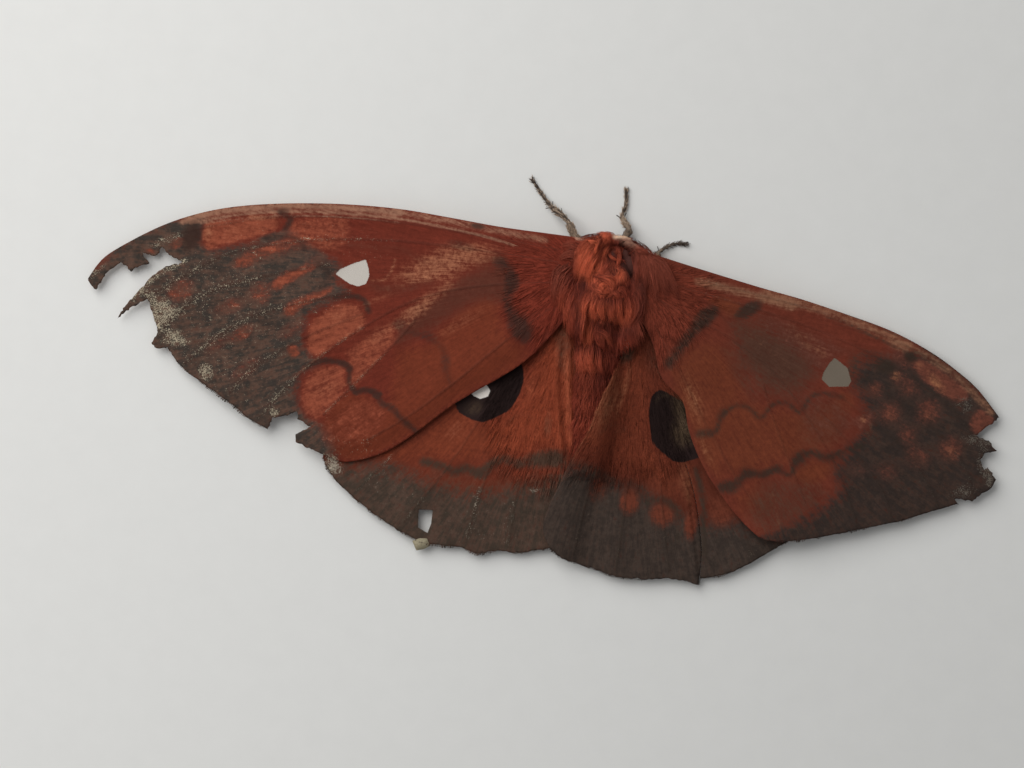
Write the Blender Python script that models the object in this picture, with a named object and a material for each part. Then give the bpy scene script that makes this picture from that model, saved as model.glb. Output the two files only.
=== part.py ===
"""Pseudobunaea cyrene, an African emperor moth at rest with its wings spread.

The moth sits flat on the floor with its head towards +Y and its back up. It is
life size and still. Every length below is in millimetres, measured from a spot
on the floor under the middle of the thorax, and the whole moth is moved at the
end so that the origin is the bottom centre of its box. Plan outlines are seen
from above, and they follow the worn and torn margins of this one moth.
"""
import math
import random
from dataclasses import dataclass, field

import bmesh
import bpy
from mathutils import Matrix, Vector, geometry

MM = 0.001
GAP = 0.3

THORAX_CENTRE = Vector((0.0, -1.4, 5.2))
THORAX_HALF = Vector((4.0, 5.9, 3.5))
HEAD_CENTRE = Vector((-0.4, 6.2, 3.9))
HEAD_HALF = Vector((1.9, 1.7, 1.5))
EYE_RADIUS = 0.95
EYE_SPREAD = 1.65

ABDOMEN_AXIS = ((0.0, -6.0), (-0.1, -10.0), (0.6, -17.6), (1.1, -23.7), (1.8, -29.8))
ABDOMEN_HALF_WIDTH = 3.5
ABDOMEN_TIP_HALF_WIDTH = 1.1
ABDOMEN_FLATTENING = 0.92
ABDOMEN_SEGMENTS = 7

WING_THICKNESS = 0.55
VEIN_HEIGHT = 0.28
VEIN_HALF_WIDTH = 0.4
VEIN_STEP = 4.0
FILL_STEP = 4.5
FOREWING_ROOT_Z = 6.8
FOREWING_TIP_Z = 1.0
FOREWING_FALL = 30.0
HINDWING_ROOT_Z = 5.0
HINDWING_MARGIN_Z = 0.9
HINDWING_FALL = 24.0
HINDWING_OVERLAP = 1.25

LEG_RADII = {"femur": 0.62, "tibia": 0.52, "tarsus": 0.36}
TOE_HEIGHT = 0.26


@dataclass(frozen=True)
class Finish:
    """Colour, roughness and metallic value of one material."""

    name: str
    colour: tuple
    roughness: float
    metallic: float = 0.0


THORAX_HAIR = Finish("thorax_hair", (0.30, 0.07, 0.025), 0.85)
ABDOMEN_HAIR = Finish("abdomen_hair", (0.28, 0.09, 0.04), 0.85)
WING_SCALES = Finish("wing_scales", (0.13, 0.045, 0.03), 0.75)
HINDWING_SCALES = Finish("hindwing_scales", (0.20, 0.07, 0.03), 0.75)
LEG_SCALES = Finish("leg_scales", (0.10, 0.07, 0.05), 0.7)
ANTENNA_SCALES = Finish("antenna_scales", (0.22, 0.12, 0.06), 0.7)
HEAD_HAIR = Finish("head_hair", (0.22, 0.07, 0.035), 0.85)
EYE_GLOSS = Finish("eye_gloss", (0.012, 0.008, 0.006), 0.2)


@dataclass(frozen=True)
class Ellipsoid:
    """A rounded lump of the body, used as a shape and to place what grows from it."""

    centre: Vector
    half: Vector

    def grown(self, distance):
        """The same lump with every half size larger by a distance."""
        return Ellipsoid(self.centre, self.half + Vector((distance,) * 3))

    def half_width(self, y, z):
        """Half width across X of the slice at y and z, or zero outside the lump."""
        rest = 1.0 - ((y - self.centre.y) / self.half.y) ** 2 - ((z - self.centre.z) / self.half.z) ** 2
        return self.half.x * math.sqrt(max(rest, 0.0))

    def point_along(self, direction, distance):
        """The point a distance off the surface, on the way out along a direction."""
        scaled = Vector(direction[i] / self.half[i] for i in range(3))
        on_surface = Vector(direction) / scaled.length
        normal = Vector(on_surface[i] / self.half[i] ** 2 for i in range(3)).normalized()
        return self.centre + on_surface + normal * distance


THORAX = Ellipsoid(THORAX_CENTRE, THORAX_HALF)
HEAD = Ellipsoid(HEAD_CENTRE, HEAD_HALF)


def curve_point(points, t):
    """Point on the smooth curve through a list of points, for t from 0 to their count - 1."""
    last = len(points) - 1
    i = min(int(t), last - 1)
    u = t - i
    before, start, end, after = (Vector(points[min(max(k, 0), last)]) for k in range(i - 1, i + 3))
    return 0.5 * ((2.0 * start) + (end - before) * u
                  + (2.0 * before - 5.0 * start + 4.0 * end - after) * u * u
                  + (3.0 * start - before - 3.0 * end + after) * u ** 3)


def smooth_line(points, step):
    """Points about one step apart along the smooth curve through a few points."""
    line = []
    for i in range(len(points) - 1):
        length = (Vector(points[i + 1]) - Vector(points[i])).length
        pieces = max(1, round(length / step))
        line += [curve_point(points, i + k / pieces) for k in range(pieces)]
    return line + [Vector(points[-1])]


def abdomen_slice(y):
    """Centre x, half width and half height of the abdomen at a distance along Y."""
    first, last = ABDOMEN_AXIS[0][1], ABDOMEN_AXIS[-1][1]
    along = min(max((first - y) / (first - last), 0.0), 1.0)
    i = max(k for k in range(len(ABDOMEN_AXIS) - 1) if ABDOMEN_AXIS[k][1] >= y or k == 0)
    (x0, y0), (x1, y1) = ABDOMEN_AXIS[i], ABDOMEN_AXIS[i + 1]
    x = x0 + (x1 - x0) * min(max((y0 - y) / (y0 - y1), 0.0), 1.0)
    taper = math.sqrt(max(1.0 - along ** 3.0, 0.0))
    half_width = ABDOMEN_TIP_HALF_WIDTH + (ABDOMEN_HALF_WIDTH - ABDOMEN_TIP_HALF_WIDTH) * taper
    return x, half_width, half_width * ABDOMEN_FLATTENING


def forewing_height(x, y):
    """Height of the middle of a forewing, high at the thorax and low at the tip."""
    fall = math.exp((4.0 - abs(x)) / FOREWING_FALL)
    return FOREWING_TIP_Z + (FOREWING_ROOT_Z - FOREWING_TIP_Z) * fall


def hindwing_height(x, y):
    """Height of the middle of a hindwing before it meets the abdomen."""
    distance = math.hypot(abs(x) - 4.0, y + 3.0)
    fall = math.exp(-distance / HINDWING_FALL)
    return HINDWING_MARGIN_Z + (HINDWING_ROOT_Z - HINDWING_MARGIN_Z) * fall


def right_hindwing_height(x, y):
    """Height of the right hindwing, which lies over the abdomen and the left hindwing."""
    centre, half_width, half_height = abdomen_slice(y)
    across = (x - centre) / (half_width + 1.6)
    end = min(max((y - ABDOMEN_AXIS[-1][1] + 3.0) / 5.0, 0.0), 1.0)
    arch = math.sqrt(max(1.0 - across ** 2, 0.0)) * end
    over_body = (half_height + (half_height + 0.95) * arch) * min(1.0, arch * 3.0)
    resting = hindwing_height(x, y)
    blend = 0.5
    top = max(resting, over_body)
    top += blend * math.log(math.exp((resting - top) / blend) + math.exp((over_body - top) / blend))
    across_left = min(max((4.0 - x) / 5.0, 0.0), 1.0)
    return top + HINDWING_OVERLAP * across_left * across_left * (3.0 - 2.0 * across_left)


def root_line(front, back, height, side):
    """Wing root along the thorax, from front to back, one gap off its surface."""
    steps = 4
    line = []
    for k in range(steps + 1):
        y = front + (back - front) * k / steps
        line.append(Vector((side * (THORAX.grown(GAP).half_width(y, height) + 0.1), y)))
    return line


@dataclass
class Wing:
    """One wing in plan: its outline in order, its holes and its main veins."""

    name: str
    finish: Finish
    height: object
    outline: list
    veins: list
    holes: list = field(default_factory=list)


LEFT_FOREWING_COSTA = [
    (-6.0, 6.2), (-11.1, 5.9), (-18.0, 5.7), (-25.7, 5.8), (-33.4, 5.8), (-41.8, 5.1), (-50.1, 3.8),
    (-57.5, 2.1), (-63.3, 0.0), (-68.9, -3.0), (-74.4, -7.1), (-77.0, -9.7), (-78.5, -12.8)]
LEFT_FOREWING_TORN_TIP = [
    (-78.0, -13.6), (-77.0, -14.2), (-76.3, -12.8), (-75.9, -11.4), (-74.0, -9.3), (-72.2, -10.7),
    (-71.7, -9.9), (-69.6, -8.9), (-71.1, -7.4), (-69.6, -7.8), (-68.6, -7.6), (-68.2, -6.0),
    (-66.6, -7.3), (-64.8, -7.9), (-67.1, -8.9), (-69.1, -10.9), (-70.5, -13.2), (-72.3, -15.2),
    (-73.0, -18.1), (-71.3, -16.2), (-69.0, -14.2), (-67.8, -16.6), (-66.4, -19.0), (-67.3, -20.8),
    (-66.4, -21.5), (-64.7, -21.0)]
LEFT_FOREWING_MARGIN = [
    (-64.7, -21.0), (-62.2, -23.5), (-58.0, -25.7), (-53.8, -27.7), (-50.4, -29.6), (-47.5, -30.6)]
LEFT_FOREWING_TORNUS = [
    (-47.0, -28.7), (-44.9, -28.1), (-43.5, -27.1), (-43.3, -28.3), (-41.0, -29.1), (-43.2, -30.6),
    (-42.9, -31.8), (-38.5, -32.9)]
LEFT_FOREWING_INNER = [
    (-38.5, -32.9), (-35.0, -33.5), (-30.0, -31.4), (-25.9, -28.0), (-19.9, -21.7), (-11.5, -14.5),
    (-7.4, -9.0), (-5.6, -4.6)]
FOREWING_VEINS = [
    [(-8.5, 3.8), (-20.6, 3.9), (-32.8, 3.8), (-43.4, 2.9), (-52.2, 1.3), (-60.0, -1.2), (-66.0, -3.6)],
    [(-8.2, 1.9), (-20.6, 1.7), (-32.8, 1.0), (-43.4, -0.6), (-52.2, -3.0), (-58.0, -5.4), (-63.0, -8.9),
     (-69.0, -14.0)],
    [(-42.5, -4.3), (-51.2, -7.5), (-59.8, -11.6), (-64.2, -15.6), (-66.3, -19.4)],
    [(-39.5, -8.2), (-46.0, -10.9), (-52.5, -14.0), (-58.1, -18.7), (-61.8, -23.1)],
    [(-36.2, -10.8), (-44.3, -15.9), (-51.0, -21.5), (-54.3, -26.4)],
    [(-7.6, -1.0), (-19.3, -3.6), (-28.0, -7.0), (-35.2, -12.3), (-42.1, -19.0), (-46.6, -25.0),
     (-49.2, -29.2)],
    [(-28.2, -10.3), (-30.6, -14.3), (-35.0, -20.6), (-39.5, -26.9)],
    [(-8.4, -5.2), (-14.9, -12.0), (-20.8, -18.8), (-27.0, -25.2), (-32.3, -29.6)]]

RIGHT_FOREWING_COSTA = [
    (5.4, 5.6), (13.1, 4.6), (22.5, 3.5), (28.8, 2.9), (35.1, 2.0), (43.1, 0.6), (49.7, -1.5),
    (54.7, -3.9), (58.2, -6.1), (61.9, -9.5)]
RIGHT_FOREWING_TORN_TIP = [
    (60.9, -10.7), (58.8, -12.9), (60.9, -13.3), (62.3, -14.6), (60.6, -15.4), (60.3, -16.4),
    (61.0, -17.9), (61.5, -17.2), (63.2, -18.9), (62.3, -20.5), (60.0, -22.8), (57.3, -22.9),
    (58.0, -23.6)]
RIGHT_FOREWING_MARGIN = [
    (58.0, -23.6), (54.0, -25.5), (49.7, -27.7), (43.6, -30.1), (36.6, -32.7), (31.5, -34.0),
    (28.8, -33.8)]
RIGHT_FOREWING_INNER = [
    (28.8, -33.8), (25.7, -31.7), (22.4, -28.8), (18.5, -24.5), (15.5, -19.6), (13.9, -15.6),
    (10.1, -12.6), (7.9, -7.9), (5.9, -4.0)]
RIGHT_FOREWING_TURN = math.radians(-4.5)
RIGHT_FOREWING_STRETCH = 0.93

LEFT_HINDWING_COSTA = [
    (-5.4, -2.2), (-12.9, -5.8), (-22.6, -11.7), (-30.6, -18.8), (-36.2, -26.5), (-38.4, -30.7),
    (-38.5, -33.5)]
LEFT_HINDWING_MARGIN = [
    (-38.5, -33.5), (-36.9, -35.8), (-33.0, -38.5), (-28.3, -41.1), (-22.6, -43.3), (-19.0, -43.6),
    (-15.5, -43.2), (-13.1, -43.8), (-9.4, -42.7), (-6.7, -42.6), (-2.0, -41.0)]
LEFT_HINDWING_UNDER_RIGHT = [(-2.0, -41.0), (-1.9, -38.0), (-1.9, -33.0)]
LEFT_HINDWING_HOLE = [(-22.4, -41.4), (-22.7, -38.7), (-20.6, -38.4), (-20.5, -40.5), (-20.8, -42.0)]
HINDWING_VEINS = [
    [(-8.0, -4.8), (-14.0, -9.0), (-20.0, -14.0), (-30.0, -24.0), (-36.0, -33.4)],
    [(-7.6, -6.6), (-12.4, -11.6), (-17.0, -17.4), (-26.0, -28.4), (-32.6, -37.4)],
    [(-14.2, -18.6), (-18.4, -29.2), (-24.6, -40.8)],
    [(-6.8, -8.4), (-9.6, -16.0), (-12.2, -24.8), (-14.2, -36.0), (-14.9, -42.2)],
    [(-6.9, -16.0), (-8.0, -23.0), (-8.5, -34.3), (-8.4, -41.5)]]

RIGHT_HINDWING_INNER = [
    (5.6, -5.4), (4.4, -8.4), (3.2, -11.8), (1.5, -17.5), (0.5, -22.3), (-1.0, -26.1), (-2.3, -31.0),
    (-3.4, -35.0), (-3.6, -38.4), (-2.0, -41.0)]
RIGHT_HINDWING_MARGIN = [
    (-2.0, -41.0), (0.0, -42.2), (3.9, -42.8), (8.0, -43.5), (12.6, -43.3), (16.9, -42.4), (21.3, -42.6)]
RIGHT_HINDWING_SLIT = [
    (20.2, -37.3), (18.9, -32.2), (17.3, -27.8), (15.7, -24.2), (17.9, -27.9), (19.5, -32.2),
    (20.8, -37.3), (21.8, -41.2)]
RIGHT_HINDWING_OUTER_MARGIN = [(21.8, -41.2), (23.4, -41.0), (26.3, -39.6), (29.7, -36.9), (33.8, -33.4)]
RIGHT_HINDWING_COSTA = [
    (33.8, -33.4), (35.4, -30.3), (33.6, -24.2), (29.3, -17.2), (22.5, -10.2), (14.4, -5.2), (5.8, -1.6)]
RIGHT_HINDWING_VEINS = [
    [(8.6, -4.6), (15.0, -8.6), (22.0, -13.8), (29.0, -23.0), (33.6, -31.6)],
    [(8.4, -7.0), (13.0, -12.6), (17.6, -18.6), (24.0, -29.0), (28.4, -36.8)],
    [(7.4, -8.6), (10.0, -16.0), (12.0, -24.8), (14.2, -34.0), (16.4, -41.3)],
    [(6.4, -12.0), (7.2, -20.0), (7.8, -28.0), (8.4, -42.2)],
    [(4.0, -16.0), (3.6, -24.0), (2.2, -32.0), (1.6, -41.2)]]

LEG_ROUTES = {
    "left_foreleg": [
        (-4.4, 6.0, 2.6), (-7.6, 8.5, 2.7), (-11.0, 10.4, 0.9), (-12.8, 12.2, None), (-14.4, 13.7, None)],
    "right_foreleg": [
        (1.6, 7.6, 1.5), (1.8, 8.9, 1.6), (0.2, 10.5, 0.8), (0.3, 12.7, None), (0.0, 14.8, None)],
    "left_midleg": [
        (-5.4, 1.6, 2.6), (-7.6, 2.4, 2.9), (-10.6, 1.2, 0.9), (-12.4, 0.3, None), (-14.4, -0.5, None)],
    "right_midleg": [
        (4.6, 2.6, 2.5), (6.2, 5.0, 2.6), (6.6, 6.4, 0.9), (8.5, 7.9, None), (10.3, 8.3, None)],
    "left_hindleg": [
        (-5.0, -6.4, 2.5), (-6.6, -8.0, 2.7), (-9.3, -13.0, 0.9), (-10.3, -16.0, None),
        (-10.9, -18.8, None)],
    "right_hindleg": [
        (5.0, -6.4, 2.5), (6.6, -8.0, 2.7), (9.0, -13.0, 0.9), (10.0, -16.0, None), (10.5, -18.8, None)]}
LEG_ROOTS = {
    "left_foreleg": (-0.45, 0.62, -1.0), "right_foreleg": (0.40, 0.62, -1.0),
    "left_midleg": (-0.75, 0.05, -1.0), "right_midleg": (0.70, 0.15, -1.0),
    "left_hindleg": (-0.62, -0.55, -1.0), "right_hindleg": (0.62, -0.55, -1.0)}

ANTENNA_ROOT = (1.5, 0.5, 0.9)
ANTENNA_ROUTE = [(2.9, 0.2, 1.45), (4.8, -0.7, 1.35), (7.4, -2.4, 1.0), (10.0, -4.4, 0.7), (12.4, -6.8, 0.4)]
ANTENNA_RADII = (0.34, 0.36, 0.34, 0.3, 0.27, 0.2)
RAMUS_COUNT = 13
RAMUS_LENGTH = 1.9
RAMUS_RADIUS = 0.27
RAMUS_LEAN = math.radians(62.0)
RAMUS_RISE = 0.07

COAT_SEED = 7
COAT_ROWS = 9
COAT_ROW_STEP = 1.2
COAT_COLUMN_STEP = 1.15
COAT_FRONT_Y = 3.6
COLLAR_Y = 2.0
LOCK_LENGTH = 5.2
LOCK_WIDTH = 1.7
LOCK_THICKNESS = 0.6
LOCK_SINK = 0.9
LOCK_CLEARANCE = 0.65
LOCK_FALL = 1.6
HEAD_CLEARANCE = 1.4
BARE_PATCH_LOW = (0.9, 1.8)
BARE_PATCH_HIGH = (3.0, 6.0)
FRINGE_LOCKS = 10
FRINGE_FAN = (math.radians(64.0), math.radians(-58.0))
FOREHEAD_LOCKS = 5
FOREHEAD_LENGTH = 1.8
FOREHEAD_WIDTH = 0.75
FOREHEAD_HALF_SPREAD = 0.4


def make_material(finish):
    """A Principled material for one finish, shared by every piece that uses it."""
    found = bpy.data.materials.get(finish.name)
    if found:
        return found
    material = bpy.data.materials.new(finish.name)
    material.use_nodes = True
    shader = material.node_tree.nodes["Principled BSDF"]
    shader.inputs["Base Color"].default_value = (*finish.colour, 1.0)
    shader.inputs["Roughness"].default_value = finish.roughness
    shader.inputs["Metallic"].default_value = finish.metallic
    return material


def add_object(name, mesh, finish, collection):
    """Link a mesh to a collection as a named object with its material."""
    for polygon in mesh.polygons:
        polygon.use_smooth = True
    mesh.set_sharp_from_angle(angle=math.radians(40.0))
    piece = bpy.data.objects.new(name, mesh)
    mesh.materials.clear()
    mesh.materials.append(make_material(finish))
    collection.objects.link(piece)
    return piece


def mesh_from(bm, name):
    """Turn a bmesh in millimetres into a mesh in metres."""
    bmesh.ops.scale(bm, vec=Vector((MM, MM, MM)), verts=bm.verts)
    mesh = bpy.data.meshes.new(name)
    bm.to_mesh(mesh)
    bm.free()
    return mesh


def ellipsoid_mesh(name, lump, segments, rings):
    """A sphere primitive stretched to an ellipsoid."""
    bm = bmesh.new()
    bmesh.ops.create_uvsphere(bm, u_segments=segments, v_segments=rings, radius=1.0)
    bmesh.ops.scale(bm, vec=lump.half, verts=bm.verts)
    bmesh.ops.translate(bm, vec=lump.centre, verts=bm.verts)
    return mesh_from(bm, name)


def tube_mesh(name, points, radii, sides=2):
    """A tube of changing radius along a few points, as one closed mesh."""
    curve = bpy.data.curves.new(name, "CURVE")
    curve.dimensions = "3D"
    curve.bevel_depth = MM
    curve.bevel_resolution = sides
    curve.use_fill_caps = True
    spline = curve.splines.new("POLY")
    spline.points.add(len(points) - 1)
    for point, place, radius in zip(spline.points, points, radii):
        point.co = (*(Vector(place) * MM), 1.0)
        point.radius = radius
    guide = bpy.data.objects.new(name, curve)
    bpy.context.scene.collection.objects.link(guide)
    shape = guide.evaluated_get(bpy.context.evaluated_depsgraph_get())
    mesh = bpy.data.meshes.new_from_object(shape)
    bpy.data.objects.remove(guide)
    bm = bmesh.new()
    bm.from_mesh(mesh)
    bmesh.ops.remove_doubles(bm, verts=bm.verts, dist=0.01 * MM)
    bmesh.ops.recalc_face_normals(bm, faces=bm.faces[:])
    bm.to_mesh(mesh)
    bm.free()
    return mesh


def flatten_underside(mesh):
    """Cut a mesh level at the floor, which leaves a small flat where it rests."""
    bm = bmesh.new()
    bm.from_mesh(mesh)
    cut = bmesh.ops.bisect_plane(bm, geom=bm.verts[:] + bm.edges[:] + bm.faces[:], dist=1e-7,
                                 plane_co=(0.0, 0.0, 0.0), plane_no=(0.0, 0.0, -1.0), clear_outer=True)
    rim = [item for item in cut["geom_cut"] if isinstance(item, bmesh.types.BMEdge)]
    bmesh.ops.edgeloop_fill(bm, edges=rim)
    bmesh.ops.recalc_face_normals(bm, faces=bm.faces[:])
    bm.to_mesh(mesh)
    bm.free()


def carve(piece, cutter):
    """Cut one piece by a hidden cutter and apply the cut."""
    cutter.hide_render = True
    cutter.display_type = "WIRE"
    cut = piece.modifiers.new("clearance", "BOOLEAN")
    cut.operation = "DIFFERENCE"
    cut.object = cutter
    shape = piece.evaluated_get(bpy.context.evaluated_depsgraph_get())
    piece.data = bpy.data.meshes.new_from_object(shape)
    piece.modifiers.clear()


def inside(point, outline):
    """Whether a plan point lies within a closed outline."""
    crossings = 0
    for a, b in zip(outline, outline[1:] + outline[:1]):
        if (a.y > point.y) != (b.y > point.y):
            crossings += point.x < a.x + (point.y - a.y) * (b.x - a.x) / (b.y - a.y)
    return crossings % 2 == 1


def distance_to(point, lines):
    """Shortest distance in plan from a point to any of several open lines."""
    nearest = math.inf
    for line in lines:
        for a, b in zip(line, line[1:]):
            foot, share = geometry.intersect_point_line(point, a, b)
            foot = a if share < 0.0 else b if share > 1.0 else foot
            nearest = min(nearest, (point - foot.xy).length)
    return nearest


def trimmed_veins(wing, borders):
    """Vein centre lines as runs of points that keep clear of the wing's edges."""
    runs = []
    for vein in wing.veins:
        run = []
        for point in smooth_line([Vector(p) for p in vein], VEIN_STEP):
            if inside(point, wing.outline) and distance_to(point, borders) > 2.0 * VEIN_HALF_WIDTH:
                run.append(point)
            elif len(run) > 1:
                break
            else:
                run = []
        if len(run) > 1:
            runs.append(run)
    return runs


def vein_sides(run):
    """The two foot lines of a vein's ridge, one on each side of its centre line."""
    sides = ([], [])
    for i, point in enumerate(run):
        along = (run[min(i + 1, len(run) - 1)] - run[max(i - 1, 0)]).normalized()
        across = Vector((-along.y, along.x)) * VEIN_HALF_WIDTH
        sides[0].append(point + across)
        sides[1].append(point - across)
    return sides


def wing_sheet(wing):
    """Flat triangles of a wing in plan, with vein lines among their edges."""
    borders = [loop + loop[:1] for loop in [wing.outline] + wing.holes]
    centres = trimmed_veins(wing, borders)
    lines = []
    for run in centres:
        lines += [run, *vein_sides(run)]
    points = []
    edges = []
    loops = [(loop, True) for loop in [wing.outline] + wing.holes]
    for line, closed in loops + [(run, False) for run in lines]:
        first = len(points)
        points += line
        edges += [(first + i, first + i + 1) for i in range(len(line) - 1)]
        if closed:
            edges.append((len(points) - 1, first))
    xs, ys = [p.x for p in wing.outline], [p.y for p in wing.outline]
    for row in range(int((max(ys) - min(ys)) / FILL_STEP) + 1):
        for column in range(int((max(xs) - min(xs)) / FILL_STEP) + 1):
            spot = Vector((min(xs) + (column + 0.5 * (row % 2)) * FILL_STEP, min(ys) + row * FILL_STEP))
            if inside(spot, wing.outline) and distance_to(spot, borders + lines) > 0.35 * FILL_STEP:
                points.append(spot)
    flat, _, triangles, *_ = geometry.delaunay_2d_cdt(points, edges, [], 1, 1e-5, False)
    kept = []
    for triangle in triangles:
        middle = sum((flat[i] for i in triangle), Vector((0.0, 0.0))) / 3.0
        if inside(middle, wing.outline) and not any(inside(middle, hole) for hole in wing.holes):
            kept.append(triangle)
    return flat, kept, centres


def build_wing(wing, collection):
    """A thin curved membrane whose main veins are ridges raised in its upper face."""
    flat, triangles, centres = wing_sheet(wing)
    bm = bmesh.new()
    verts = [bm.verts.new((p.x, p.y, wing.height(p.x, p.y) - WING_THICKNESS / 2.0)) for p in flat]
    for triangle in triangles:
        bm.faces.new([verts[i] for i in triangle])
    bmesh.ops.delete(bm, geom=[v for v in bm.verts if not v.link_faces], context="VERTS")
    upper = bmesh.ops.extrude_face_region(bm, geom=bm.faces[:])
    for vert in upper["geom"]:
        if isinstance(vert, bmesh.types.BMVert):
            off_vein = distance_to(vert.co.xy, centres) / VEIN_HALF_WIDTH
            vert.co.z += WING_THICKNESS + VEIN_HEIGHT * max(0.0, 1.0 - off_vein)
    bmesh.ops.recalc_face_normals(bm, faces=bm.faces[:])
    return add_object(wing.name, mesh_from(bm, wing.name), wing.finish, collection)


def turned(points, angle, stretch):
    """Left wing points mirrored to the right, turned about the root and stretched."""
    root = Vector((4.0, 3.0))
    result = []
    for x, y in points:
        arm = (Vector((-x, y)) - root) * stretch
        arm.rotate(Matrix.Rotation(angle, 2))
        result.append(root + arm)
    return result


def wings():
    """The four wings, each outline running round from root to root."""
    left_fore = (smooth_line(LEFT_FOREWING_COSTA, 4.0) + [Vector(p) for p in LEFT_FOREWING_TORN_TIP[:-1]]
                 + smooth_line(LEFT_FOREWING_MARGIN, 2.5) + [Vector(p) for p in LEFT_FOREWING_TORNUS[:-1]]
                 + smooth_line(LEFT_FOREWING_INNER, 3.5) + root_line(-2.6, 2.4, FOREWING_ROOT_Z, -1))
    right_fore = (smooth_line(RIGHT_FOREWING_COSTA, 4.0) + [Vector(p) for p in RIGHT_FOREWING_TORN_TIP[:-1]]
                  + smooth_line(RIGHT_FOREWING_MARGIN, 2.5) + smooth_line(RIGHT_FOREWING_INNER[1:], 3.5)
                  + root_line(-2.6, 2.4, FOREWING_ROOT_Z, 1))
    beside_abdomen = []
    for k in range(6):
        y = -29.0 + 4.2 * k
        centre, half_width, _ = abdomen_slice(y)
        beside_abdomen.append(Vector((centre - half_width - 1.5 * GAP, y)))
    left_hind = (smooth_line(LEFT_HINDWING_COSTA, 4.0)[:-1] + smooth_line(LEFT_HINDWING_MARGIN, 2.5)
                 + [Vector(p) for p in LEFT_HINDWING_UNDER_RIGHT[1:]] + beside_abdomen
                 + root_line(-5.6, -2.0, HINDWING_ROOT_Z, -1))
    right_hind = (smooth_line(RIGHT_HINDWING_INNER, 2.5)[:-1] + smooth_line(RIGHT_HINDWING_MARGIN, 2.5)
                  + [Vector(p) for p in RIGHT_HINDWING_SLIT[:-1]]
                  + smooth_line(RIGHT_HINDWING_OUTER_MARGIN, 2.5)[:-1]
                  + smooth_line(RIGHT_HINDWING_COSTA, 4.0) + root_line(-1.8, -5.4, HINDWING_ROOT_Z, 1))
    right_veins = [turned(vein, RIGHT_FOREWING_TURN, RIGHT_FOREWING_STRETCH) for vein in FOREWING_VEINS]
    return [
        Wing("left_forewing", WING_SCALES, forewing_height, left_fore, FOREWING_VEINS),
        Wing("right_forewing", WING_SCALES, forewing_height, right_fore, right_veins),
        Wing("left_hindwing", HINDWING_SCALES, hindwing_height, left_hind, HINDWING_VEINS,
             [[Vector(p) for p in LEFT_HINDWING_HOLE]]),
        Wing("right_hindwing", HINDWING_SCALES, right_hindwing_height, right_hind, RIGHT_HINDWING_VEINS)]


def loft(name, rows, tip=None):
    """A closed solid through rings of four points, ended by a point or by a flat face."""
    bm = bmesh.new()
    rings = [[bm.verts.new(p) for p in row] for row in rows]
    for start, end in zip(rings, rings[1:]):
        for k in range(4):
            bm.faces.new((start[k], start[(k + 1) % 4], end[(k + 1) % 4], end[k]))
    bm.faces.new(rings[0])
    if tip is None:
        bm.faces.new(rings[-1])
    else:
        point = bm.verts.new(tip)
        for k in range(4):
            bm.faces.new((rings[-1][k], rings[-1][(k + 1) % 4], point))
    bmesh.ops.triangulate(bm, faces=bm.faces[:])
    bmesh.ops.recalc_face_normals(bm, faces=bm.faces[:])
    return mesh_from(bm, name)


def largest_surface(mesh):
    """Keep only the largest closed surface of a mesh."""
    bm = bmesh.new()
    bm.from_mesh(mesh)
    left = set(bm.verts)
    surfaces = []
    while left:
        surface = set()
        front = [left.pop()]
        while front:
            vert = front.pop()
            surface.add(vert)
            joined = {edge.other_vert(vert) for edge in vert.link_edges} & left
            left -= joined
            front += joined
        surfaces.append(surface)
    keep = max(surfaces, key=len)
    bmesh.ops.delete(bm, geom=[v for v in bm.verts if v not in keep], context="VERTS")
    bm.to_mesh(mesh)
    bm.free()


def unite(piece, extras):
    """Join a collection of closed pieces to one object, then remove the collection."""
    join = piece.modifiers.new("join", "BOOLEAN")
    join.operation = "UNION"
    join.operand_type = "COLLECTION"
    join.collection = extras
    shape = piece.evaluated_get(bpy.context.evaluated_depsgraph_get())
    piece.data = bpy.data.meshes.new_from_object(shape)
    piece.modifiers.clear()
    for extra in list(extras.objects):
        bpy.data.objects.remove(extra)
    bpy.data.collections.remove(extras)
    largest_surface(piece.data)


def lump_top(lump, x, y):
    """Height of the upper side of a lump over a plan point, or zero beside it."""
    rest = 1.0 - ((x - lump.centre.x) / lump.half.x) ** 2 - ((y - lump.centre.y) / lump.half.y) ** 2
    return lump.centre.z + lump.half.z * math.sqrt(rest) if rest > 0.0 else 0.0


def covered_height(x, y):
    """Height of whatever lies under the coat: thorax, head, abdomen and wings."""
    membrane_top = WING_THICKNESS / 2.0 + VEIN_HEIGHT
    centre, half_width, half_height = abdomen_slice(y)
    heights = [lump_top(THORAX, x, y), lump_top(HEAD.grown(HEAD_CLEARANCE), x, y)]
    if abs(x) > 2.2 or y < 3.4:
        heights.append(forewing_height(x, y) + membrane_top)
    if y < THORAX_CENTRE.y and x > 2.4:
        heights.append(right_hindwing_height(x, y) + membrane_top)
    if y < -6.0 and abs(x - centre) < half_width:
        heights.append(2.0 * half_height)
    return max(heights)


def lock_heading(x, y, draw):
    """Plan direction in which the coat lies: out over the wing bases, then backwards."""
    if y > COLLAR_Y - COAT_ROW_STEP:
        return Vector((math.copysign(1.0, x), draw.uniform(-0.75, -0.2))).normalized()
    return Vector((0.42 * x + draw.uniform(-0.3, 0.3), -1.0)).normalized()


@dataclass
class Lock:
    """One lock of the coat: its root in plan, the way it lies and its size."""

    x: float
    y: float
    heading: Vector
    length: float
    width: float


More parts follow.
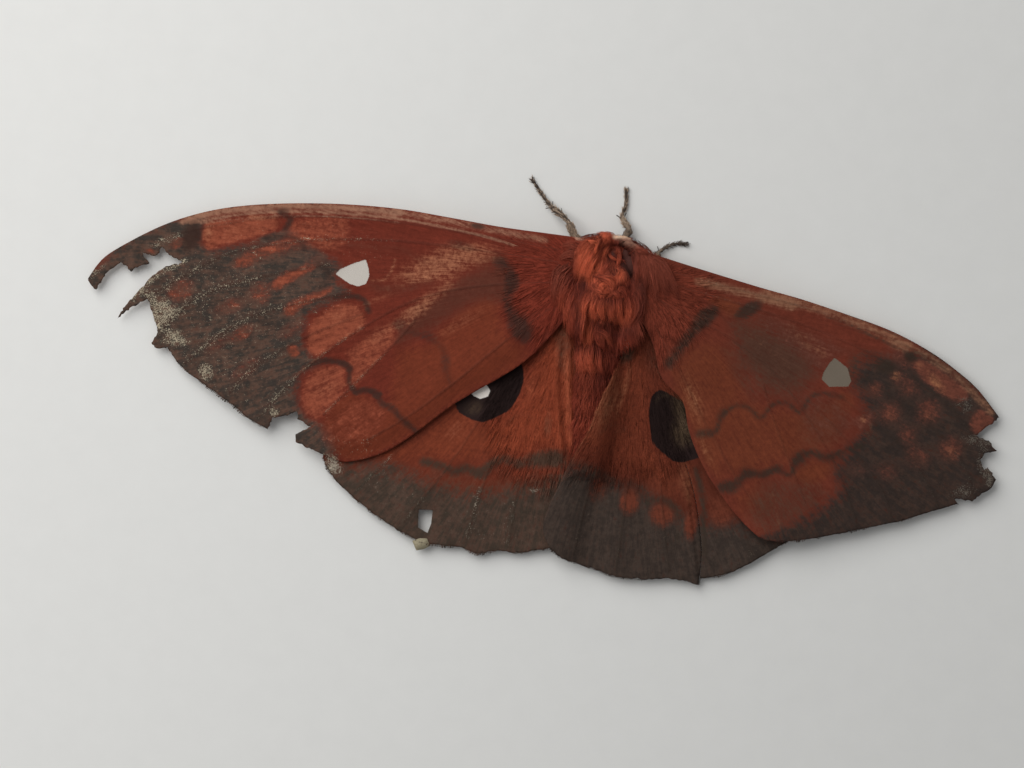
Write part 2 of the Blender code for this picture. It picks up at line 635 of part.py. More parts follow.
def lock_mesh(name, lock, lump, under, draw):
    """A flat, tapered lock that rises out of a lump, bends over and lies along the coat."""
    curl = draw.uniform(-0.35, 0.35)
    length = lock.length * draw.uniform(0.85, 1.15)
    width = lock.width * draw.uniform(0.85, 1.15)
    place = Vector((lock.x, lock.y))
    heading = lock.heading.copy()
    height = lump_top(lump, lock.x, lock.y)
    path = [Vector((lock.x, lock.y, height - LOCK_SINK))]
    for share in (0.16, 0.3, 0.3, 0.24):
        place = place + heading * length * share
        heading.rotate(Matrix.Rotation(curl * share, 2))
        lift = LOCK_CLEARANCE if len(path) > 1 else 0.6 * LOCK_CLEARANCE
        height = max(under(*place) + lift, height - LOCK_FALL)
        path.append(Vector((*place, height)))
    rows = []
    for i, spread in enumerate((0.7, 1.0, 1.0, 0.7)):
        along = (path[i + 1] - path[max(i - 1, 0)]).normalized()
        across = Vector((-along.y, along.x, draw.uniform(-0.25, 0.25))).normalized() * width * spread / 2.0
        up = along.cross(across).normalized() * LOCK_THICKNESS * (0.8 + 0.2 * spread) / 2.0
        rows.append((path[i] - across, path[i] - up, path[i] + across, path[i] + up))
    return loft(name, rows, path[-1])


def fringe_locks():
    """The front tier, fanned out over the head and the front corners of the wings."""
    locks = []
    for k in range(FRINGE_LOCKS):
        angle = FRINGE_FAN[0] + (FRINGE_FAN[1] - FRINGE_FAN[0]) * k / (FRINGE_LOCKS - 1)
        heading = Vector((-math.sin(angle), math.cos(angle)))
        root = Vector((2.1 * heading.x, 2.5 + 0.9 * heading.y))
        locks.append(Lock(root.x, root.y, heading, LOCK_LENGTH * (0.85 + 0.35 * abs(heading.x)), LOCK_WIDTH))
    return locks


def coat_locks(draw):
    """The tiers from the collar back, row by row, with the rubbed patch left bare."""
    locks = []
    for row in range(COAT_ROWS):
        y = COAT_FRONT_Y - row * COAT_ROW_STEP
        over_wings = COLLAR_Y + 1.0 > y > THORAX_CENTRE.y - 3.0
        reach = THORAX.half_width(y, 7.3 if over_wings else 6.3)
        columns = max(3, round(2.0 * reach / COAT_COLUMN_STEP))
        for column in range(columns):
            x = reach * (2.0 * (column + 0.5) / columns - 1.0) + draw.uniform(-0.15, 0.15)
            bare = BARE_PATCH_LOW[0] < x < BARE_PATCH_HIGH[0] and BARE_PATCH_LOW[1] < y < BARE_PATCH_HIGH[1]
            if not bare:
                heading = lock_heading(x, y, draw)
                locks.append(Lock(x, y + draw.uniform(-0.2, 0.2), heading, LOCK_LENGTH, LOCK_WIDTH))
    return locks


def grow_coat(piece, finish, lump, locks, under, draw):
    """Set locks on a piece and fuse them with it."""
    extras = bpy.data.collections.new("locks")
    bpy.context.scene.collection.children.link(extras)
    for k, lock in enumerate(locks):
        name = f"{piece.name}_lock_{k}"
        add_object(name, lock_mesh(name, lock, lump, under, draw), finish, extras)
    unite(piece, extras)


def build_thorax(collection):
    """The thorax, a low core under tiers of long locks that lie over head, wings and abdomen."""
    thorax = add_object("thorax", ellipsoid_mesh("thorax", THORAX, 24, 16), THORAX_HAIR, collection)
    draw = random.Random(COAT_SEED)
    grow_coat(thorax, THORAX_HAIR, THORAX, fringe_locks() + coat_locks(draw), covered_height, draw)


def forehead_locks():
    """A short tuft that fans forward from the top of the head, between the feelers."""
    locks = []
    for k in range(FOREHEAD_LOCKS):
        share = 2.0 * k / (FOREHEAD_LOCKS - 1) - 1.0
        x = HEAD_CENTRE.x + FOREHEAD_HALF_SPREAD * share
        y = HEAD_CENTRE.y - 0.6 * abs(share)
        locks.append(Lock(x, y, Vector((0.1 * share, 1.0)).normalized(), FOREHEAD_LENGTH, FOREHEAD_WIDTH))
    return locks


def build_head(collection, cutters):
    """The small tucked head with a forehead tuft, a socket for each eye, and the two eyes."""
    head = add_object("head", ellipsoid_mesh("head", HEAD, 24, 16), HEAD_HAIR, collection)
    clearance = ellipsoid_mesh("thorax_clearance", THORAX.grown(GAP), 28, 18)
    carve(head, add_object("thorax_clearance", clearance, HEAD_HAIR, cutters))
    for side, name in ((-1, "left_eye"), (1, "right_eye")):
        centre = HEAD_CENTRE + Vector((side * EYE_SPREAD, 0.35, -0.2))
        eye = Ellipsoid(centre, Vector((EYE_RADIUS,) * 3))
        socket = ellipsoid_mesh(name + "_socket", eye.grown(GAP), 20, 14)
        carve(head, add_object(name + "_socket", socket, HEAD_HAIR, cutters))
        add_object(name, ellipsoid_mesh(name, eye, 16, 10), EYE_GLOSS, collection)
    grow_coat(head, HEAD_HAIR, HEAD, forehead_locks(), lambda x, y: lump_top(HEAD, x, y) - 0.3,
              random.Random(COAT_SEED))


def build_abdomen(collection, cutters):
    """The ringed abdomen, bent a little to the right, resting on its flat belly."""
    first, last = ABDOMEN_AXIS[0][1], ABDOMEN_AXIS[-1][1]
    points = []
    radii = []
    for k in range(2 * ABDOMEN_SEGMENTS + 1):
        y = first + (last - first) * k / (2 * ABDOMEN_SEGMENTS)
        centre, half_width, half_height = abdomen_slice(y)
        points.append((centre, y, half_height - 0.15))
        radii.append(half_width - (0.18 if k % 2 else 0.0))
    points.append((points[-1][0], last - 0.5, points[-1][2]))
    radii.append(0.4 * radii[-1])
    mesh = tube_mesh("abdomen", points, radii, sides=5)
    flatten_underside(mesh)
    abdomen = add_object("abdomen", mesh, ABDOMEN_HAIR, collection)
    carve(abdomen, cutters.objects["thorax_clearance"])


def build_leg(name, collection):
    """One leg from its root on the thorax to a toe that lies flat on the floor."""
    root = LEG_ROOTS[name]
    route = [THORAX.point_along(root, GAP + 0.1), THORAX.point_along(root, GAP + 0.6)]
    route += [Vector((x, y, TOE_HEIGHT if z is None else z)) for x, y, z in LEG_ROUTES[name]]
    femur, tibia, tarsus = LEG_RADII["femur"], LEG_RADII["tibia"], LEG_RADII["tarsus"]
    radii = [femur, femur, femur, tibia, tarsus * 1.1, tarsus, tarsus * 0.9]
    mesh = tube_mesh(name, route, radii)
    flatten_underside(mesh)
    add_object(name, mesh, LEG_SCALES, collection)


def build_antenna(side, name, collection):
    """A plumed feeler, laid back under the front edge of the forewing."""
    root = (side * ANTENNA_ROOT[0], ANTENNA_ROOT[1], ANTENNA_ROOT[2])
    route = [HEAD.point_along(root, GAP + 0.1), HEAD.point_along(root, GAP + 0.6)]
    route += [HEAD_CENTRE + Vector((side * x, y, z)) for x, y, z in ANTENNA_ROUTE]
    shaft_mesh = tube_mesh(name, route, (ANTENNA_RADII[0], *ANTENNA_RADII))
    shaft = add_object(name, shaft_mesh, ANTENNA_SCALES, collection)
    rami = bpy.data.collections.new("rami")
    bpy.context.scene.collection.children.link(rami)
    first = 1.5
    for k in range(RAMUS_COUNT):
        t = first + (len(route) - 1.6 - first) * k / (RAMUS_COUNT - 1)
        place = curve_point(route, t) + Vector((0.0, 0.0, RAMUS_RISE))
        along = (curve_point(route, t + 0.1) - place).normalized()
        length = RAMUS_LENGTH * (0.45 + 0.55 * math.sin(math.pi * (k + 1.0) / (RAMUS_COUNT + 1.0)))
        for hand in (-1, 1):
            lean = Vector((along.x, along.y))
            lean.rotate(Matrix.Rotation(hand * RAMUS_LEAN, 2))
            tip = place + Vector((lean.x, lean.y, along.z * 0.5)).normalized() * length
            ramus = tube_mesh(f"ramus_{k}_{hand}", (place, tip), (RAMUS_RADIUS, 0.4 * RAMUS_RADIUS), sides=0)
            add_object(f"ramus_{k}_{hand}", ramus, ANTENNA_SCALES, rami)
    unite(shaft, rami)


def move_to_origin(collection):
    """Hang every piece on one empty and put the bottom centre of the moth's box at the origin."""
    stand = bpy.data.objects.new("moth_root", None)
    collection.objects.link(stand)
    corners = []
    for piece in collection.objects:
        if piece.type == "MESH":
            piece.parent = stand
            corners += [vertex.co.copy() for vertex in piece.data.vertices]
    low = Vector(min(c[i] for c in corners) for i in range(3))
    high = Vector(max(c[i] for c in corners) for i in range(3))
    stand.location = (-(low.x + high.x) / 2.0, -(low.y + high.y) / 2.0, -low.z)


def main():
    """Clear the scene and build the moth."""
    for leftover in list(bpy.data.objects):
        bpy.data.objects.remove(leftover, do_unlink=True)
    moth = bpy.data.collections.new("pseudobunaea_cyrene")
    cutters = bpy.data.collections.new("cutters")
    bpy.context.scene.collection.children.link(moth)
    bpy.context.scene.collection.children.link(cutters)
    build_thorax(moth)
    build_head(moth, cutters)
    build_abdomen(moth, cutters)
    for wing in wings():
        build_wing(wing, moth)
    for name in LEG_ROUTES:
        build_leg(name, moth)
    build_antenna(-1, "left_antenna", moth)
    build_antenna(1, "right_antenna", moth)
    move_to_origin(moth)


main()
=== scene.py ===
"""Looks of a life-size emperor moth, resting with its worn wings spread on a pale floor.

Shapes are worked out in the moth's own frame, in millimetres: the origin is the spot
under the middle of the thorax, +Y runs towards the head and +Z up. Markings are laid
out in the pixels of the 1024 by 768 photograph and carried to the wings from there.
"""
import logging
import math
from dataclasses import dataclass, field
from enum import Enum
from typing import Callable, Sequence

import bmesh
import bpy
import numpy as np
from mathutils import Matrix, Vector, geometry

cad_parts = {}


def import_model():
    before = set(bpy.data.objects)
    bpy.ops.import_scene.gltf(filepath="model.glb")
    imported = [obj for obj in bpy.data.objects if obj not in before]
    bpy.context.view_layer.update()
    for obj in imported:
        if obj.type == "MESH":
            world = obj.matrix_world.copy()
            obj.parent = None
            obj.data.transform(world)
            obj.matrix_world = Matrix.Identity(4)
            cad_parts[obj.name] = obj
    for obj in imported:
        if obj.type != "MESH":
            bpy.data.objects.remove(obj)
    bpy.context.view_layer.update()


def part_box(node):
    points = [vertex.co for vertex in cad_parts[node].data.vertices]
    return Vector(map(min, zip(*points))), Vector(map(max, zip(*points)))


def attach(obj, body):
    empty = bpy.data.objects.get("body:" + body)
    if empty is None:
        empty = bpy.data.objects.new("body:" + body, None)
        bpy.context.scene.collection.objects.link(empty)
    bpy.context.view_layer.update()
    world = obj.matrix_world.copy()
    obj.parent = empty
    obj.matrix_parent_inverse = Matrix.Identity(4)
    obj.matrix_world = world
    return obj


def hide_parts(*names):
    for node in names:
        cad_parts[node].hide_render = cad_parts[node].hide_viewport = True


LOG = logging.getLogger("moth")
MM = 0.001
SEED = 11
BAKE_MAP = "OFBake"
TUFT_PATCH = 0.003

PHOTO_SIZE = (1024, 768)
PHOTO_THORAX = (610.0, 285.0)
PHOTO_SCALE = 0.152
PHOTO_TURN = math.radians(10.0)

THORAX_CENTRE = np.array((0.0, -1.4, 5.2))
THORAX_HALF = np.array((4.0, 5.9, 3.5))
HEAD_CENTRE = np.array((-0.4, 6.2, 3.9))
HEAD_HALF = np.array((1.9, 1.7, 1.5))
EYE_RADIUS = 0.95
EYE_OFFSET = np.array((1.65, 0.35, -0.2))
COLLAR_HUMPS = (((1.5, 4.5, 4.3), (1.5, 1.6)), ((-1.9, 4.6, 4.3), (1.6, 1.6)))
SHOULDER_HUMPS = (((-2.7, 3.3, 5.2), (1.7, 1.7, 1.2)), ((2.7, 3.0, 5.2), (1.7, 1.8, 1.2)))
ABDOMEN_AXIS = np.array(((0.0, -6.0), (-0.1, -10.0), (0.6, -17.6), (1.1, -23.7), (1.8, -29.8)))
ABDOMEN_HALF_WIDTH = 3.5
ABDOMEN_TIP_HALF_WIDTH = 1.1
ABDOMEN_FLATTENING = 0.92

Points = np.ndarray
Height = Callable[[Points], np.ndarray]


class Side(Enum):
    """Which side of the moth a piece belongs to."""

    LEFT = -1
    RIGHT = 1


def colour(red: float, green: float, blue: float) -> tuple[float, float, float]:
    """A display colour, 0 to 255 a channel, as the linear values that shaders take."""
    channels = (c / 255.0 for c in (red, green, blue))
    return tuple(c / 12.92 if c <= 0.04045 else ((c + 0.055) / 1.055) ** 2.4 for c in channels)


def ramp(x: np.ndarray) -> np.ndarray:
    """A smooth step from 0 to 1 while x runs from 0 to 1."""
    t = np.clip(x, 0.0, 1.0)
    return t * t * (3.0 - 2.0 * t)


def to_photo(points: Points) -> Points:
    """Carry plan points in millimetres to pixels of the photograph."""
    c, s = math.cos(PHOTO_TURN), math.sin(PHOTO_TURN)
    x, y = points[:, 0] / PHOTO_SCALE, points[:, 1] / PHOTO_SCALE
    return np.column_stack((PHOTO_THORAX[0] + x * c + y * s, PHOTO_THORAX[1] + x * s - y * c))


def from_photo(pixels: Sequence[tuple[float, float]]) -> Points:
    """Carry pixels of the photograph to plan points in millimetres."""
    c, s = math.cos(PHOTO_TURN), math.sin(PHOTO_TURN)
    d = (np.asarray(pixels, float) - PHOTO_THORAX) * (PHOTO_SCALE, -PHOTO_SCALE)
    return np.column_stack((d[:, 0] * c - d[:, 1] * s, d[:, 0] * s + d[:, 1] * c))


def smooth_line(points: Sequence, step: float) -> Points:
    """Points about one step apart along the smooth curve through a few points."""
    p = np.asarray(points, float)
    p = np.vstack((p[:1], p, p[-1:]))
    line = []
    for before, start, end, after in zip(p, p[1:], p[2:], p[3:]):
        pieces = max(1, round(float(np.linalg.norm(end - start)) / step))
        u = (np.arange(pieces) / pieces)[:, None]
        line.append(0.5 * (2.0 * start + (end - before) * u
                           + (2.0 * before - 5.0 * start + 4.0 * end - after) * u * u
                           + (3.0 * start - before - 3.0 * end + after) * u ** 3))
    return np.vstack((*line, p[-1:]))


def refined(points: Points, step: float) -> Points:
    """The same open line with straight stretches cut into pieces about one step long."""
    line = []
    for start, end in zip(points, points[1:]):
        pieces = max(1, round(float(np.linalg.norm(end - start)) / step))
        line.append(start + (end - start) * (np.arange(pieces) / pieces)[:, None])
    return np.vstack((*line, points[-1:]))


def distances(points: Points, line: Points) -> np.ndarray:
    """Shortest distance from each plan point to an open line."""
    nearest = np.full(len(points), np.inf)
    for start, end in zip(line, line[1:]):
        arm = end - start
        share = np.clip(((points - start) @ arm) / max(float(arm @ arm), 1e-12), 0.0, 1.0)
        nearest = np.minimum(nearest, np.linalg.norm(points - start - share[:, None] * arm, axis=1))
    return nearest


def closed(outline: Points) -> Points:
    """An outline with its first point repeated at the end."""
    return np.vstack((outline, outline[:1]))


def inside(points: Points, outline: Points) -> np.ndarray:
    """Which plan points lie within a closed outline."""
    within = np.zeros(len(points), bool)
    x, y = points[:, 0], points[:, 1]
    for (ax, ay), (bx, by) in zip(outline, closed(outline)[1:]):
        if ay != by:
            within ^= ((ay > y) != (by > y)) & (x < ax + (y - ay) * (bx - ax) / (by - ay))
    return within


def value_noise(points: Points, size: float, seed: int) -> np.ndarray:
    """Smooth random values from -1 to 1 whose bumps are about one size across."""
    table = np.random.default_rng(seed).uniform(-1.0, 1.0, (64, 64))
    place = points[:, :2] / size
    cell = np.floor(place).astype(int)
    f = ramp(place - cell)
    i, j = cell[:, 0] % 64, cell[:, 1] % 64
    i1, j1 = (i + 1) % 64, (j + 1) % 64
    low = table[i, j] * (1.0 - f[:, 0]) + table[i1, j] * f[:, 0]
    high = table[i, j1] * (1.0 - f[:, 0]) + table[i1, j1] * f[:, 0]
    return low * (1.0 - f[:, 1]) + high * f[:, 1]


def unit(vectors: np.ndarray) -> np.ndarray:
    """Vectors scaled to length one."""
    return vectors / np.maximum(np.linalg.norm(vectors, axis=-1, keepdims=True), 1e-9)


def dome(points: Points, centre: np.ndarray, half: np.ndarray) -> np.ndarray:
    """Height of the upper side of an ellipsoid over plan points, or zero beside it."""
    rest = 1.0 - (((points[:, :2] - centre[:2]) / half[:2]) ** 2).sum(axis=1)
    return np.where(rest > 0.0, centre[2] + half[2] * np.sqrt(np.maximum(rest, 0.0)), 0.0)


def abdomen_slice(y: np.ndarray) -> tuple[np.ndarray, np.ndarray, np.ndarray]:
    """Centre x, half width and half height of the abdomen at distances along Y."""
    first, last = ABDOMEN_AXIS[0, 1], ABDOMEN_AXIS[-1, 1]
    along = np.clip((first - y) / (first - last), 0.0, 1.0)
    centre = np.interp(-y, -ABDOMEN_AXIS[:, 1], ABDOMEN_AXIS[:, 0])
    taper = np.sqrt(np.maximum(1.0 - along ** 3, 0.0))
    half = ABDOMEN_TIP_HALF_WIDTH + (ABDOMEN_HALF_WIDTH - ABDOMEN_TIP_HALF_WIDTH) * taper
    return centre, half, half * ABDOMEN_FLATTENING


def eye_centre(side: float) -> np.ndarray:
    """Centre of the left eye for side -1, or of the right eye for side 1."""
    return HEAD_CENTRE + EYE_OFFSET * (side, 1.0, 1.0)


def forewing_height(points: Points) -> np.ndarray:
    """Height of the middle of a forewing, high at the thorax and low at the tip."""
    return 1.0 + 5.8 * np.exp((4.0 - np.abs(points[:, 0])) / 30.0)


def hindwing_height(points: Points) -> np.ndarray:
    """Height of the middle of the left hindwing."""
    distance = np.hypot(np.abs(points[:, 0]) - 4.0, points[:, 1] + 3.0)
    return 0.9 + 4.1 * np.exp(-distance / 24.0)


def right_hindwing_height(points: Points) -> np.ndarray:
    """Height of the right hindwing, which lies over the abdomen and the left hindwing."""
    x, y = points[:, 0], points[:, 1]
    centre, half_width, half_height = abdomen_slice(y)
    across = (x - centre) / (half_width + 1.6)
    end = ramp((y - ABDOMEN_AXIS[-1, 1] + 4.5) / 4.5)
    over_body = (2.0 * half_height + 0.95) * np.exp(-1.6 * np.abs(across) ** 3) * end
    resting = hindwing_height(points)
    top = 0.5 * np.logaddexp(resting / 0.5, over_body / 0.5)
    return top + 1.25 * ramp((4.0 - x) / 5.0)


@dataclass(frozen=True)
class Spot:
    """A soft oval mark in photo pixels; turn runs clockwise in degrees from the u axis."""

    u: float
    v: float
    length: float
    width: float
    turn: float = 0.0
    strength: float = 1.0
    soft: float = 0.5

    def cover(self, pixels: Points) -> np.ndarray:
        """How much of the mark each pixel carries, from 0 to its strength."""
        d = pixels - (self.u, self.v)
        c, s = math.cos(math.radians(self.turn)), math.sin(math.radians(self.turn))
        reach = np.hypot((d[:, 0] * c + d[:, 1] * s) / self.length, (d[:, 1] * c - d[:, 0] * s) / self.width)
        soft = self.soft * 1.2
        return self.strength * ramp((1.0 + soft - reach) / (2.0 * soft))


@dataclass(frozen=True)
class Stroke:
    """A soft line through photo pixels, its width and softness in pixels."""

    route: tuple
    width: float
    soft: float = 2.0
    strength: float = 1.0

    def cover(self, pixels: Points) -> np.ndarray:
        """How much of the line each pixel carries, from 0 to its strength."""
        away = distances(pixels, smooth_line(self.route, 5.0))
        soft = self.soft * 1.3
        return self.strength * ramp((self.width / 2.0 + soft - away) / (2.0 * soft))


@dataclass(frozen=True)
class Area:
    """A soft patch with a smooth outline through photo pixels."""

    outline: tuple
    soft: float = 4.0
    strength: float = 1.0
    angular: bool = False

    def depth(self, pixels: Points) -> np.ndarray:
        """Distance inwards from the outline, negative outside it."""
        loop = closed(np.asarray(self.outline, float))
        loop = loop if self.angular else smooth_line(loop, 4.0)
        away = distances(pixels, loop)
        return np.where(inside(pixels, loop[:-1]), away, -away)

    def cover(self, pixels: Points) -> np.ndarray:
        """How much of the patch each pixel carries, from 0 to its strength."""
        return self.strength * ramp(0.5 + self.depth(pixels) / (3.4 * self.soft))


class Layer(Enum):
    """Layers of the pattern, each stored as one value at every vertex."""

    WARM = "warm"
    DULL = "dull"
    OUTER = "outer"
    RED = "red"
    RUBBED = "rubbed"
    COSTA = "costa"
    MARK = "mark"
    BARE = "bare"
    SPECKS = "specks"
    # On the wings this layer is the black of the eyespots; on the body it is painted shade in the valleys
    # between the locks and between the rings of the abdomen.
    BLACK = "black"
    HAZE = "haze"
    GLASS = "glass"


Pattern = dict[Layer, list]

LEFT_FOREWING_PATTERN: Pattern = {
    Layer.WARM: [
        Area(((398, 352), (430, 342), (452, 318), (492, 296), (503, 330), (522, 348), (519, 364),
            (456, 402), (410, 436), (372, 440), (390, 400)), 9),
        Area(((318, 440), (330, 405), (352, 392), (378, 402), (400, 425), (380, 452), (345, 460)),
            6, 0.9)],
    Layer.DULL: [
        Area(((462, 276), (505, 264), (506, 300), (475, 304), (430, 330), (398, 345), (402, 322)),
            7, 0.85), Stroke(((300, 252), (340, 246), (400, 250), (430, 262), (500, 258)), 9, 6, 0.45),
        Stroke(((372, 285), (392, 290), (430, 282)), 12, 6, 0.55)],
    Layer.OUTER: [
        Area(((50, 300), (87, 272), (120, 242), (160, 222), (196, 214), (206, 222), (200, 238),
            (215, 249), (262, 240), (296, 240), (322, 256), (340, 266), (336, 280), (348, 292),
            (330, 303), (308, 315), (304, 345), (318, 362), (300, 376), (298, 402), (312, 424),
            (330, 470), (240, 480), (60, 430)), 8),
        Stroke(((262, 240), (290, 232), (300, 240), (322, 258)), 8, 3, 0.8),
        Spot(321, 441, 13, 18, -35, 0.75, 0.8)],
    Layer.RED: [
        Area(((204, 224), (222, 219), (262, 217), (279, 220), (276, 229), (255, 238), (232, 243),
            (208, 249), (202, 238)), 3),
        Area(((290, 219), (345, 217), (345, 246), (318, 250), (297, 244), (286, 234)), 5, 0.75),
        Area(((245, 246), (285, 240), (300, 247), (288, 256), (262, 262), (238, 262)), 5, 0.45),
        Area(((271, 284), (285, 272), (314, 266), (304, 275), (288, 284), (277, 290)), 3, 0.9),
        Area(((283, 314), (287, 304), (305, 296), (332, 287), (326, 296), (305, 305), (292, 316)),
            3, 0.9),
        Area(((311, 322), (330, 308), (352, 304), (366, 318), (360, 332), (335, 345), (316, 357),
            (306, 342)), 3),
        Area(((345, 352), (372, 334), (396, 325), (393, 345), (372, 367), (353, 388), (349, 368)),
            4, 0.8),
        Area(((304, 380), (318, 368), (342, 366), (347, 382), (340, 398), (316, 420), (302, 408)),
            4, 0.85),
        Area(((318, 430), (345, 402), (370, 398), (388, 412), (370, 440), (330, 448)), 5, 0.5),
        Spot(293, 351, 7, 6, 40, 0.85), Spot(149, 251, 6, 3, 10, 0.6), Spot(176, 243, 9, 5, -30, 0.6),
        Spot(242, 333, 14, 7, -35, 0.55), Spot(243, 262, 14, 6, -15, 0.5),
        Spot(272, 248, 24, 5, -18, 0.5), Spot(260, 293, 12, 12, -30, 0.5),
        Spot(230, 306, 18, 8, -20, 0.45), Spot(180, 290, 15, 12, -30, 0.5),
        Spot(290, 330, 16, 8, -35, 0.35), Spot(245, 370, 22, 9, -40, 0.35),
        Spot(215, 345, 16, 8, -40, 0.35), Spot(315, 262, 14, 7, -20, 0.35),
        Spot(460, 255, 38, 12, -10, 0.45)],
    Layer.RUBBED: [
        Spot(448, 262, 42, 12, -12, 0.7, 0.8), Spot(425, 276, 28, 7, -8, 0.5, 0.8),
        Spot(470, 252, 26, 8, 10, 0.35, 0.8), Spot(418, 309, 26, 8, -38, 0.7, 0.8),
        Spot(462, 322, 30, 6, -30, 0.35, 0.9), Spot(447, 287, 12, 6, -35, 0.45, 0.8),
        Spot(380, 336, 14, 11, -40, 0.35, 0.8), Spot(336, 318, 12, 8, -20, 0.35, 0.8),
        Spot(325, 388, 14, 12, -30, 0.35, 0.8), Spot(208, 232, 5, 12, 10, 0.5, 0.8),
        Spot(235, 232, 16, 8, -10, 0.3, 0.8), Spot(262, 217, 18, 3, 0, 0.7, 0.7),
        Spot(375, 300, 30, 5, -25, 0.3, 0.8),
        Stroke(((395, 260), (391, 272), (384, 280), (371, 281)), 1.6, 1.5, 0.7),
        Stroke(((293, 378), (324, 353), (366, 322)), 1.8, 1.8, 0.6),
        Stroke(((342, 388), (367, 372), (376, 360)), 1.8, 1.8, 0.6)],
    Layer.COSTA: [
        Stroke(((182, 221), (205, 214), (240, 209), (290, 206), (345, 208), (400, 213)), 6, 2.5, 0.95),
        Stroke(((395, 212), (450, 222), (500, 232), (545, 241)), 7, 3, 0.6),
        Stroke(((190, 223), (240, 214.5), (290, 211.5), (345, 213.5), (400, 219.5), (450, 229),
            (482, 236.5), (514, 246)), 2.2, 1.2, 1),
        Stroke(((200, 223.5), (245, 218), (290, 215.5), (350, 217.5), (400, 223)), 1.2, 1.2, 0.8)],
    Layer.MARK: [
        Stroke(((497, 262), (507, 267), (512, 283), (509, 294), (508, 306), (515, 323), (524, 337)),
            9, 6, 0.9), Spot(512, 283, 7, 9, 0, 0.7), Spot(521, 328, 11, 13, -20, 0.85, 0.7),
        Stroke(((402, 331), (414, 334), (426, 338), (438, 344), (445, 354), (446, 372), (452, 384)),
            7, 5, 0.5), Spot(430, 336, 8, 5, 20, 0.4, 0.8), Spot(446, 362, 5, 10, 0, 0.35, 0.8),
        Spot(399, 324, 8, 5, -20, 0.6), Stroke(((306, 367), (322, 361), (340, 362), (350, 368)), 6, 3, 1),
        Stroke(((350, 370), (349, 382), (355, 391)), 5, 3, 0.9),
        Stroke(((356, 392), (368, 390), (378, 395)), 6, 3, 1),
        Stroke(((378, 395), (382, 403), (392, 408), (400, 417), (411, 427), (418, 433)), 7, 4, 0.85),
        Spot(191, 237, 9, 15, 15, 0.95, 0.6), Spot(478, 227, 8, 3, 8, 0.8), Spot(280, 209, 14, 3, 0, 0.4),
        Stroke(((281, 213), (291, 219), (285, 228)), 6, 3, 0.9),
        Stroke(((266, 237), (285, 236), (299, 240), (304, 248)), 5, 3.5, 0.75),
        Spot(463, 247, 15, 5, 18, 0.6),
        Stroke(((334, 298), (350, 296), (364, 300), (369, 311)), 6, 3, 0.9),
        Stroke(((318, 262), (330, 276), (318, 290)), 10, 6, 0.55),
        Stroke(((205, 262), (240, 290), (262, 320), (290, 335)), 14, 9, 0.35)],
    Layer.BARE: [
        Stroke(((303, 241), (304, 238.5), (307, 237.5), (310, 239)), 1.4, 0.8, 1),
        Stroke(((252, 252), (258, 256), (262, 259)), 1.4, 1.2, 0.9),
        Spot(165, 240, 20, 4, -22, 0.42, 0.8), Spot(97, 270, 12, 3, -45, 0.4, 0.8),
        Stroke(((139, 288), (131, 295), (124, 301)), 4, 3, 0.8),
        Area(((145, 293), (154, 292), (172, 304), (178, 312), (166, 326), (156, 330), (150, 314)),
            4.5, 0.6), Area(((160, 342), (170, 328), (182, 334), (190, 343), (172, 346)), 3.5, 0.62),
        Stroke(((133, 298), (150, 280), (172, 266), (184, 261)), 5, 4, 0.6),
        Spot(205, 372, 8, 9, 40, 0.6), Spot(274, 412, 5, 5, 0, 0.6), Spot(330, 461, 9, 6, 30, 0.7)],
    Layer.SPECKS: [
        Area(((130, 290), (160, 262), (235, 258), (270, 285), (262, 330), (250, 400), (190, 372),
            (150, 330)), 18, 0.95),
        Area(((250, 300), (330, 265), (330, 290), (300, 330), (300, 390), (260, 420), (245, 360)),
            14, 0.6),
        Area(((205, 222), (280, 215), (350, 216), (400, 250), (380, 285), (330, 260), (260, 262)),
            12, 0.45), Stroke(((190, 390), (240, 352), (300, 322), (352, 296)), 10, 8, 0.8),
        Stroke(((268, 402), (300, 368), (360, 330)), 10, 8, 0.6),
        Stroke(((315, 425), (350, 390), (385, 355)), 12, 8, 0.45),
        Area(((312, 440), (335, 425), (380, 440), (400, 442), (345, 470)), 8, 0.7)],
    Layer.GLASS: [
        Area(((335.5, 274), (340, 269.5), (352, 264), (366, 259.5), (368.5, 268), (369.5, 276),
            (366, 284), (358, 286.5), (350, 284)), 1, 1, True)]}

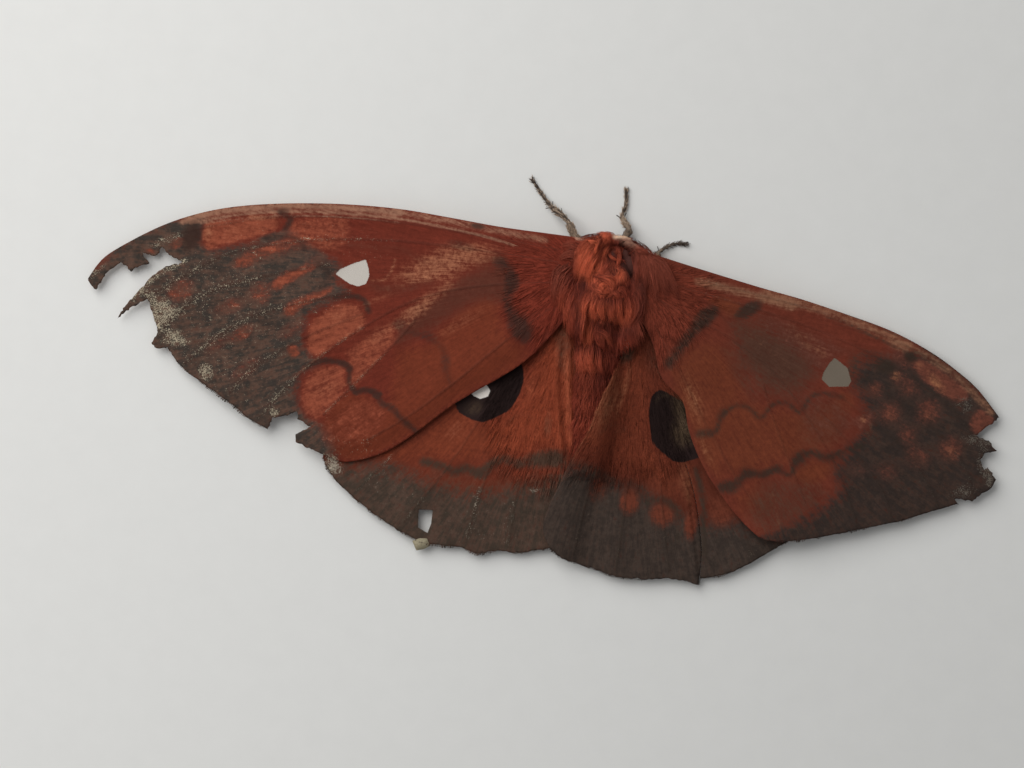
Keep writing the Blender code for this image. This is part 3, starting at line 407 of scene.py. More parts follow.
RIGHT_FOREWING_PATTERN: Pattern = {
    Layer.WARM: [
        Area(((708, 300), (722, 297), (742, 306), (735, 318), (718, 312)), 5, 0.8),
        Area(((668, 372), (690, 345), (728, 350), (752, 400), (800, 408), (835, 400), (840, 440),
            (800, 460), (745, 476), (708, 460), (690, 420)), 10, 0.75),
        Spot(695, 412, 8, 26, -30, 1, 0.7), Spot(708, 455, 7, 20, -25, 0.8, 0.8),
        Spot(812, 473, 22, 10, -15, 0.9, 0.6), Spot(755, 500, 22, 18, 0, 0.6, 0.8),
        Spot(845, 402, 10, 12, 20, 0.5)],
    Layer.DULL: [
        Area(((732, 322), (760, 325), (800, 343), (815, 368), (800, 390), (770, 392), (742, 366)),
            15, 0.95), Area(((790, 400), (850, 400), (850, 445), (800, 452)), 10, 0.35),
        Stroke(((722, 350), (740, 380), (752, 400)), 8, 6, 0.35), Spot(852, 368, 8, 16, 30, 0.6, 0.8),
        Area(((760, 480), (800, 478), (830, 495), (790, 530), (760, 535), (745, 510)), 9, 0.55)],
    Layer.OUTER: [
        Area(((905, 352), (930, 352), (965, 378), (1010, 420), (1010, 500), (960, 520), (860, 545),
            (770, 550), (785, 528), (815, 512), (838, 490), (835, 470), (850, 446), (866, 425),
            (862, 398), (852, 384), (862, 362), (885, 358)), 11),
        Stroke(((740, 541), (770, 538), (800, 530)), 6, 5, 0.8)],
    Layer.RED: [
        Area(((911, 361), (924, 360), (942, 370), (958, 381), (969, 392), (967, 400), (955, 402),
            (937, 391), (921, 377)), 3),
        Area(((973, 414), (981, 409), (993, 417), (995, 427), (985, 434), (974, 434), (970, 424)),
            3, 0.95),
        Area(((745, 305), (790, 322), (838, 342), (850, 352), (838, 358), (818, 372), (790, 350),
            (762, 328)), 7, 0.55), Spot(864, 420, 7, 10, 60, 0.85, 0.8),
        Spot(875, 390, 8, 8, 30, 0.75, 0.8), Spot(896, 376, 8, 7, 30, 0.5, 0.8),
        Spot(908, 387, 13, 10, 30, 0.6, 0.8), Spot(890, 413, 12, 12, 30, 0.75, 0.8),
        Spot(929, 412, 12, 13, 30, 0.75, 0.8), Spot(908, 434, 10, 10, 30, 0.6, 0.8),
        Spot(951, 449, 12, 13, 30, 0.75, 0.8), Spot(918, 457, 13, 12, 30, 0.6, 0.8),
        Spot(888, 471, 12, 11, 30, 0.5, 0.8), Spot(855, 470, 15, 10, -10, 0.4, 0.8),
        Spot(900, 358, 18, 9, 25, 0.6, 0.8),
        Area(((796, 398), (822, 394), (842, 402), (852, 425), (840, 442), (812, 440), (800, 420)),
            5, 0.4)],
    Layer.RUBBED: [
        Spot(937, 382, 12, 5, 50, 0.7, 0.8), Spot(920, 365, 5, 4, 30, 0.4, 0.8),
        Spot(896, 376, 5, 4, 30, 0.7, 0.7), Spot(863, 419, 3, 5, 0, 0.5),
        Spot(869, 432, 3, 8, 10, 0.4, 0.8), Spot(875, 390, 4, 5, 0, 0.3, 0.9),
        Spot(891, 416, 6, 5, 0, 0.3, 0.9), Spot(929, 416, 6, 6, 0, 0.3, 0.9),
        Spot(951, 453, 7, 6, 20, 0.35, 0.9), Spot(918, 460, 7, 6, 20, 0.2, 0.9),
        Spot(802, 339, 20, 8, 35, 0.35, 0.8), Spot(822, 352, 8, 5, 60, 0.3, 0.8),
        Spot(765, 348, 30, 3, 38, 0.25, 0.9), Spot(692, 398, 8, 22, -20, 0.55, 0.9),
        Spot(704, 448, 6, 20, -22, 0.4, 0.9), Spot(815, 487, 16, 7, -20, 0.18, 0.9),
        Stroke(((772, 494), (776, 510), (778, 528)), 3, 4, 0.35)],
    Layer.COSTA: [
        Stroke(((698, 282), (735, 291), (765, 299), (790, 306)), 9, 4, 0.72),
        Stroke(((765, 296), (800, 303), (838, 315), (878, 332), (905, 346)), 12, 5, 0.62),
        Stroke(((895, 341), (927, 356), (960, 380), (992, 412)), 8, 4, 0.6)],
    Layer.MARK: [
        Stroke(((713, 311), (704, 321), (694, 330), (684, 342), (668, 364)), 10, 6, 0.9),
        Spot(703, 318, 12, 8, -40, 0.7), Spot(748, 310, 15, 7, -28, 0.9), Spot(752, 281, 22, 4, 18, 0.8),
        Stroke(((698, 434), (715, 431), (721, 416), (736, 405), (750, 409), (760, 418), (772, 405),
            (786, 403), (800, 412), (809, 398), (822, 393), (842, 398)), 4.5, 4.5, 0.8),
        Spot(704, 433, 11, 6, -5, 0.45, 0.8), Spot(720, 413, 5, 8, 20, 0.4, 0.8),
        Stroke(((722, 487), (738, 482), (746, 473), (762, 474), (776, 469), (790, 475), (796, 460),
            (810, 452), (826, 458), (846, 450), (862, 446)), 5.5, 4, 0.85),
        Spot(728, 487, 12, 8, -10, 0.7, 0.7), Spot(746, 473, 8, 7, 0, 0.6, 0.8),
        Spot(764, 474, 6, 5, 0, 0.5, 0.8), Spot(777, 468, 6, 5, 0, 0.5, 0.8),
        Spot(799, 459, 9, 9, -40, 0.6, 0.8), Spot(830, 457, 16, 8, 10, 0.45, 0.9),
        Spot(870, 355, 22, 9, 20, 0.4, 0.8), Spot(851, 372, 7, 14, 0, 0.5, 0.8),
        Spot(911, 357, 7, 6, 30, 0.9), Spot(886, 367, 11, 7, 10, 0.8),
        Stroke(((826, 317), (850, 325), (878, 338), (905, 351)), 1.6, 1.4, 0.8),
        Stroke(((832, 323), (862, 333), (895, 348)), 1.4, 1.4, 0.6),
        Stroke(((905, 345), (935, 362), (965, 386), (990, 412)), 1.4, 1.4, 0.6),
        Stroke(((700, 269), (775, 290), (826, 306), (878, 327), (930, 352), (978, 388), (998, 414)),
            2, 1.5, 0.7), Stroke(((722, 318), (735, 335), (745, 372), (752, 392)), 3, 3, 0.4)],
    Layer.BARE: [
        Spot(964, 404, 9, 8, 40, 0.45, 0.8), Spot(978, 441, 15, 5, 10, 0.6, 0.7),
        Spot(985, 462, 7, 14, 0, 0.5), Spot(963, 492, 16, 8, -20, 0.35), Spot(990, 478, 5, 10, 0, 0.5)],
    Layer.SPECKS: [
        Area(((940, 420), (1000, 430), (1000, 500), (930, 515), (900, 500)), 12, 0.45),
        Area(((760, 470), (900, 450), (900, 520), (770, 540)), 15, 0.18),
        Area(((700, 268), (760, 284), (820, 303), (900, 342), (890, 348), (820, 322), (700, 296)),
            4, 0.6)],
    Layer.GLASS: [
        Area(((834.4, 357.8), (847, 367.7), (851, 381), (848, 386.5), (828.5, 386.8), (821.3, 379),
            (823.5, 371.7), (829.4, 362.8)), 1, 1, True)]}

LEFT_HINDWING_PATTERN: Pattern = {
    Layer.WARM: [
        Area(((345, 440), (420, 440), (456, 410), (480, 425), (520, 400), (545, 345), (575, 330),
            (575, 440), (540, 452), (480, 458), (430, 455), (380, 460)), 10, 0.8),
        Spot(452, 436, 24, 15, -40, 0.7, 0.8), Stroke(((569, 360), (570, 400), (571, 440)), 5, 4, 0.9)],
    Layer.DULL: [
        Area(((556, 320), (570, 335), (570, 372), (560, 372), (554, 345)), 4, 0.55),
        Stroke(((505, 425), (520, 414), (532, 418)), 3, 3, 0.5), Spot(548, 425, 5, 14, 5, 0.4),
        Area(((430, 470), (480, 480), (560, 472), (560, 500), (480, 500), (430, 495)), 8, 0.5)],
    Layer.OUTER: [
        Area(((318, 457), (345, 466), (372, 470), (392, 472), (415, 480), (440, 487), (478, 492),
            (510, 489), (545, 484), (575, 476), (575, 570), (300, 570)), 12),
        Spot(385, 468, 40, 10, 15, 0.4, 0.8)],
    Layer.RED: [
        Spot(438, 473, 8, 7, 20, 0.8), Spot(469, 476, 7, 6, 20, 0.55), Spot(503, 472, 9, 6, 0, 0.5),
        Spot(534, 475, 8, 6, 0, 0.6), Spot(395, 440, 40, 9, -20, 0.35, 0.8),
        Spot(440, 505, 16, 10, 0, 0.2, 0.8)],
    Layer.RUBBED: [Spot(455, 432, 16, 9, -40, 0.3, 0.8), Spot(392, 430, 12, 4, -40, 0.4)],
    Layer.COSTA: [
        Stroke(((566, 356), (567, 375), (568, 400), (570, 428), (571.5, 444)), 6, 4.5, 0.8),
        Stroke(((555, 352), (557, 385), (558.5, 420), (561, 448)), 2.2, 3, 0.5),
        Spot(531, 388, 6, 13, 10, 0.5, 0.9), Spot(536, 436, 4, 12, 0, 0.3, 0.9)],
    Layer.MARK: [
        # The first two strokes are painted shade: the line where the inner fold meets the abdomen, and the
        # crease between the two folds.
        Stroke(((574, 345), (575, 380), (575, 420), (574, 450)), 3, 2.5, 0.5),
        Stroke(((561, 350), (562, 390), (564, 430), (566, 455)), 2, 2, 0.4),
        Stroke(((424, 462), (440, 466), (455, 472), (466, 468), (480, 474), (492, 464), (505, 460),
            (520, 464), (540, 460), (556, 457)), 9, 5, 0.9), Spot(550, 459, 20, 9, 0, 0.9, 0.7),
        Spot(482, 473, 8, 7, 0, 0.5)],
    Layer.BARE: [Spot(333, 465, 11, 7, 50, 0.8, 0.6), Spot(535, 490, 6, 3, 0, 0.4)],
    Layer.SPECKS: [
        Area(((325, 460), (400, 470), (420, 510), (400, 525), (360, 500)), 14, 0.4),
        Stroke(((393, 453), (380, 478), (370, 498)), 4, 4, 0.8),
        Stroke(((426, 463), (414, 490), (405, 508)), 4, 4, 0.7),
        Stroke(((478, 480), (474, 516), (468, 539)), 4, 3, 0.8),
        Stroke(((474, 528), (484, 542)), 3, 3, 0.8),
        Stroke(((512, 500), (505, 524), (506, 546)), 4, 3, 0.8),
        Area(((410, 500), (550, 490), (550, 552), (440, 550)), 12, 0.3)],
    Layer.BLACK: [
        Area(((440, 396), (480, 372), (517, 352), (523.5, 370), (524, 380), (520.5, 392), (514, 404),
            (509, 411), (495, 418), (483, 422.5), (471, 419.5), (459, 412.5), (456, 407), (456, 404)),
            1, 1, True)],
    Layer.HAZE: [Spot(474, 408, 7, 5, -20, 0.35, 0.8)],
    Layer.GLASS: [
        Area(((471, 394.5), (485.5, 383.5), (490.5, 390.5), (488, 396.5), (480, 399)), 1, 1, True)]}

RIGHT_HINDWING_PATTERN: Pattern = {
    Layer.WARM: [
        Area(((618, 355), (640, 345), (650, 380), (648, 430), (668, 465), (690, 462), (690, 490),
            (660, 500), (640, 478), (610, 462), (590, 440)), 9, 0.7),
        Stroke(((612, 380), (602, 405), (588, 436)), 14, 8, 0.9)],
    Layer.DULL: [
        Spot(627, 352, 7, 13, 15, 0.8), Stroke(((600, 432), (612, 424), (622, 428)), 3, 3, 0.6),
        Area(((650, 330), (690, 345), (690, 372), (660, 380), (640, 360)), 8, 0.4),
        # The last area is painted shadow of the overlapping flap, right of the slit.
        Area(((705, 445), (725, 450), (735, 520), (712, 540), (700, 500)), 6, 0.25)],
    Layer.OUTER: [
        Area(((540, 484), (566, 466), (590, 470), (612, 482), (640, 490), (660, 502), (680, 514),
            (700, 520), (716, 522), (740, 520), (765, 530), (800, 540), (800, 600), (530, 600)), 13)],
    Layer.RED: [
        Spot(598, 489, 10, 13, 12, 0.6, 0.8), Spot(629.5, 501, 9, 13, 6, 1, 0.7),
        Spot(662, 514, 12, 12, 12, 1, 0.7), Spot(691, 524, 6, 15, 5, 1, 0.7),
        Spot(722, 510, 12, 16, 0, 0.85, 0.7)],
    Layer.RUBBED: [Spot(700, 405, 8, 16, -20, 0.5, 0.8)],
    Layer.COSTA: [
        Stroke(((618, 366), (613.5, 376), (603, 394), (592, 419), (582, 440), (574, 456), (564, 476),
            (553, 498), (543, 520)), 1.4, 1.6, 0.45),
        Stroke(((629, 368), (626.5, 383), (621, 400), (617, 416)), 2.6, 3, 0.55),
        Spot(607, 404, 10, 30, 24, 0.62, 0.9), Spot(686, 482, 7, 24, -8, 0.5, 0.9)],
    Layer.MARK: [
        # Spot(586, 470) below is painted shade where the wing bends over the tip of the abdomen.
        Stroke(((572, 464), (586, 468), (600, 474), (616, 480), (632, 484), (645, 490), (656, 499),
            (672, 506), (684, 514)), 9, 6, 0.45), Spot(586, 470, 16, 9, 20, 0.2, 0.8),
        Stroke(((612, 484), (616, 496), (612, 512)), 5, 4, 0.5),
        Stroke(((643, 494), (647, 508), (645, 526)), 5, 4, 0.5),
        Stroke(((650, 502), (664, 499), (675, 508), (679, 524), (677, 540)), 5, 4, 0.6),
        Stroke(((612, 430), (618, 432), (626, 428)), 4, 3, 0.5),
        # The last stroke is the painted shadow that the slit's left flap casts on the part beneath.
        Stroke(((697, 470), (701, 490), (704, 510), (704, 560)), 7, 4, 0.8)],
    Layer.BARE: [],
    Layer.SPECKS: [
        Area(((560, 520), (690, 530), (690, 570), (600, 575)), 12, 0.22),
        Stroke(((590, 515), (578, 545)), 5, 4, 0.6), Stroke(((760, 538), (748, 562)), 8, 5, 0.5)],
    Layer.BLACK: [
        Area(((648.5, 409), (650.5, 397), (655, 392), (660, 389.5), (668, 393), (676, 398),
            (683, 402.5), (700, 430), (706, 456), (694, 459.5), (683, 462.5), (673, 461.5), (667, 456.5),
            (652, 443.5), (649.5, 425)), 1, 1, True)],
    Layer.HAZE: [
        Spot(685, 430, 10, 13, 15, 1, 0.7), Spot(682, 412, 7, 14, -20, 0.9, 0.7),
        Stroke(((655, 399.5), (660, 396), (668, 396), (681, 403)), 2, 1.2, 0.6)],
    Layer.GLASS: []}

COAT_PATTERN: Pattern = {
    # Orange hair, brightest on the left lobe, the crest over the head and the lock tips, where it is partly
    # a painted highlight of the light from the left.
    Layer.WARM: [
        Area(((574, 262), (580, 247), (592, 238), (605, 233), (609, 245), (604, 258), (598, 272),
            (591, 285), (582, 283), (575, 276)), 3, 1), Spot(620, 278, 5, 8, 0, 1, 0.7),
        Spot(613, 262, 9, 14, 0, 0.35, 0.8), Spot(602, 288, 13, 10, 0, 0.75, 0.8),
        Spot(593, 312, 14, 11, 0, 0.9, 0.8), Spot(621, 317, 14, 12, 0, 0.8, 0.8),
        Spot(586, 334, 5, 16, 0, 0.8, 0.8), Spot(606, 339, 9, 4, 35, 0.45, 0.8),
        Spot(587, 362, 12, 13, 0, 0.5, 0.8), Spot(560, 320, 8, 26, 10, 0.3, 0.8),
        Spot(584, 402, 6, 22, 0, 0.25, 0.8)],
    Layer.DULL: [
        Area(((632, 244), (645, 250), (700, 270), (700, 350), (640, 350), (637, 300)), 7, 0.85),
        Area(((550, 236), (572, 244), (574, 262), (566, 280), (550, 300)), 5, 0.7)],
    Layer.RUBBED: [
        Stroke(((614, 238), (619, 238), (625, 237.5), (631, 238.5)), 3.2, 1.8, 1),
        Spot(577, 237.5, 6, 3.5, 10, 0.6), Spot(629, 243, 8, 4, 15, 0.3, 0.8)],
    Layer.MARK: [
        Area(((620, 248), (630, 246), (634, 262), (632, 279), (624, 279), (620, 268), (620.5, 256)),
            3, 0.95), Spot(611.5, 272.5, 5.5, 4.5, -20, 1), Spot(618, 244, 4, 4, 0, 1),
        Spot(612.5, 254.5, 2.6, 2.4, 0, 0.9), Spot(606.5, 261, 2.2, 3.5, 0, 0.8)],
    # Painted shade: valleys between the locks, the hollow at the mantle's left, the shadow of the right
    # hindwing's edge on the abdomen and the creases between its rings.
    Layer.BLACK: [
        Spot(582, 286, 4, 6.5, 10, 0.95), Spot(626, 270, 5, 8, 0, 0.6, 0.8),
        Stroke(((580, 280), (581, 290), (578, 302), (576, 325), (577, 348)), 4, 3, 0.85),
        Stroke(((641, 284), (642, 300), (638, 316), (629, 330), (617, 336)), 7, 5, 0.85),
        Spot(612, 334, 16, 9, 0, 0.6, 0.8), Spot(603, 380, 7, 12, 10, 0.8, 0.8),
        Spot(614, 355, 9, 12, 0, 0.5, 0.8), Spot(584, 388, 14, 3, 0, 0.4, 0.8),
        Spot(580, 413, 12, 3, 0, 0.4, 0.8), Spot(607, 305, 2.5, 10, 0, 0.5, 0.8)]}


class Socket:
    """One shader or geometry socket with arithmetic, so that maths reads as maths."""

    def __init__(self, graph: "Graph", link: bpy.types.NodeSocket) -> None:
        """Wrap an output socket of a node in a graph."""
        self.graph = graph
        self.link = link

    def __add__(self, other: "Socket | float") -> "Socket":
        """This value plus another."""
        return self.graph.maths("ADD", self, other)

    def __mul__(self, other: "Socket | float") -> "Socket":
        """This value times another."""
        return self.graph.maths("MULTIPLY", self, other)

    def __sub__(self, other: "Socket | float") -> "Socket":
        """This value less another."""
        return self.graph.maths("SUBTRACT", self, other)

    def __rsub__(self, other: float) -> "Socket":
        """A number less this value."""
        return self.graph.maths("SUBTRACT", other, self)

    __radd__ = __add__
    __rmul__ = __mul__


Input = Socket | float | tuple | str


class Graph:
    """Builds the nodes of one material or geometry tree."""

    def __init__(self, tree: bpy.types.NodeTree) -> None:
        """Start from an empty tree."""
        self.tree = tree
        tree.nodes.clear()

    def node(self, kind: str, settings: dict, inputs: dict, output: int | str = 0) -> Socket:
        """Add a node, set it up, feed its sockets and return one of its outputs.

        Args:
            kind: the node's type.
            settings: properties that are set before the sockets are read.
            inputs: values or links by socket name or number.
            output: name or number of the output that is returned.

        Returns:
            The chosen output socket.
        """
        node = self.tree.nodes.new(kind)
        for name, value in settings.items():
            setattr(node, name, value)
        for key, value in inputs.items():
            if isinstance(value, Socket):
                self.tree.links.new(value.link, node.inputs[key])
            else:
                node.inputs[key].default_value = value
        return Socket(self, node.outputs[output] if len(node.outputs) else None)

    def maths(self, operation: str, *values: Input) -> Socket:
        """A Math node on one to three values."""
        return self.node("ShaderNodeMath", {"operation": operation}, dict(enumerate(values)))

    def step(self, value: Input, low: float, high: float) -> Socket:
        """A smooth step from 0 at low to 1 at high."""
        return self.node("ShaderNodeMapRange", {"interpolation_type": "SMOOTHSTEP"},
                         {"Value": value, "From Min": low, "From Max": high})

    def mix(self, share: Input, first: Input, second: Input) -> Socket:
        """A blend of two colours, as links or as display colours."""
        pair = [(*colour(*c), 1.0) if isinstance(c, tuple) else c for c in (first, second)]
        return self.node("ShaderNodeMix", {"data_type": "RGBA"}, {0: share, 6: pair[0], 7: pair[1]}, 2)

    def scaled(self, shade: Input, share: Input) -> Socket:
        """A display colour, or a linked colour or vector, times a value."""
        shade = colour(*shade) if isinstance(shade, tuple) else shade
        return self.node("ShaderNodeVectorMath", {"operation": "SCALE"}, {0: shade, "Scale": share})

    def stretched(self, place: Input, factors: tuple[float, float, float]) -> Socket:
        """A place with each axis scaled by its own factor."""
        return self.node("ShaderNodeVectorMath", {"operation": "MULTIPLY"}, {0: place, 1: factors})

    def attribute(self, name: str, output: str = "Fac") -> Socket:
        """A value that the mesh carries."""
        return self.node("ShaderNodeAttribute", {"attribute_name": name}, {}, output)

    def millimetres(self) -> Socket:
        """Object coordinates in millimetres."""
        place = self.node("ShaderNodeTexCoord", {}, {}, "Object")
        return self.stretched(place, (1000.0, 1000.0, 1000.0))

    def noise(self, place: Input, scale: float, detail: float = 2.0, rough: float = 0.5) -> Socket:
        """Fractal noise around 0.5."""
        return self.node("ShaderNodeTexNoise", {"noise_dimensions": "3D"},
                         {"Vector": place, "Scale": scale, "Detail": detail, "Roughness": rough})

    def bump(self, height: Input, strength: float, distance: float) -> Socket:
        """A normal that a height field tilts."""
        return self.node("ShaderNodeBump", {},
                         {"Height": height, "Strength": strength, "Distance": distance})


def shader_graph(name: str) -> tuple[bpy.types.Material, Graph]:
    """A new material with an empty tree to build in."""
    material = bpy.data.materials.new(name)
    material.use_nodes = True
    return material, Graph(material.node_tree)


def close_surface(graph: Graph, settings: dict) -> None:
    """End a material in one Principled BSDF with these socket values."""
    shader = graph.node("ShaderNodeBsdfPrincipled", {}, settings)
    graph.node("ShaderNodeOutputMaterial", {}, {"Surface": shader})


@dataclass(frozen=True)
class WingFinish:
    """Scales of one wing: colours of the pattern's layers and how worn they are."""

    name: str
    ground: tuple
    warm: tuple
    dull: tuple
    outer: tuple
    outer_dark: tuple
    red: tuple
    red_dull: tuple
    rubbed: tuple
    costa: tuple
    mark: tuple
    bare: tuple
    glass: tuple
    under: tuple
    speck_gain: float = 1.0
    gain: float = 1.15
    silk_gain: float = 0.85
    vein_line: float = 0.4

    def build(self) -> bpy.types.Material:
        """Make the material."""
        material, g = shader_graph(self.name)
        place = g.millimetres()
        lie = g.attribute("lie", "Vector")
        specks = g.attribute(Layer.SPECKS.value) * self.speck_gain
        vein = g.attribute("vein")
        blotch = g.noise(place, 0.9, 4.0, 0.65)
        patchy = g.noise(place, 0.38, 3.0, 0.6)
        fine = g.noise(place, 5.5, 3.0, 0.7)
        dots = g.noise(place, 6.5, 1.0, 0.5)
        mottle = g.noise(place, 1.7, 4.0, 0.75)
        streak = g.noise(g.stretched(lie, (0.25, 2.4, 1.0)), 1.0, 4.0, 0.65)
        strand = g.noise(g.stretched(lie, (0.7, 9.0, 1.0)), 1.0, 2.0, 0.6)
        ragged = (blotch - 0.5) * 0.6 + (streak - 0.5) * 1.0 + (mottle - 0.5) * 1.0
        along_vein = g.step(vein, 1.3, 0.1)
        outer = g.mix(g.step(blotch + (streak - 0.5) * 1.2, 0.3, 0.7), self.outer, self.outer_dark)
        outer = g.mix(along_vein * 0.5, outer, self.outer_dark)
        core = g.attribute(Layer.RED.value) * 0.45 + blotch * 0.5 + mottle * 0.6 + (streak - 0.5) * 0.5
        red = g.mix(g.step(core, 0.65, 1.1), self.red_dull, self.red)
        shade = self.ground
        order = ((Layer.WARM, self.warm, 1.0), (Layer.DULL, self.dull, 1.0), (Layer.OUTER, outer, 1.0),
                 (Layer.RED, red, 0.95), (Layer.COSTA, self.costa, 0.9), (Layer.MARK, self.mark, 0.88))
        for layer, paint, most in order:
            cover = g.attribute(layer.value)
            share = g.step(cover + ragged * g.step(cover, 0.0, 0.5), 0.1, 0.95)
            shade = g.mix(share * most, shade, paint)
        rubbed = g.attribute(Layer.RUBBED.value)
        scratch = g.step(mottle * 0.55 + streak * 0.45 + rubbed * 0.2, 0.48, 0.78)
        shade = g.mix(g.step(rubbed, 0.0, 0.7) * scratch * 0.9, shade, self.rubbed)
        bare = g.attribute(Layer.BARE.value)
        torn = g.step(bare * 0.7 + (dots - 0.5) * 1.5 + (blotch - 0.5) * 1.0, 0.3, 0.52)
        worn = g.scaled(self.bare, g.step(mottle + (dots - 0.5) * 1.2, 0.36, 0.62) * 0.6 + 0.4)
        shade = g.mix(torn * g.step(bare, 0.05, 0.35) * 0.8, shade, worn)
        faint = g.step(fine, 0.4, 0.65) * 0.6 + 0.25
        loss = dots + (mottle - 0.5) * 0.9 + specks * 0.07 + along_vein * specks * 0.1
        shade = g.mix(g.step(loss, 0.77, 0.85) * g.step(specks, 0.05, 0.8) * faint, shade, self.bare)
        line = g.step(vein + (fine - 0.5) * 0.15, 0.34, 0.05)
        shade = g.mix(line * (g.attribute(Layer.OUTER.value) * 0.5 + 0.5) * self.vein_line, shade, self.mark)
        crest = g.step(dots * 0.6 + blotch * 0.5 + specks * 0.05, 0.62, 0.69)
        crest = g.step(vein + (mottle - 0.5) * 0.6, 0.3, 0.1) * crest
        shade = g.mix(crest * g.step(specks, 0.0, 0.8) * faint, shade, self.bare)
        level = ((patchy - 0.5) * 0.4 + (blotch - 0.5) * 0.35 + (streak - 0.5) * 0.75 + (mottle - 0.5) * 0.9
                 + (strand - 0.5) * 0.4 + (fine - 0.5) * 0.3 + g.attribute("silk") * self.silk_gain
                 + self.gain)
        shade = g.scaled(shade, level)
        black = g.step(g.attribute(Layer.BLACK.value) + (streak - 0.5) * 0.5, -0.10, 0.12)
        shade = g.mix(black, shade, (42, 29, 27))
        haze = g.attribute(Layer.HAZE.value) * g.step(streak * 0.5 + mottle * 0.5, 0.34, 0.6)
        shade = g.mix(haze, shade, (104, 84, 64))
        under = g.mix(g.attribute(Layer.OUTER.value) * 0.7, self.under, self.outer)
        shade = g.mix(g.attribute("under"), shade, g.scaled(under, level))
        glass = g.step(g.attribute(Layer.GLASS.value) + (fine - 0.5) * 0.25, -0.06, 0.08)
        shade = g.mix(glass, shade, g.scaled(self.glass, (fine - 0.5) * 0.12 + 1.0))
        relief = streak * 0.5 + strand * 0.4 + fine * 0.35
        close_surface(g, {
            "Base Color": shade, "Roughness": 0.85 - glass * 0.45, "Alpha": 1.0 - glass * 0.25,
            "Specular IOR Level": 0.1, "Normal": g.bump(relief * (1.0 - glass), 0.55, 0.00006)})
        return material


# The left forewing's outer colours are lighter than the right's: its scales are more worn, and part of it is
# painted sheen of the light from the left.
FOREWING_LEFT = WingFinish(
    "forewing_scales_left", ground=(99, 40, 28), warm=(104, 46, 29), dull=(84, 43, 32),
    outer=(88, 66, 55), outer_dark=(53, 46, 41), red=(133, 68, 48),
    red_dull=(112, 52, 37), rubbed=(150, 96, 70), costa=(138, 98, 78),
    mark=(54, 36, 30), bare=(168, 155, 132), glass=(212, 204, 194),
    under=(140, 98, 70), speck_gain=1.0)
# The right forewing's glass colour is grey, painted shade: its window shows the floor in the wing's shadow.
FOREWING_RIGHT = WingFinish(
    "forewing_scales_right", ground=(98, 44, 31), warm=(101, 49, 31), dull=(76, 48, 37),
    outer=(62, 47, 40), outer_dark=(46, 37, 33), red=(104, 58, 45),
    red_dull=(82, 48, 39), rubbed=(140, 92, 64), costa=(130, 90, 68),
    mark=(48, 38, 31), bare=(98, 90, 80), glass=(124, 112, 98),
    under=(140, 98, 70), speck_gain=0.7, vein_line=0.22)
# The left hindwing's glass colour is pure white, a painted highlight brighter than the floor shaded by the
# forewing above it.
HINDWING_LEFT = WingFinish(
    "hindwing_scales_left", ground=(100, 44, 29), warm=(112, 51, 32), dull=(86, 56, 42),
    outer=(80, 61, 51), outer_dark=(58, 48, 40), red=(104, 54, 39),
    red_dull=(86, 46, 34), rubbed=(146, 94, 72), costa=(130, 67, 45),
    mark=(56, 46, 37), bare=(168, 156, 138), glass=(255, 246, 236),
    under=(140, 98, 70), speck_gain=1.0, vein_line=0.25)
HINDWING_RIGHT = WingFinish(
    "hindwing_scales_right", ground=(86, 39, 26), warm=(98, 46, 30), dull=(66, 44, 34),
    outer=(66, 54, 47), outer_dark=(50, 41, 36), red=(100, 49, 34),
    red_dull=(92, 45, 31), rubbed=(136, 88, 66), costa=(118, 72, 50),
    mark=(52, 42, 34), bare=(150, 136, 118), glass=(206, 194, 184),
    under=(140, 98, 70), speck_gain=0.8, vein_line=0.2)


@dataclass(frozen=True)
class CoatFinish:
    """Hair of the body: rich orange red, darker at the roots, with the pattern's layers."""

    name: str
    root: tuple
    tip: tuple
    warm: tuple
    dull: tuple
    pale: tuple
    bare: tuple
    # Colour of the painted shade in the valleys between the locks.
    valley_shade: tuple

    def build(self) -> bpy.types.Material:
        """Make the material."""
        material, g = shader_graph(self.name)
        along, tint = g.attribute("along"), g.attribute("tint")
        fine = g.noise(g.millimetres(), 6.0, 3.0, 0.7)
        shade = g.mix(g.step(along + (tint - 0.5) * 0.5, 0.05, 0.75), self.root, self.tip)
        shade = g.mix(g.attribute(Layer.WARM.value) * g.step(along, 0.1, 0.7), shade, self.warm)
        shade = g.mix(g.attribute(Layer.DULL.value), shade, self.dull)
        shade = g.mix(g.attribute(Layer.MARK.value) * 0.3, shade, self.bare)
        # Painted shade in the valleys between the locks.
        shade = g.mix(g.attribute(Layer.BLACK.value) * 0.7, shade, self.valley_shade)
        shade = g.mix(g.attribute(Layer.RUBBED.value), shade, self.pale)
        shade = g.scaled(shade, (tint - 0.5) * 1.3 + (fine - 0.5) * 0.4 + along * 0.7 + 1.45)
        close_surface(g, {"Base Color": shade, "Roughness": 0.7, "Specular IOR Level": 0.15,
                          "Normal": g.bump(fine, 0.3, 0.00003)})
        return material


BODY_HAIR = CoatFinish("body_hair", root=(78, 30, 21), tip=(116, 49, 34),
                       warm=(156, 75, 50), dull=(113, 56, 42), pale=(192, 168, 144),
                       bare=(74, 38, 32), valley_shade=(62, 25, 20))
# On the legs the dull colour is painted shade on the right-hand legs.
LEG_HAIR = CoatFinish("leg_hair", root=(88, 74, 62), tip=(138, 120, 103), warm=(120, 102, 86),
                      dull=(72, 62, 55), pale=(170, 148, 124), bare=(62, 52, 46),
                      valley_shade=(66, 56, 48))


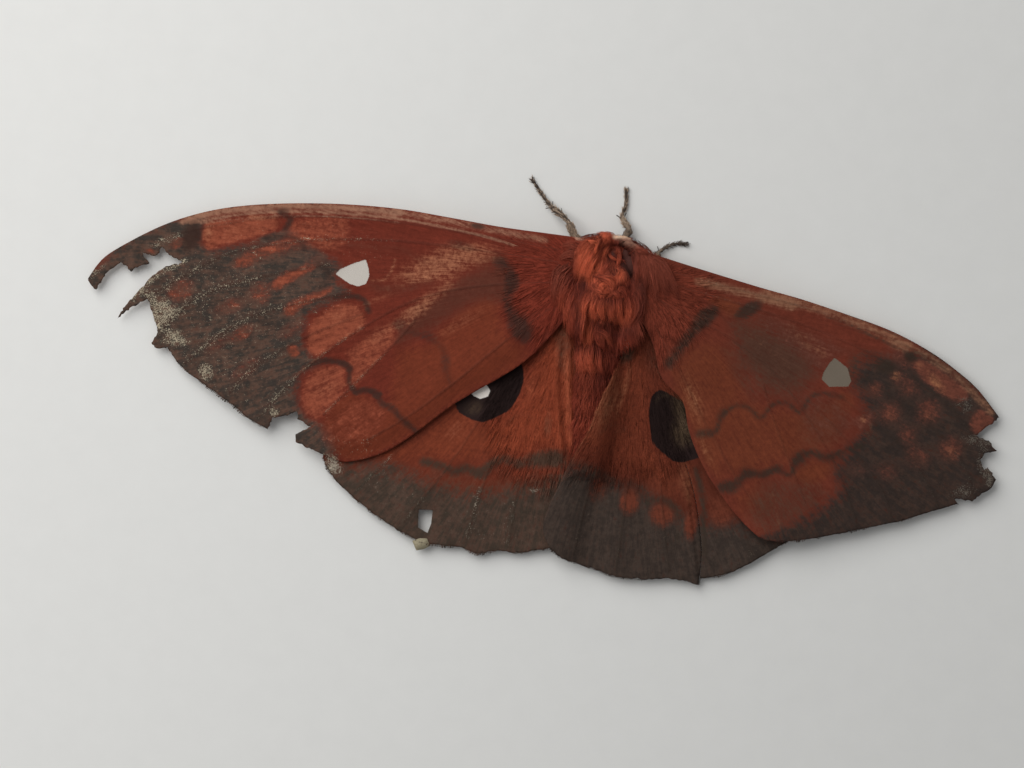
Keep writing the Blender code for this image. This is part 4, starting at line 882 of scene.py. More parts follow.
@dataclass(frozen=True)
class HornFinish:
    """Hard or scaly small parts: feelers, claws and eyes."""

    name: str
    dark: tuple
    light: tuple
    roughness: float
    coat: float

    def build(self) -> bpy.types.Material:
        """Make the material."""
        material, g = shader_graph(self.name)
        place = g.millimetres()
        grain = g.noise(place, 5.0, 4.0, 0.7)
        shade = g.mix(g.step(grain, 0.35, 0.65), self.dark, self.light)
        close_surface(g, {"Base Color": shade, "Roughness": g.step(grain, 0.0, 1.0) * 0.15 + self.roughness,
                          "Coat Weight": self.coat, "Specular IOR Level": 0.3,
                          "Normal": g.bump(grain, 0.25, 0.00003)})
        return material


FEELER = HornFinish("feeler_scales", (92, 56, 36), (134, 90, 60), 0.6, 0.0)
CLAW = HornFinish("claw_horn", (30, 22, 18), (66, 48, 36), 0.3, 0.3)
EYE = HornFinish("eye_facets", (22, 16, 14), (40, 28, 22), 0.18, 0.6)


@dataclass(frozen=True)
class FloorFinish:
    """Plain pale floor with a faint tooth, painted darker towards the right as shade away from the key
    light.
    """

    name: str = "pale_floor"
    shade: tuple = (226, 225, 221)

    def build(self) -> bpy.types.Material:
        """Make the material."""
        material, g = shader_graph(self.name)
        grain = g.noise(g.millimetres(), 0.25, 3.0, 0.6)
        across = g.node("ShaderNodeSeparateXYZ", {}, {"Vector": g.millimetres()}, "X")
        # Painted shade: the floor darkens by up to 13 % from X = -90 mm to X = 90 mm, away from the key
        # light on the left.
        paint = g.scaled(self.shade, (grain - 0.5) * 0.05 + 1.04 - g.step(across, -90.0, 90.0) * 0.13)
        close_surface(g, {"Base Color": paint, "Roughness": 0.85, "Specular IOR Level": 0.2})
        return material


@dataclass(frozen=True)
class MothFrame:
    """Where the moth's own millimetre frame lies in the row frame."""

    origin: np.ndarray

    @classmethod
    def measured(cls) -> "MothFrame":
        """Find the frame from the right eye, whose centre both frames know."""
        low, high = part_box("right_eye")
        centre = (np.array(low) + np.array(high)) / 2.0 / MM
        return cls(centre - eye_centre(1.0))

    def to_row(self, points: np.ndarray) -> np.ndarray:
        """Carry points in millimetres to the row frame in metres."""
        return (points + self.origin) * MM


def mesh_from(name: str, points: np.ndarray, triangles: np.ndarray) -> bpy.types.Mesh:
    """A mesh made from arrays of points and of triangles."""
    mesh = bpy.data.meshes.new(name)
    mesh.vertices.add(len(points))
    mesh.vertices.foreach_set("co", np.asarray(points, np.float32).ravel())
    mesh.loops.add(3 * len(triangles))
    mesh.loops.foreach_set("vertex_index", np.asarray(triangles, np.int32).ravel())
    mesh.polygons.add(len(triangles))
    mesh.polygons.foreach_set("loop_start", np.arange(0, 3 * len(triangles), 3, dtype=np.int32))
    mesh.update(calc_edges=True)
    mesh.validate()
    mesh.shade_smooth()
    return mesh


def arrays_of(mesh: bpy.types.Mesh) -> tuple[np.ndarray, np.ndarray]:
    """Vertex places and triangles of a mesh."""
    places = np.zeros(3 * len(mesh.vertices), np.float32)
    mesh.vertices.foreach_get("co", places)
    mesh.calc_loop_triangles()
    corners = np.zeros(3 * len(mesh.loop_triangles), np.int32)
    mesh.loop_triangles.foreach_get("vertices", corners)
    return places.reshape(-1, 3).astype(float), corners.reshape(-1, 3)


def mesh_of(bm: bmesh.types.BMesh, name: str) -> bpy.types.Mesh:
    """Turn closed solids in a bmesh into a mesh whose faces point outwards."""
    bmesh.ops.recalc_face_normals(bm, faces=bm.faces[:])
    mesh = bpy.data.meshes.new(name)
    bm.to_mesh(mesh)
    bm.free()
    return mesh


def link_new(name: str, data: bpy.types.ID) -> bpy.types.Object:
    """A new object in the scene that holds this mesh, camera or light."""
    made = bpy.data.objects.new(name, data)
    bpy.context.scene.collection.objects.link(made)
    return made


def plain_mesh(holder: bpy.types.Object) -> bpy.types.Mesh:
    """What an object's modifiers make, as a plain mesh; the object itself is removed."""
    mesh = bpy.data.meshes.new_from_object(holder.evaluated_get(bpy.context.evaluated_depsgraph_get()))
    bpy.data.objects.remove(holder)
    return mesh


def new_tree(name: str, inputs: dict[str, str], output: str) -> tuple[Graph, dict[str, Socket]]:
    """An empty geometry tree and its inputs, each named with its kind of socket."""
    group = bpy.data.node_groups.new(name, "GeometryNodeTree")
    for label, kind in inputs.items():
        group.interface.new_socket(label, in_out="INPUT", socket_type="NodeSocket" + kind)
    group.interface.new_socket(output, in_out="OUTPUT", socket_type="NodeSocketGeometry")
    graph = Graph(group)
    given = group.nodes.new("NodeGroupInput")
    return graph, {s.name: Socket(graph, s) for s in given.outputs if s.name}


def close_tree(graph: Graph, shape: Socket, finish: Socket, output: str) -> bpy.types.NodeTree:
    """End a geometry tree in real geometry that wears its finish."""
    real = graph.node("GeometryNodeRealizeInstances", {}, {0: shape})
    dressed = graph.node("GeometryNodeSetMaterial", {}, {"Geometry": real, "Material": finish})
    graph.node("NodeGroupOutput", {}, {output: dressed})
    return graph.tree


def grown_mesh(base: bpy.types.Mesh, tree: bpy.types.NodeTree, values: dict) -> bpy.types.Mesh:
    """Run a geometry tree on a mesh with its named inputs set, and keep the plain result."""
    holder = link_new(base.name, base)
    modifier = holder.modifiers.new(tree.name, "NODES")
    modifier.node_group = tree
    for item in tree.interface.items_tree:
        if item.in_out == "INPUT" and item.name in values:
            modifier[item.identifier] = values[item.name]
    return plain_mesh(holder)


def store(mesh: bpy.types.Mesh, name: str, values: np.ndarray) -> None:
    """Keep one number, or one vector, at every vertex."""
    vector = values.ndim == 2
    layer = mesh.attributes.new(name, "FLOAT_VECTOR" if vector else "FLOAT", "POINT")
    layer.data.foreach_set("vector" if vector else "value", np.asarray(values, np.float32).ravel())


def store_bake_map(mesh: bpy.types.Mesh, places: np.ndarray, triangles: np.ndarray) -> None:
    """Give a coat piece its UV map from one place in the map for every vertex."""
    layer = mesh.uv_layers.new(name=BAKE_MAP)
    layer.data.foreach_set("uv", np.asarray(places[triangles.ravel()], np.float32).ravel())


def add_piece(mesh: bpy.types.Mesh, material: bpy.types.Material, slot: str,
              *nodes: str) -> bpy.types.Object:
    """Link a finished mesh as a piece of the moth.

    Args:
        mesh: the piece's mesh, in the row frame.
        material: its finish.
        slot: name of a material slot; not used.
        nodes: the CAD nodes that it stands for.

    Returns:
        The new object, riding on the moth's only body.
    """
    mesh.materials.clear()
    mesh.materials.append(material)
    piece = link_new(mesh.name, mesh)
    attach(piece, "root")
    if nodes:
        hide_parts(*nodes)
    LOG.info("%s: %d faces", piece.name, len(mesh.polygons))
    return piece


def lie_of(points: Points, root: tuple[float, float]) -> np.ndarray:
    """Coordinates along and across the rays that spread from a wing's root."""
    d = points[:, :2] - root
    reach = np.hypot(d[:, 0], d[:, 1])
    bearing = np.arctan2(-d[:, 1], np.abs(d[:, 0]) + 0.01)
    return np.column_stack((reach, bearing * 28.0, np.zeros(len(points))))


ROW_SHARE = 0.866


@dataclass
class Stretch:
    """One run of a wing's outline and how torn it is, in millimetres."""

    line: Points
    tear: float


@dataclass
class Wing:
    """One wing: a thin pleated membrane with raised veins and worn scales."""

    name: str
    root: tuple[float, float]
    height: Height
    stretches: list[Stretch]
    veins: list[Sequence]
    pattern: Pattern
    finish: WingFinish
    slot: str
    holes: list[Points] = field(default_factory=list)
    folds: list[tuple[Points, float, float]] = field(default_factory=list)
    slit: Points | None = None
    thickness: float = 0.2
    edge_share: float = 0.35
    grid: float = 0.31
    edge_step: float = 0.32
    vein_half_width: float = 0.17
    vein_height: float = 0.13
    pleat: float = 0.16
    material: bpy.types.Material | None = None

    def outline(self) -> Points:
        """The wing's outline with small tears and nicks along its worn runs."""
        runs = []
        for k, stretch in enumerate(self.stretches):
            line = refined(stretch.line, self.edge_step)
            along = unit(np.gradient(line, axis=0))
            nick = value_noise(line * 3.0, 1.0, SEED + k) + 0.6 * value_noise(line, 1.3, SEED + k + 40)
            nick[0] = nick[-1] = 0.0
            aside = np.column_stack((along[:, 1], -along[:, 0]))
            runs.append((line + aside * (nick * stretch.tear)[:, None])[:-1])
        return np.vstack(runs)

    def sheet(self) -> tuple[Points, np.ndarray, Points, list[Points]]:
        """Flat triangles of the wing in plan, with the veins among their edges."""
        outline = self.outline()
        borders = [closed(outline)] + [closed(hole) for hole in self.holes]
        runs = [run for vein in self.veins for run in self.vein_runs(vein, outline, borders)]
        lines = []
        for run in runs:
            across = np.column_stack((-np.gradient(run[:, 1]), np.gradient(run[:, 0])))
            side = unit(across) * self.vein_half_width
            lines += [run, run + side, run - side]
        low, high = outline.min(axis=0), outline.max(axis=0)
        columns, rows = np.ceil((high - low) / (self.grid, self.grid * ROW_SHARE)).astype(int)
        i, j = np.meshgrid(np.arange(columns), np.arange(rows))
        xs, ys = (i + 0.5 * (j % 2)).ravel() * self.grid, j.ravel() * self.grid * ROW_SHARE
        spots = np.column_stack((xs, ys)) + low
        spots = spots[inside(spots, outline)]
        near = np.min([distances(spots, line) for line in borders + lines], axis=0)
        spots = spots[near > 0.4 * self.grid]
        points, edges = [], []
        for line, is_loop in [(b[:-1], True) for b in borders] + [(line, False) for line in lines]:
            first = sum(len(p) for p in points)
            edges += [(first + k, first + k + 1) for k in range(len(line) - 1)]
            if is_loop:
                edges.append((first + len(line) - 1, first))
            points.append(line)
        cloud = [Vector(p) for p in np.vstack((*points, spots))]
        flat, _, triangles, *_ = geometry.delaunay_2d_cdt(cloud, edges, [], 1, 1e-5, False)
        flat, triangles = np.array([tuple(p) for p in flat]), np.array(triangles)
        middle = flat[triangles].mean(axis=1)
        kept = inside(middle, outline)
        for hole in self.holes:
            kept &= ~inside(middle, hole)
        used, triangles = np.unique(triangles[kept], return_inverse=True)
        return flat[used], triangles.reshape(-1, 3), outline, runs

    def vein_runs(self, vein: Points, outline: Points, borders: list[Points]) -> list[Points]:
        """The stretch of a vein that keeps clear of the wing's edges."""
        line = smooth_line(vein, 0.55)
        clear = inside(line, outline) & (np.min([distances(line, b) for b in borders], axis=0) > 0.3)
        if not clear.any():
            return []
        first = int(np.argmax(clear))
        last = first + (int(np.argmin(clear[first:])) or len(clear) - first)
        return [line[first:last]] if last - first > 3 else []

    def surface(self, points: Points, runs: list[Points], outline: Points) -> tuple[np.ndarray, ...]:
        """Heights of the top and the underside, and the distance to the nearest vein."""
        vein = np.min([distances(points, run) for run in runs], axis=0)
        edge = distances(points, closed(outline))
        for hole in self.holes:
            edge = np.minimum(edge, distances(points, closed(hole)))
        reach = np.hypot(points[:, 0] - self.root[0], points[:, 1] - self.root[1])
        middle = self.height(points) + self.relief(points)
        middle -= self.pleat * (1.0 - np.exp(-(vein / 1.8) ** 2)) * ramp(reach / 12.0)
        half = self.thickness / 2.0 * (self.edge_share + (1.0 - self.edge_share) * ramp(edge / 0.8))
        ridge = np.maximum(0.0, 1.0 - vein / self.vein_half_width) * ramp(edge / 0.6)
        ridge *= self.vein_height * (1.0 - 0.5 * ramp(reach / 60.0))
        return middle + half + ridge, middle - half - 0.6 * ridge, vein

    def relief(self, points: Points) -> np.ndarray:
        """Broad waves of the membrane, its folds and the step along a slit."""
        reach = np.hypot(points[:, 0] - self.root[0], points[:, 1] - self.root[1])
        wave = 0.22 * value_noise(points, 11.0, SEED + 5) * ramp((reach - 6.0) / 14.0)
        for route, height, width in self.folds:
            wave += height * np.exp(-(distances(points, smooth_line(route, 1.0)) / width) ** 2)
        if self.slit is not None:
            away = distances(points, self.slit)
            apex, foot = self.slit[-1], self.slit[0]
            hand = np.sign((foot[0] - apex[0]) * (points[:, 1] - apex[1])
                           - (foot[1] - apex[1]) * (points[:, 0] - apex[0]))
            fade = ramp(np.hypot(*(points - apex).T) / 6.0) * ramp((apex[1] + 1.0 - points[:, 1]) / 3.0)
            wave += -hand * 0.24 * np.exp(-away / 2.6) * fade
        return wave

    def build(self, frame: MothFrame) -> bpy.types.Object:
        """Build and dress the membrane."""
        points, triangles, outline, runs = self.sheet()
        area = np.cross(points[triangles[:, 1]] - points[triangles[:, 0]],
                        points[triangles[:, 2]] - points[triangles[:, 0]])
        triangles = np.where((area < 0.0)[:, None], triangles[:, ::-1], triangles)
        top, bottom, vein = self.surface(points, runs, outline)
        count = len(points)
        pairs = np.vstack((triangles[:, [0, 1]], triangles[:, [1, 2]], triangles[:, [2, 0]]))
        keys = pairs[:, 0].astype(np.int64) * count + pairs[:, 1]
        rim = pairs[~np.isin(keys, pairs[:, 1].astype(np.int64) * count + pairs[:, 0])]
        a, b = rim[:, 0], rim[:, 1]
        wall = np.vstack((np.column_stack((a + count, b + count, b)), np.column_stack((a + count, b, a))))
        faces = np.vstack((triangles, triangles[:, ::-1] + count, wall))
        solid = np.vstack((np.column_stack((points, top)), np.column_stack((points, bottom))))
        mesh = mesh_from(self.name + "_membrane", frame.to_row(solid), faces)
        store(mesh, "vein", np.tile(vein, 2))
        store(mesh, "under", np.repeat((0.0, 1.0), count))
        self.paint(mesh, solid[:, :2])
        self.material = self.finish.build()
        return add_piece(mesh, self.material, self.slot, self.name)

    def paint(self, mesh: bpy.types.Mesh, points: Points) -> None:
        """Store the wing's pattern at the plan places of a mesh's vertices."""
        pixels = to_photo(points)
        for layer in Layer:
            marks = self.pattern.get(layer, [])
            if layer in (Layer.BLACK, Layer.GLASS):
                nowhere = np.full(len(pixels), -9.0)
                depth = max((mark.depth(pixels) for mark in marks), key=np.max, default=nowhere)
                store(mesh, layer.value, depth * PHOTO_SCALE)
            else:
                store(mesh, layer.value, covered(marks, pixels))
        store(mesh, "lie", lie_of(points, self.root))

    def dress(self, mesh: bpy.types.Mesh, plan: Points, silk: float) -> bpy.types.Object:
        """Give hair that grows on the wing the pattern and finish of the membrane."""
        self.paint(mesh, plan)
        for name, value in (("vein", 5.0), ("under", 0.0), ("silk", silk)):
            store(mesh, name, np.full(len(plan), value))
        return add_piece(mesh, self.material, self.slot)

    def top(self, points: Points) -> np.ndarray:
        """Height of the wing's upper side, without the fine relief of its veins."""
        return self.height(points) + self.relief(points) + self.thickness / 2.0


def covered(marks: list, pixels: Points) -> np.ndarray:
    """Cover of several marks taken together."""
    left = np.ones(len(pixels))
    for mark in marks:
        left *= 1.0 - mark.cover(pixels)
    return 1.0 - left


LEFT_FOREWING_COSTA = [(-5, 6.1), (-11.1, 5.9), (-18, 5.7), (-25.7, 5.8), (-33.4, 5.8), (-41.8, 5.1),
    (-50.1, 3.8), (-57.5, 2.1), (-63.3, 0), (-68.9, -3), (-74.4, -7.1), (-77, -9.7), (-78.5, -12.8)]
LEFT_FOREWING_TORN_TIP = [(-78.5, -12.8), (-78, -13.6), (-77, -14.2), (-76.3, -12.8), (-75.9, -11.4),
    (-74, -9.3), (-72.2, -10.7), (-71.7, -9.9), (-69.6, -8.9), (-71.1, -7.4), (-69.6, -7.8),
    (-68.6, -7.6), (-68.2, -6), (-66.6, -7.3), (-64.8, -7.9), (-67.1, -8.9), (-69.1, -10.9),
    (-70.5, -13.2), (-71.95, -15.5), (-73.1, -18.1), (-71.45, -16.15), (-69, -14.2), (-67.8, -16.6),
    (-66.4, -19), (-67.3, -20.8), (-66.4, -21.5), (-64.7, -21)]
LEFT_FOREWING_MARGIN = [(-64.7, -21), (-62.2, -23.5), (-58, -25.7), (-53.8, -27.7), (-50.4, -29.6),
    (-47.5, -30.6)]
LEFT_FOREWING_TORNUS = [(-47.5, -30.6), (-47, -28.7), (-44.9, -28.1), (-43.5, -27.1), (-43.3, -28.3),
    (-41, -29.1), (-43.2, -30.6), (-42.9, -31.8), (-38.5, -32.9)]
LEFT_FOREWING_INNER = [(-38.5, -32.9), (-35, -33.5), (-30, -31.4), (-25.9, -28), (-19.9, -21.7),
    (-11.5, -14.5), (-7.4, -9), (-5, -4.6)]
FOREWING_VEINS = [
    [(-8.5, 3.8), (-20.6, 3.9), (-32.8, 3.8), (-43.4, 2.9), (-52.2, 1.3), (-60, -1.2), (-66, -3.6)],
    [(-8.2, 1.9), (-20.6, 1.7), (-32.8, 1), (-43.4, -0.6), (-52.2, -3), (-58, -5.4), (-63, -8.9),
        (-69, -14)], [(-42.5, -4.3), (-51.2, -7.5), (-59.8, -11.6), (-64.2, -15.6), (-66.3, -19.4)],
    [(-39.5, -8.2), (-46, -10.9), (-52.5, -14), (-58.1, -18.7), (-61.8, -23.1)],
    [(-36.2, -10.8), (-44.3, -15.9), (-51, -21.5), (-54.3, -26.4)],
    [(-7.6, -1), (-19.3, -3.6), (-28, -7), (-35.2, -12.3), (-42.1, -19), (-46.6, -25),
        (-49.2, -29.2)], [(-28.2, -10.3), (-30.6, -14.3), (-35, -20.6), (-39.5, -26.9)],
    [(-8.4, -5.2), (-14.9, -12), (-20.8, -18.8), (-27, -25.2), (-32.3, -29.6)]]
RIGHT_FOREWING_COSTA = [(5, 5.6), (13.1, 4.6), (22.5, 3.5), (28.8, 2.9), (35.1, 2), (43.1, 0.6),
    (49.7, -1.5), (54.7, -3.9), (58.2, -6.1), (61.9, -9.5)]
RIGHT_FOREWING_TORN_TIP = [(61.9, -9.5), (60.9, -10.7), (58.8, -12.9), (60.9, -13.3), (62.3, -14.6),
    (60.6, -15.4), (60.3, -16.4), (61, -17.9), (61.5, -17.2), (63.2, -18.9), (62.3, -20.5), (60, -22.8),
    (57.3, -22.9), (58, -23.6)]
RIGHT_FOREWING_MARGIN = [(58, -23.6), (54, -25.5), (49.7, -27.7), (43.6, -30.1), (36.6, -32.7),
    (31.5, -34), (28.8, -33.8)]
RIGHT_FOREWING_INNER = [(28.8, -33.8), (25.7, -31.7), (22.4, -28.8), (18.5, -24.5), (15.5, -19.6),
    (13.9, -15.6), (10.1, -12.6), (7.9, -7.9), (5, -4)]
RIGHT_FOREWING_TURN = math.radians(-4.5)
RIGHT_FOREWING_STRETCH = 0.93
LEFT_HINDWING_COSTA = [(-5, -2.2), (-12.9, -5.8), (-22.6, -11.7), (-30.6, -18.8), (-36.2, -26.5),
    (-38.4, -30.7), (-38.5, -33.5)]
LEFT_HINDWING_MARGIN = [(-38.5, -33.5), (-36.9, -35.8), (-33, -38.5), (-28.3, -41.1), (-22.6, -43.3),
    (-19, -43.6), (-15.5, -43.2), (-13.1, -43.8), (-9.4, -42.7), (-6.7, -42.6), (-2, -41)]
LEFT_HINDWING_UNDER_RIGHT = [(-2, -41), (-1.9, -38), (-1.9, -33), (-2.3, -29.4)]
LEFT_HINDWING_HOLE = [(-22.4, -41.4), (-22.7, -38.7), (-20.6, -38.4), (-20.5, -40.5), (-20.8, -42)]
HINDWING_VEINS = [[(-8, -4.8), (-14, -9), (-20, -14), (-30, -24), (-36, -33.4)],
    [(-7.6, -6.6), (-12.4, -11.6), (-17, -17.4), (-26, -28.4), (-32.6, -37.4)],
    [(-14.2, -18.6), (-18.4, -29.2), (-24.6, -40.8)],
    [(-6.8, -8.4), (-9.6, -16), (-12.2, -24.8), (-14.2, -36), (-14.9, -42.2)],
    [(-6.9, -16), (-8, -23), (-8.5, -34.3), (-8.4, -41.5)]]
RIGHT_HINDWING_INNER = [(5, -5.4), (4.4, -8.4), (3.2, -11.8), (1.5, -17.5), (0.5, -22.3), (-1, -26.1),
    (-2.3, -31), (-3.4, -35), (-3.6, -38.4), (-2, -41)]
RIGHT_HINDWING_MARGIN = [(-2, -41), (0, -42.2), (3.9, -42.8), (8, -43.5), (12.6, -43.3), (16.9, -42.4),
    (21.3, -42.6)]
RIGHT_HINDWING_SLIT = [(21.3, -42.6), (20.8, -37.6), (19.3, -32.2), (17.6, -27.8), (15.7, -24.2)]
SLIT_GAP = 0.06
RIGHT_HINDWING_OUTER_MARGIN = [(21.4, -41.6), (23.4, -41), (26.3, -39.6), (29.7, -36.9), (33.8, -33.4)]
RIGHT_HINDWING_COSTA = [(33.8, -33.4), (35.4, -30.3), (33.6, -24.2), (29.3, -17.2), (22.5, -10.2),
    (14.4, -5.2), (5, -1.6)]
RIGHT_HINDWING_VEINS = [[(8.6, -4.6), (15, -8.6), (22, -13.8), (29, -23), (33.6, -31.6)],
    [(8.4, -7), (13, -12.6), (17.6, -18.6), (24, -29), (28.4, -36.8)],
    [(7.4, -8.6), (10, -16), (12, -24.8), (14.2, -34), (16.4, -41.3)],
    [(6.4, -12), (7.2, -20), (7.8, -28), (8.4, -42.2)], [(4, -16), (3.6, -24), (2.2, -32), (1.6, -41.2)]]
LEFT_FOLDS = [(from_photo([(560, 342), (556, 380), (558, 420), (562, 452)]), 0.45, 0.5),
              (from_photo([(569, 340), (569, 385), (571, 420), (573, 448)]), 0.55, 0.55)]
RIGHT_FOLDS = [(from_photo([(628, 366), (625, 388), (620, 412)]), 0.4, 0.6)]


def curved(points: Sequence, tear: float = 0.0) -> Stretch:
    """A run of an outline along a smooth curve through its points."""
    return Stretch(smooth_line(points, 1.0), tear)


def angular(points: Sequence, tear: float = 0.0) -> Stretch:
    """A run of an outline with a corner at each of its points."""
    return Stretch(np.array(points, float), tear)


def turned(vein: Sequence[tuple[float, float]]) -> Points:
    """A left vein mirrored to the right, turned about the root and stretched."""
    root = np.array((4.0, 3.0))
    arm = (np.array(vein) * (-1.0, 1.0) - root) * RIGHT_FOREWING_STRETCH
    c, s = math.cos(RIGHT_FOREWING_TURN), math.sin(RIGHT_FOREWING_TURN)
    return root + np.column_stack((arm[:, 0] * c - arm[:, 1] * s, arm[:, 0] * s + arm[:, 1] * c))


def make_wings() -> dict[str, Wing]:
    """The four wings by the name of the node that each stands for."""
    slit = smooth_line(RIGHT_HINDWING_SLIT, 1.0)
    beside = np.linspace(-29.4, -8.0, 12)
    centre, half_width, _ = abdomen_slice(beside)
    wings = [
        Wing("left_forewing", (-5.0, 1.0), forewing_height, [
            curved(LEFT_FOREWING_COSTA), angular(LEFT_FOREWING_TORN_TIP, 0.16),
            curved(LEFT_FOREWING_MARGIN, 0.1), angular(LEFT_FOREWING_TORNUS, 0.14),
            curved(LEFT_FOREWING_INNER, 0.02),
            angular([(-5.0, -4.6), (-3.7, -2.4), (-3.2, 1.0), (-3.2, 4.2), (-3.9, 5.7), (-5.0, 6.1)])],
            FOREWING_VEINS, LEFT_FOREWING_PATTERN, FOREWING_LEFT, "wing_scales",
            folds=[(np.array(LEFT_FOREWING_INNER[1:-1]), -0.85, 2.6)]),
        Wing("right_forewing", (5.0, 1.0), forewing_height, [
            curved(RIGHT_FOREWING_COSTA),
            angular(RIGHT_FOREWING_TORN_TIP, 0.16),
            curved(RIGHT_FOREWING_MARGIN, 0.06),
            curved(RIGHT_FOREWING_INNER, 0.02),
            angular([(5.0, -4.0), (3.7, -2.2), (3.2, 1.0), (3.2, 3.8), (3.9, 5.2), (5.0, 5.6)])],
            [turned(v) for v in FOREWING_VEINS], RIGHT_FOREWING_PATTERN, FOREWING_RIGHT, "wing_scales",
            folds=[(np.array(RIGHT_FOREWING_INNER[1:-1]), -0.85, 2.6)]),
        Wing("left_hindwing", (-4.5, -3.0), hindwing_height, [
            curved(LEFT_HINDWING_COSTA),
            curved(LEFT_HINDWING_MARGIN, 0.12),
            angular(LEFT_HINDWING_UNDER_RIGHT),
            Stretch(np.column_stack((centre - 0.86 * half_width, beside)), 0.0),
            angular([(-3.9, -8.0), (-4.2, -5.0), (-5.0, -2.2)])],
            HINDWING_VEINS, LEFT_HINDWING_PATTERN, HINDWING_LEFT, "hindwing_scales",
            holes=[np.array(LEFT_HINDWING_HOLE)], folds=LEFT_FOLDS),
        Wing("right_hindwing", (4.5, -3.0), right_hindwing_height, [
            curved(RIGHT_HINDWING_INNER, 0.02),
            curved(RIGHT_HINDWING_MARGIN, 0.16), Stretch(slit, 0.0),
            Stretch(np.vstack((slit[-1:], slit[::-1] + (SLIT_GAP, 0.0))), 0.0),
            Stretch(np.vstack((slit[:1] + (SLIT_GAP, 0.0), smooth_line(RIGHT_HINDWING_OUTER_MARGIN, 1.0))),
                    0.08),
            curved(RIGHT_HINDWING_COSTA),
            angular([(5.0, -1.6), (4.2, -3.4), (5.0, -5.4)])],
            RIGHT_HINDWING_VEINS, RIGHT_HINDWING_PATTERN, HINDWING_RIGHT,
            "hindwing_scales", folds=RIGHT_FOLDS, slit=slit)]
    return {wing.name: wing for wing in wings}


LEG_ROUTES = {
    "left_foreleg": [
        (-1.4, 3, 3.2), (-6.2, 6.1, 2.6), (-8.1, 8.5, 2.7), (-11, 10.4, 0.9), (-12.8, 12.2, 0.36),
        (-14.5, 13.9, 0.34)],
    "right_foreleg": [
        (0.8, 3.4, 3), (1.15, 7.6, 1.5), (1.4, 8.9, 1.6), (0.1, 10.5, 0.8), (0.3, 12.7, 0.36),
        (0, 14.9, 0.34)],
    "left_midleg": [
        (-2.2, -0.6, 2.8), (-5.4, 1.6, 2.6), (-7.6, 2.4, 2.9), (-10.6, 1.2, 0.9), (-12.4, 0.3, 0.36),
        (-14.5, -0.5, 0.34)],
    "right_midleg": [
        (2.2, -0.2, 2.8), (4.6, 2.6, 2.5), (6.2, 5, 2.6), (6.6, 6.4, 0.9), (8.5, 7.9, 0.36),
        (10.4, 8.3, 0.34)],
    "left_hindleg": [
        (-2, -4.6, 2.7), (-5, -6.4, 2.5), (-6.6, -8, 2.7), (-9.3, -13, 0.9), (-10.3, -16, 0.36),
        (-10.9, -18.9, 0.34)],
    "right_hindleg": [
        (2, -4.6, 2.7), (5, -6.4, 2.5), (6.6, -8, 2.7), (9, -13, 0.9), (10, -16, 0.36),
        (10.5, -18.9, 0.34)]}
LEG_THICKNESS = {"right_midleg": 0.92}
LEG_RADIUS_STOPS = ((0, 0.5), (0.25, 0.52), (1, 0.56), (1.7, 0.6), (1.97, 0.34), (2.08, 0.34),
    (2.45, 0.5), (2.85, 0.4), (3, 0.24), (3.1, 0.28), (5, 0.26))


@dataclass
class Leg:
    """One leg as a line of centres with a radius at each."""

    name: str
    route: list[tuple[float, float, float]]
    thickness: float = 1.0
    tarsus_beads: int = 5

    def line(self) -> tuple[np.ndarray, np.ndarray, np.ndarray]:
        """Centres, radii and share of the way from root to toe."""
        centres = smooth_line(self.route, 0.14)
        share = self.stations(len(self.route), centres)
        radii = np.interp(share, *zip(*LEG_RADIUS_STOPS)) * self.thickness
        tarsus = np.clip(share - 3.0, 0.0, 2.0) / 2.0
        beads = 1.0 + 0.16 * np.cos(2.0 * math.pi * self.tarsus_beads * tarsus + math.pi) * (tarsus > 0.0)
        radii = radii * beads
        centres[:, 2] = np.maximum(centres[:, 2], radii + 0.02)
        return centres, radii, share

    def stations(self, count: int, centres: np.ndarray) -> np.ndarray:
        """Which point of the route each centre follows, as a running number."""
        marks = [int(np.argmin(np.linalg.norm(centres - p, axis=1))) for p in np.array(self.route)]
        return np.interp(np.arange(len(centres)), marks, np.arange(count))


def make_legs() -> list[Leg]:
    """The six legs, in the order of their routes."""
    return [Leg(name, route, LEG_THICKNESS.get(name, 1.0)) for name, route in LEG_ROUTES.items()]


def ring_solid(bm: bmesh.types.BMesh, centres: np.ndarray, radii: np.ndarray, squash: float = 1.0) -> None:
    """Add a closed tube with round rings to a bmesh."""
    sides = 14
    along = unit(np.gradient(centres, axis=0))
    across = unit(np.cross(along, (0.0, 0.0, 1.0)) + (1e-6, 0.0, 0.0))
    up = np.cross(across, along)
    rings = []
    for centre, radius, a, u in zip(centres, radii, across, up):
        turns = [2.0 * math.pi * k / sides for k in range(sides)]
        rings.append([bm.verts.new(centre + radius * (math.cos(t) * a + squash * math.sin(t) * u))
                      for t in turns])
    for start, end in zip(rings, rings[1:]):
        for k in range(sides):
            bm.faces.new((start[k], start[(k + 1) % sides], end[(k + 1) % sides], end[k]))
    bm.faces.new(rings[0][::-1])
    bm.faces.new(rings[-1])


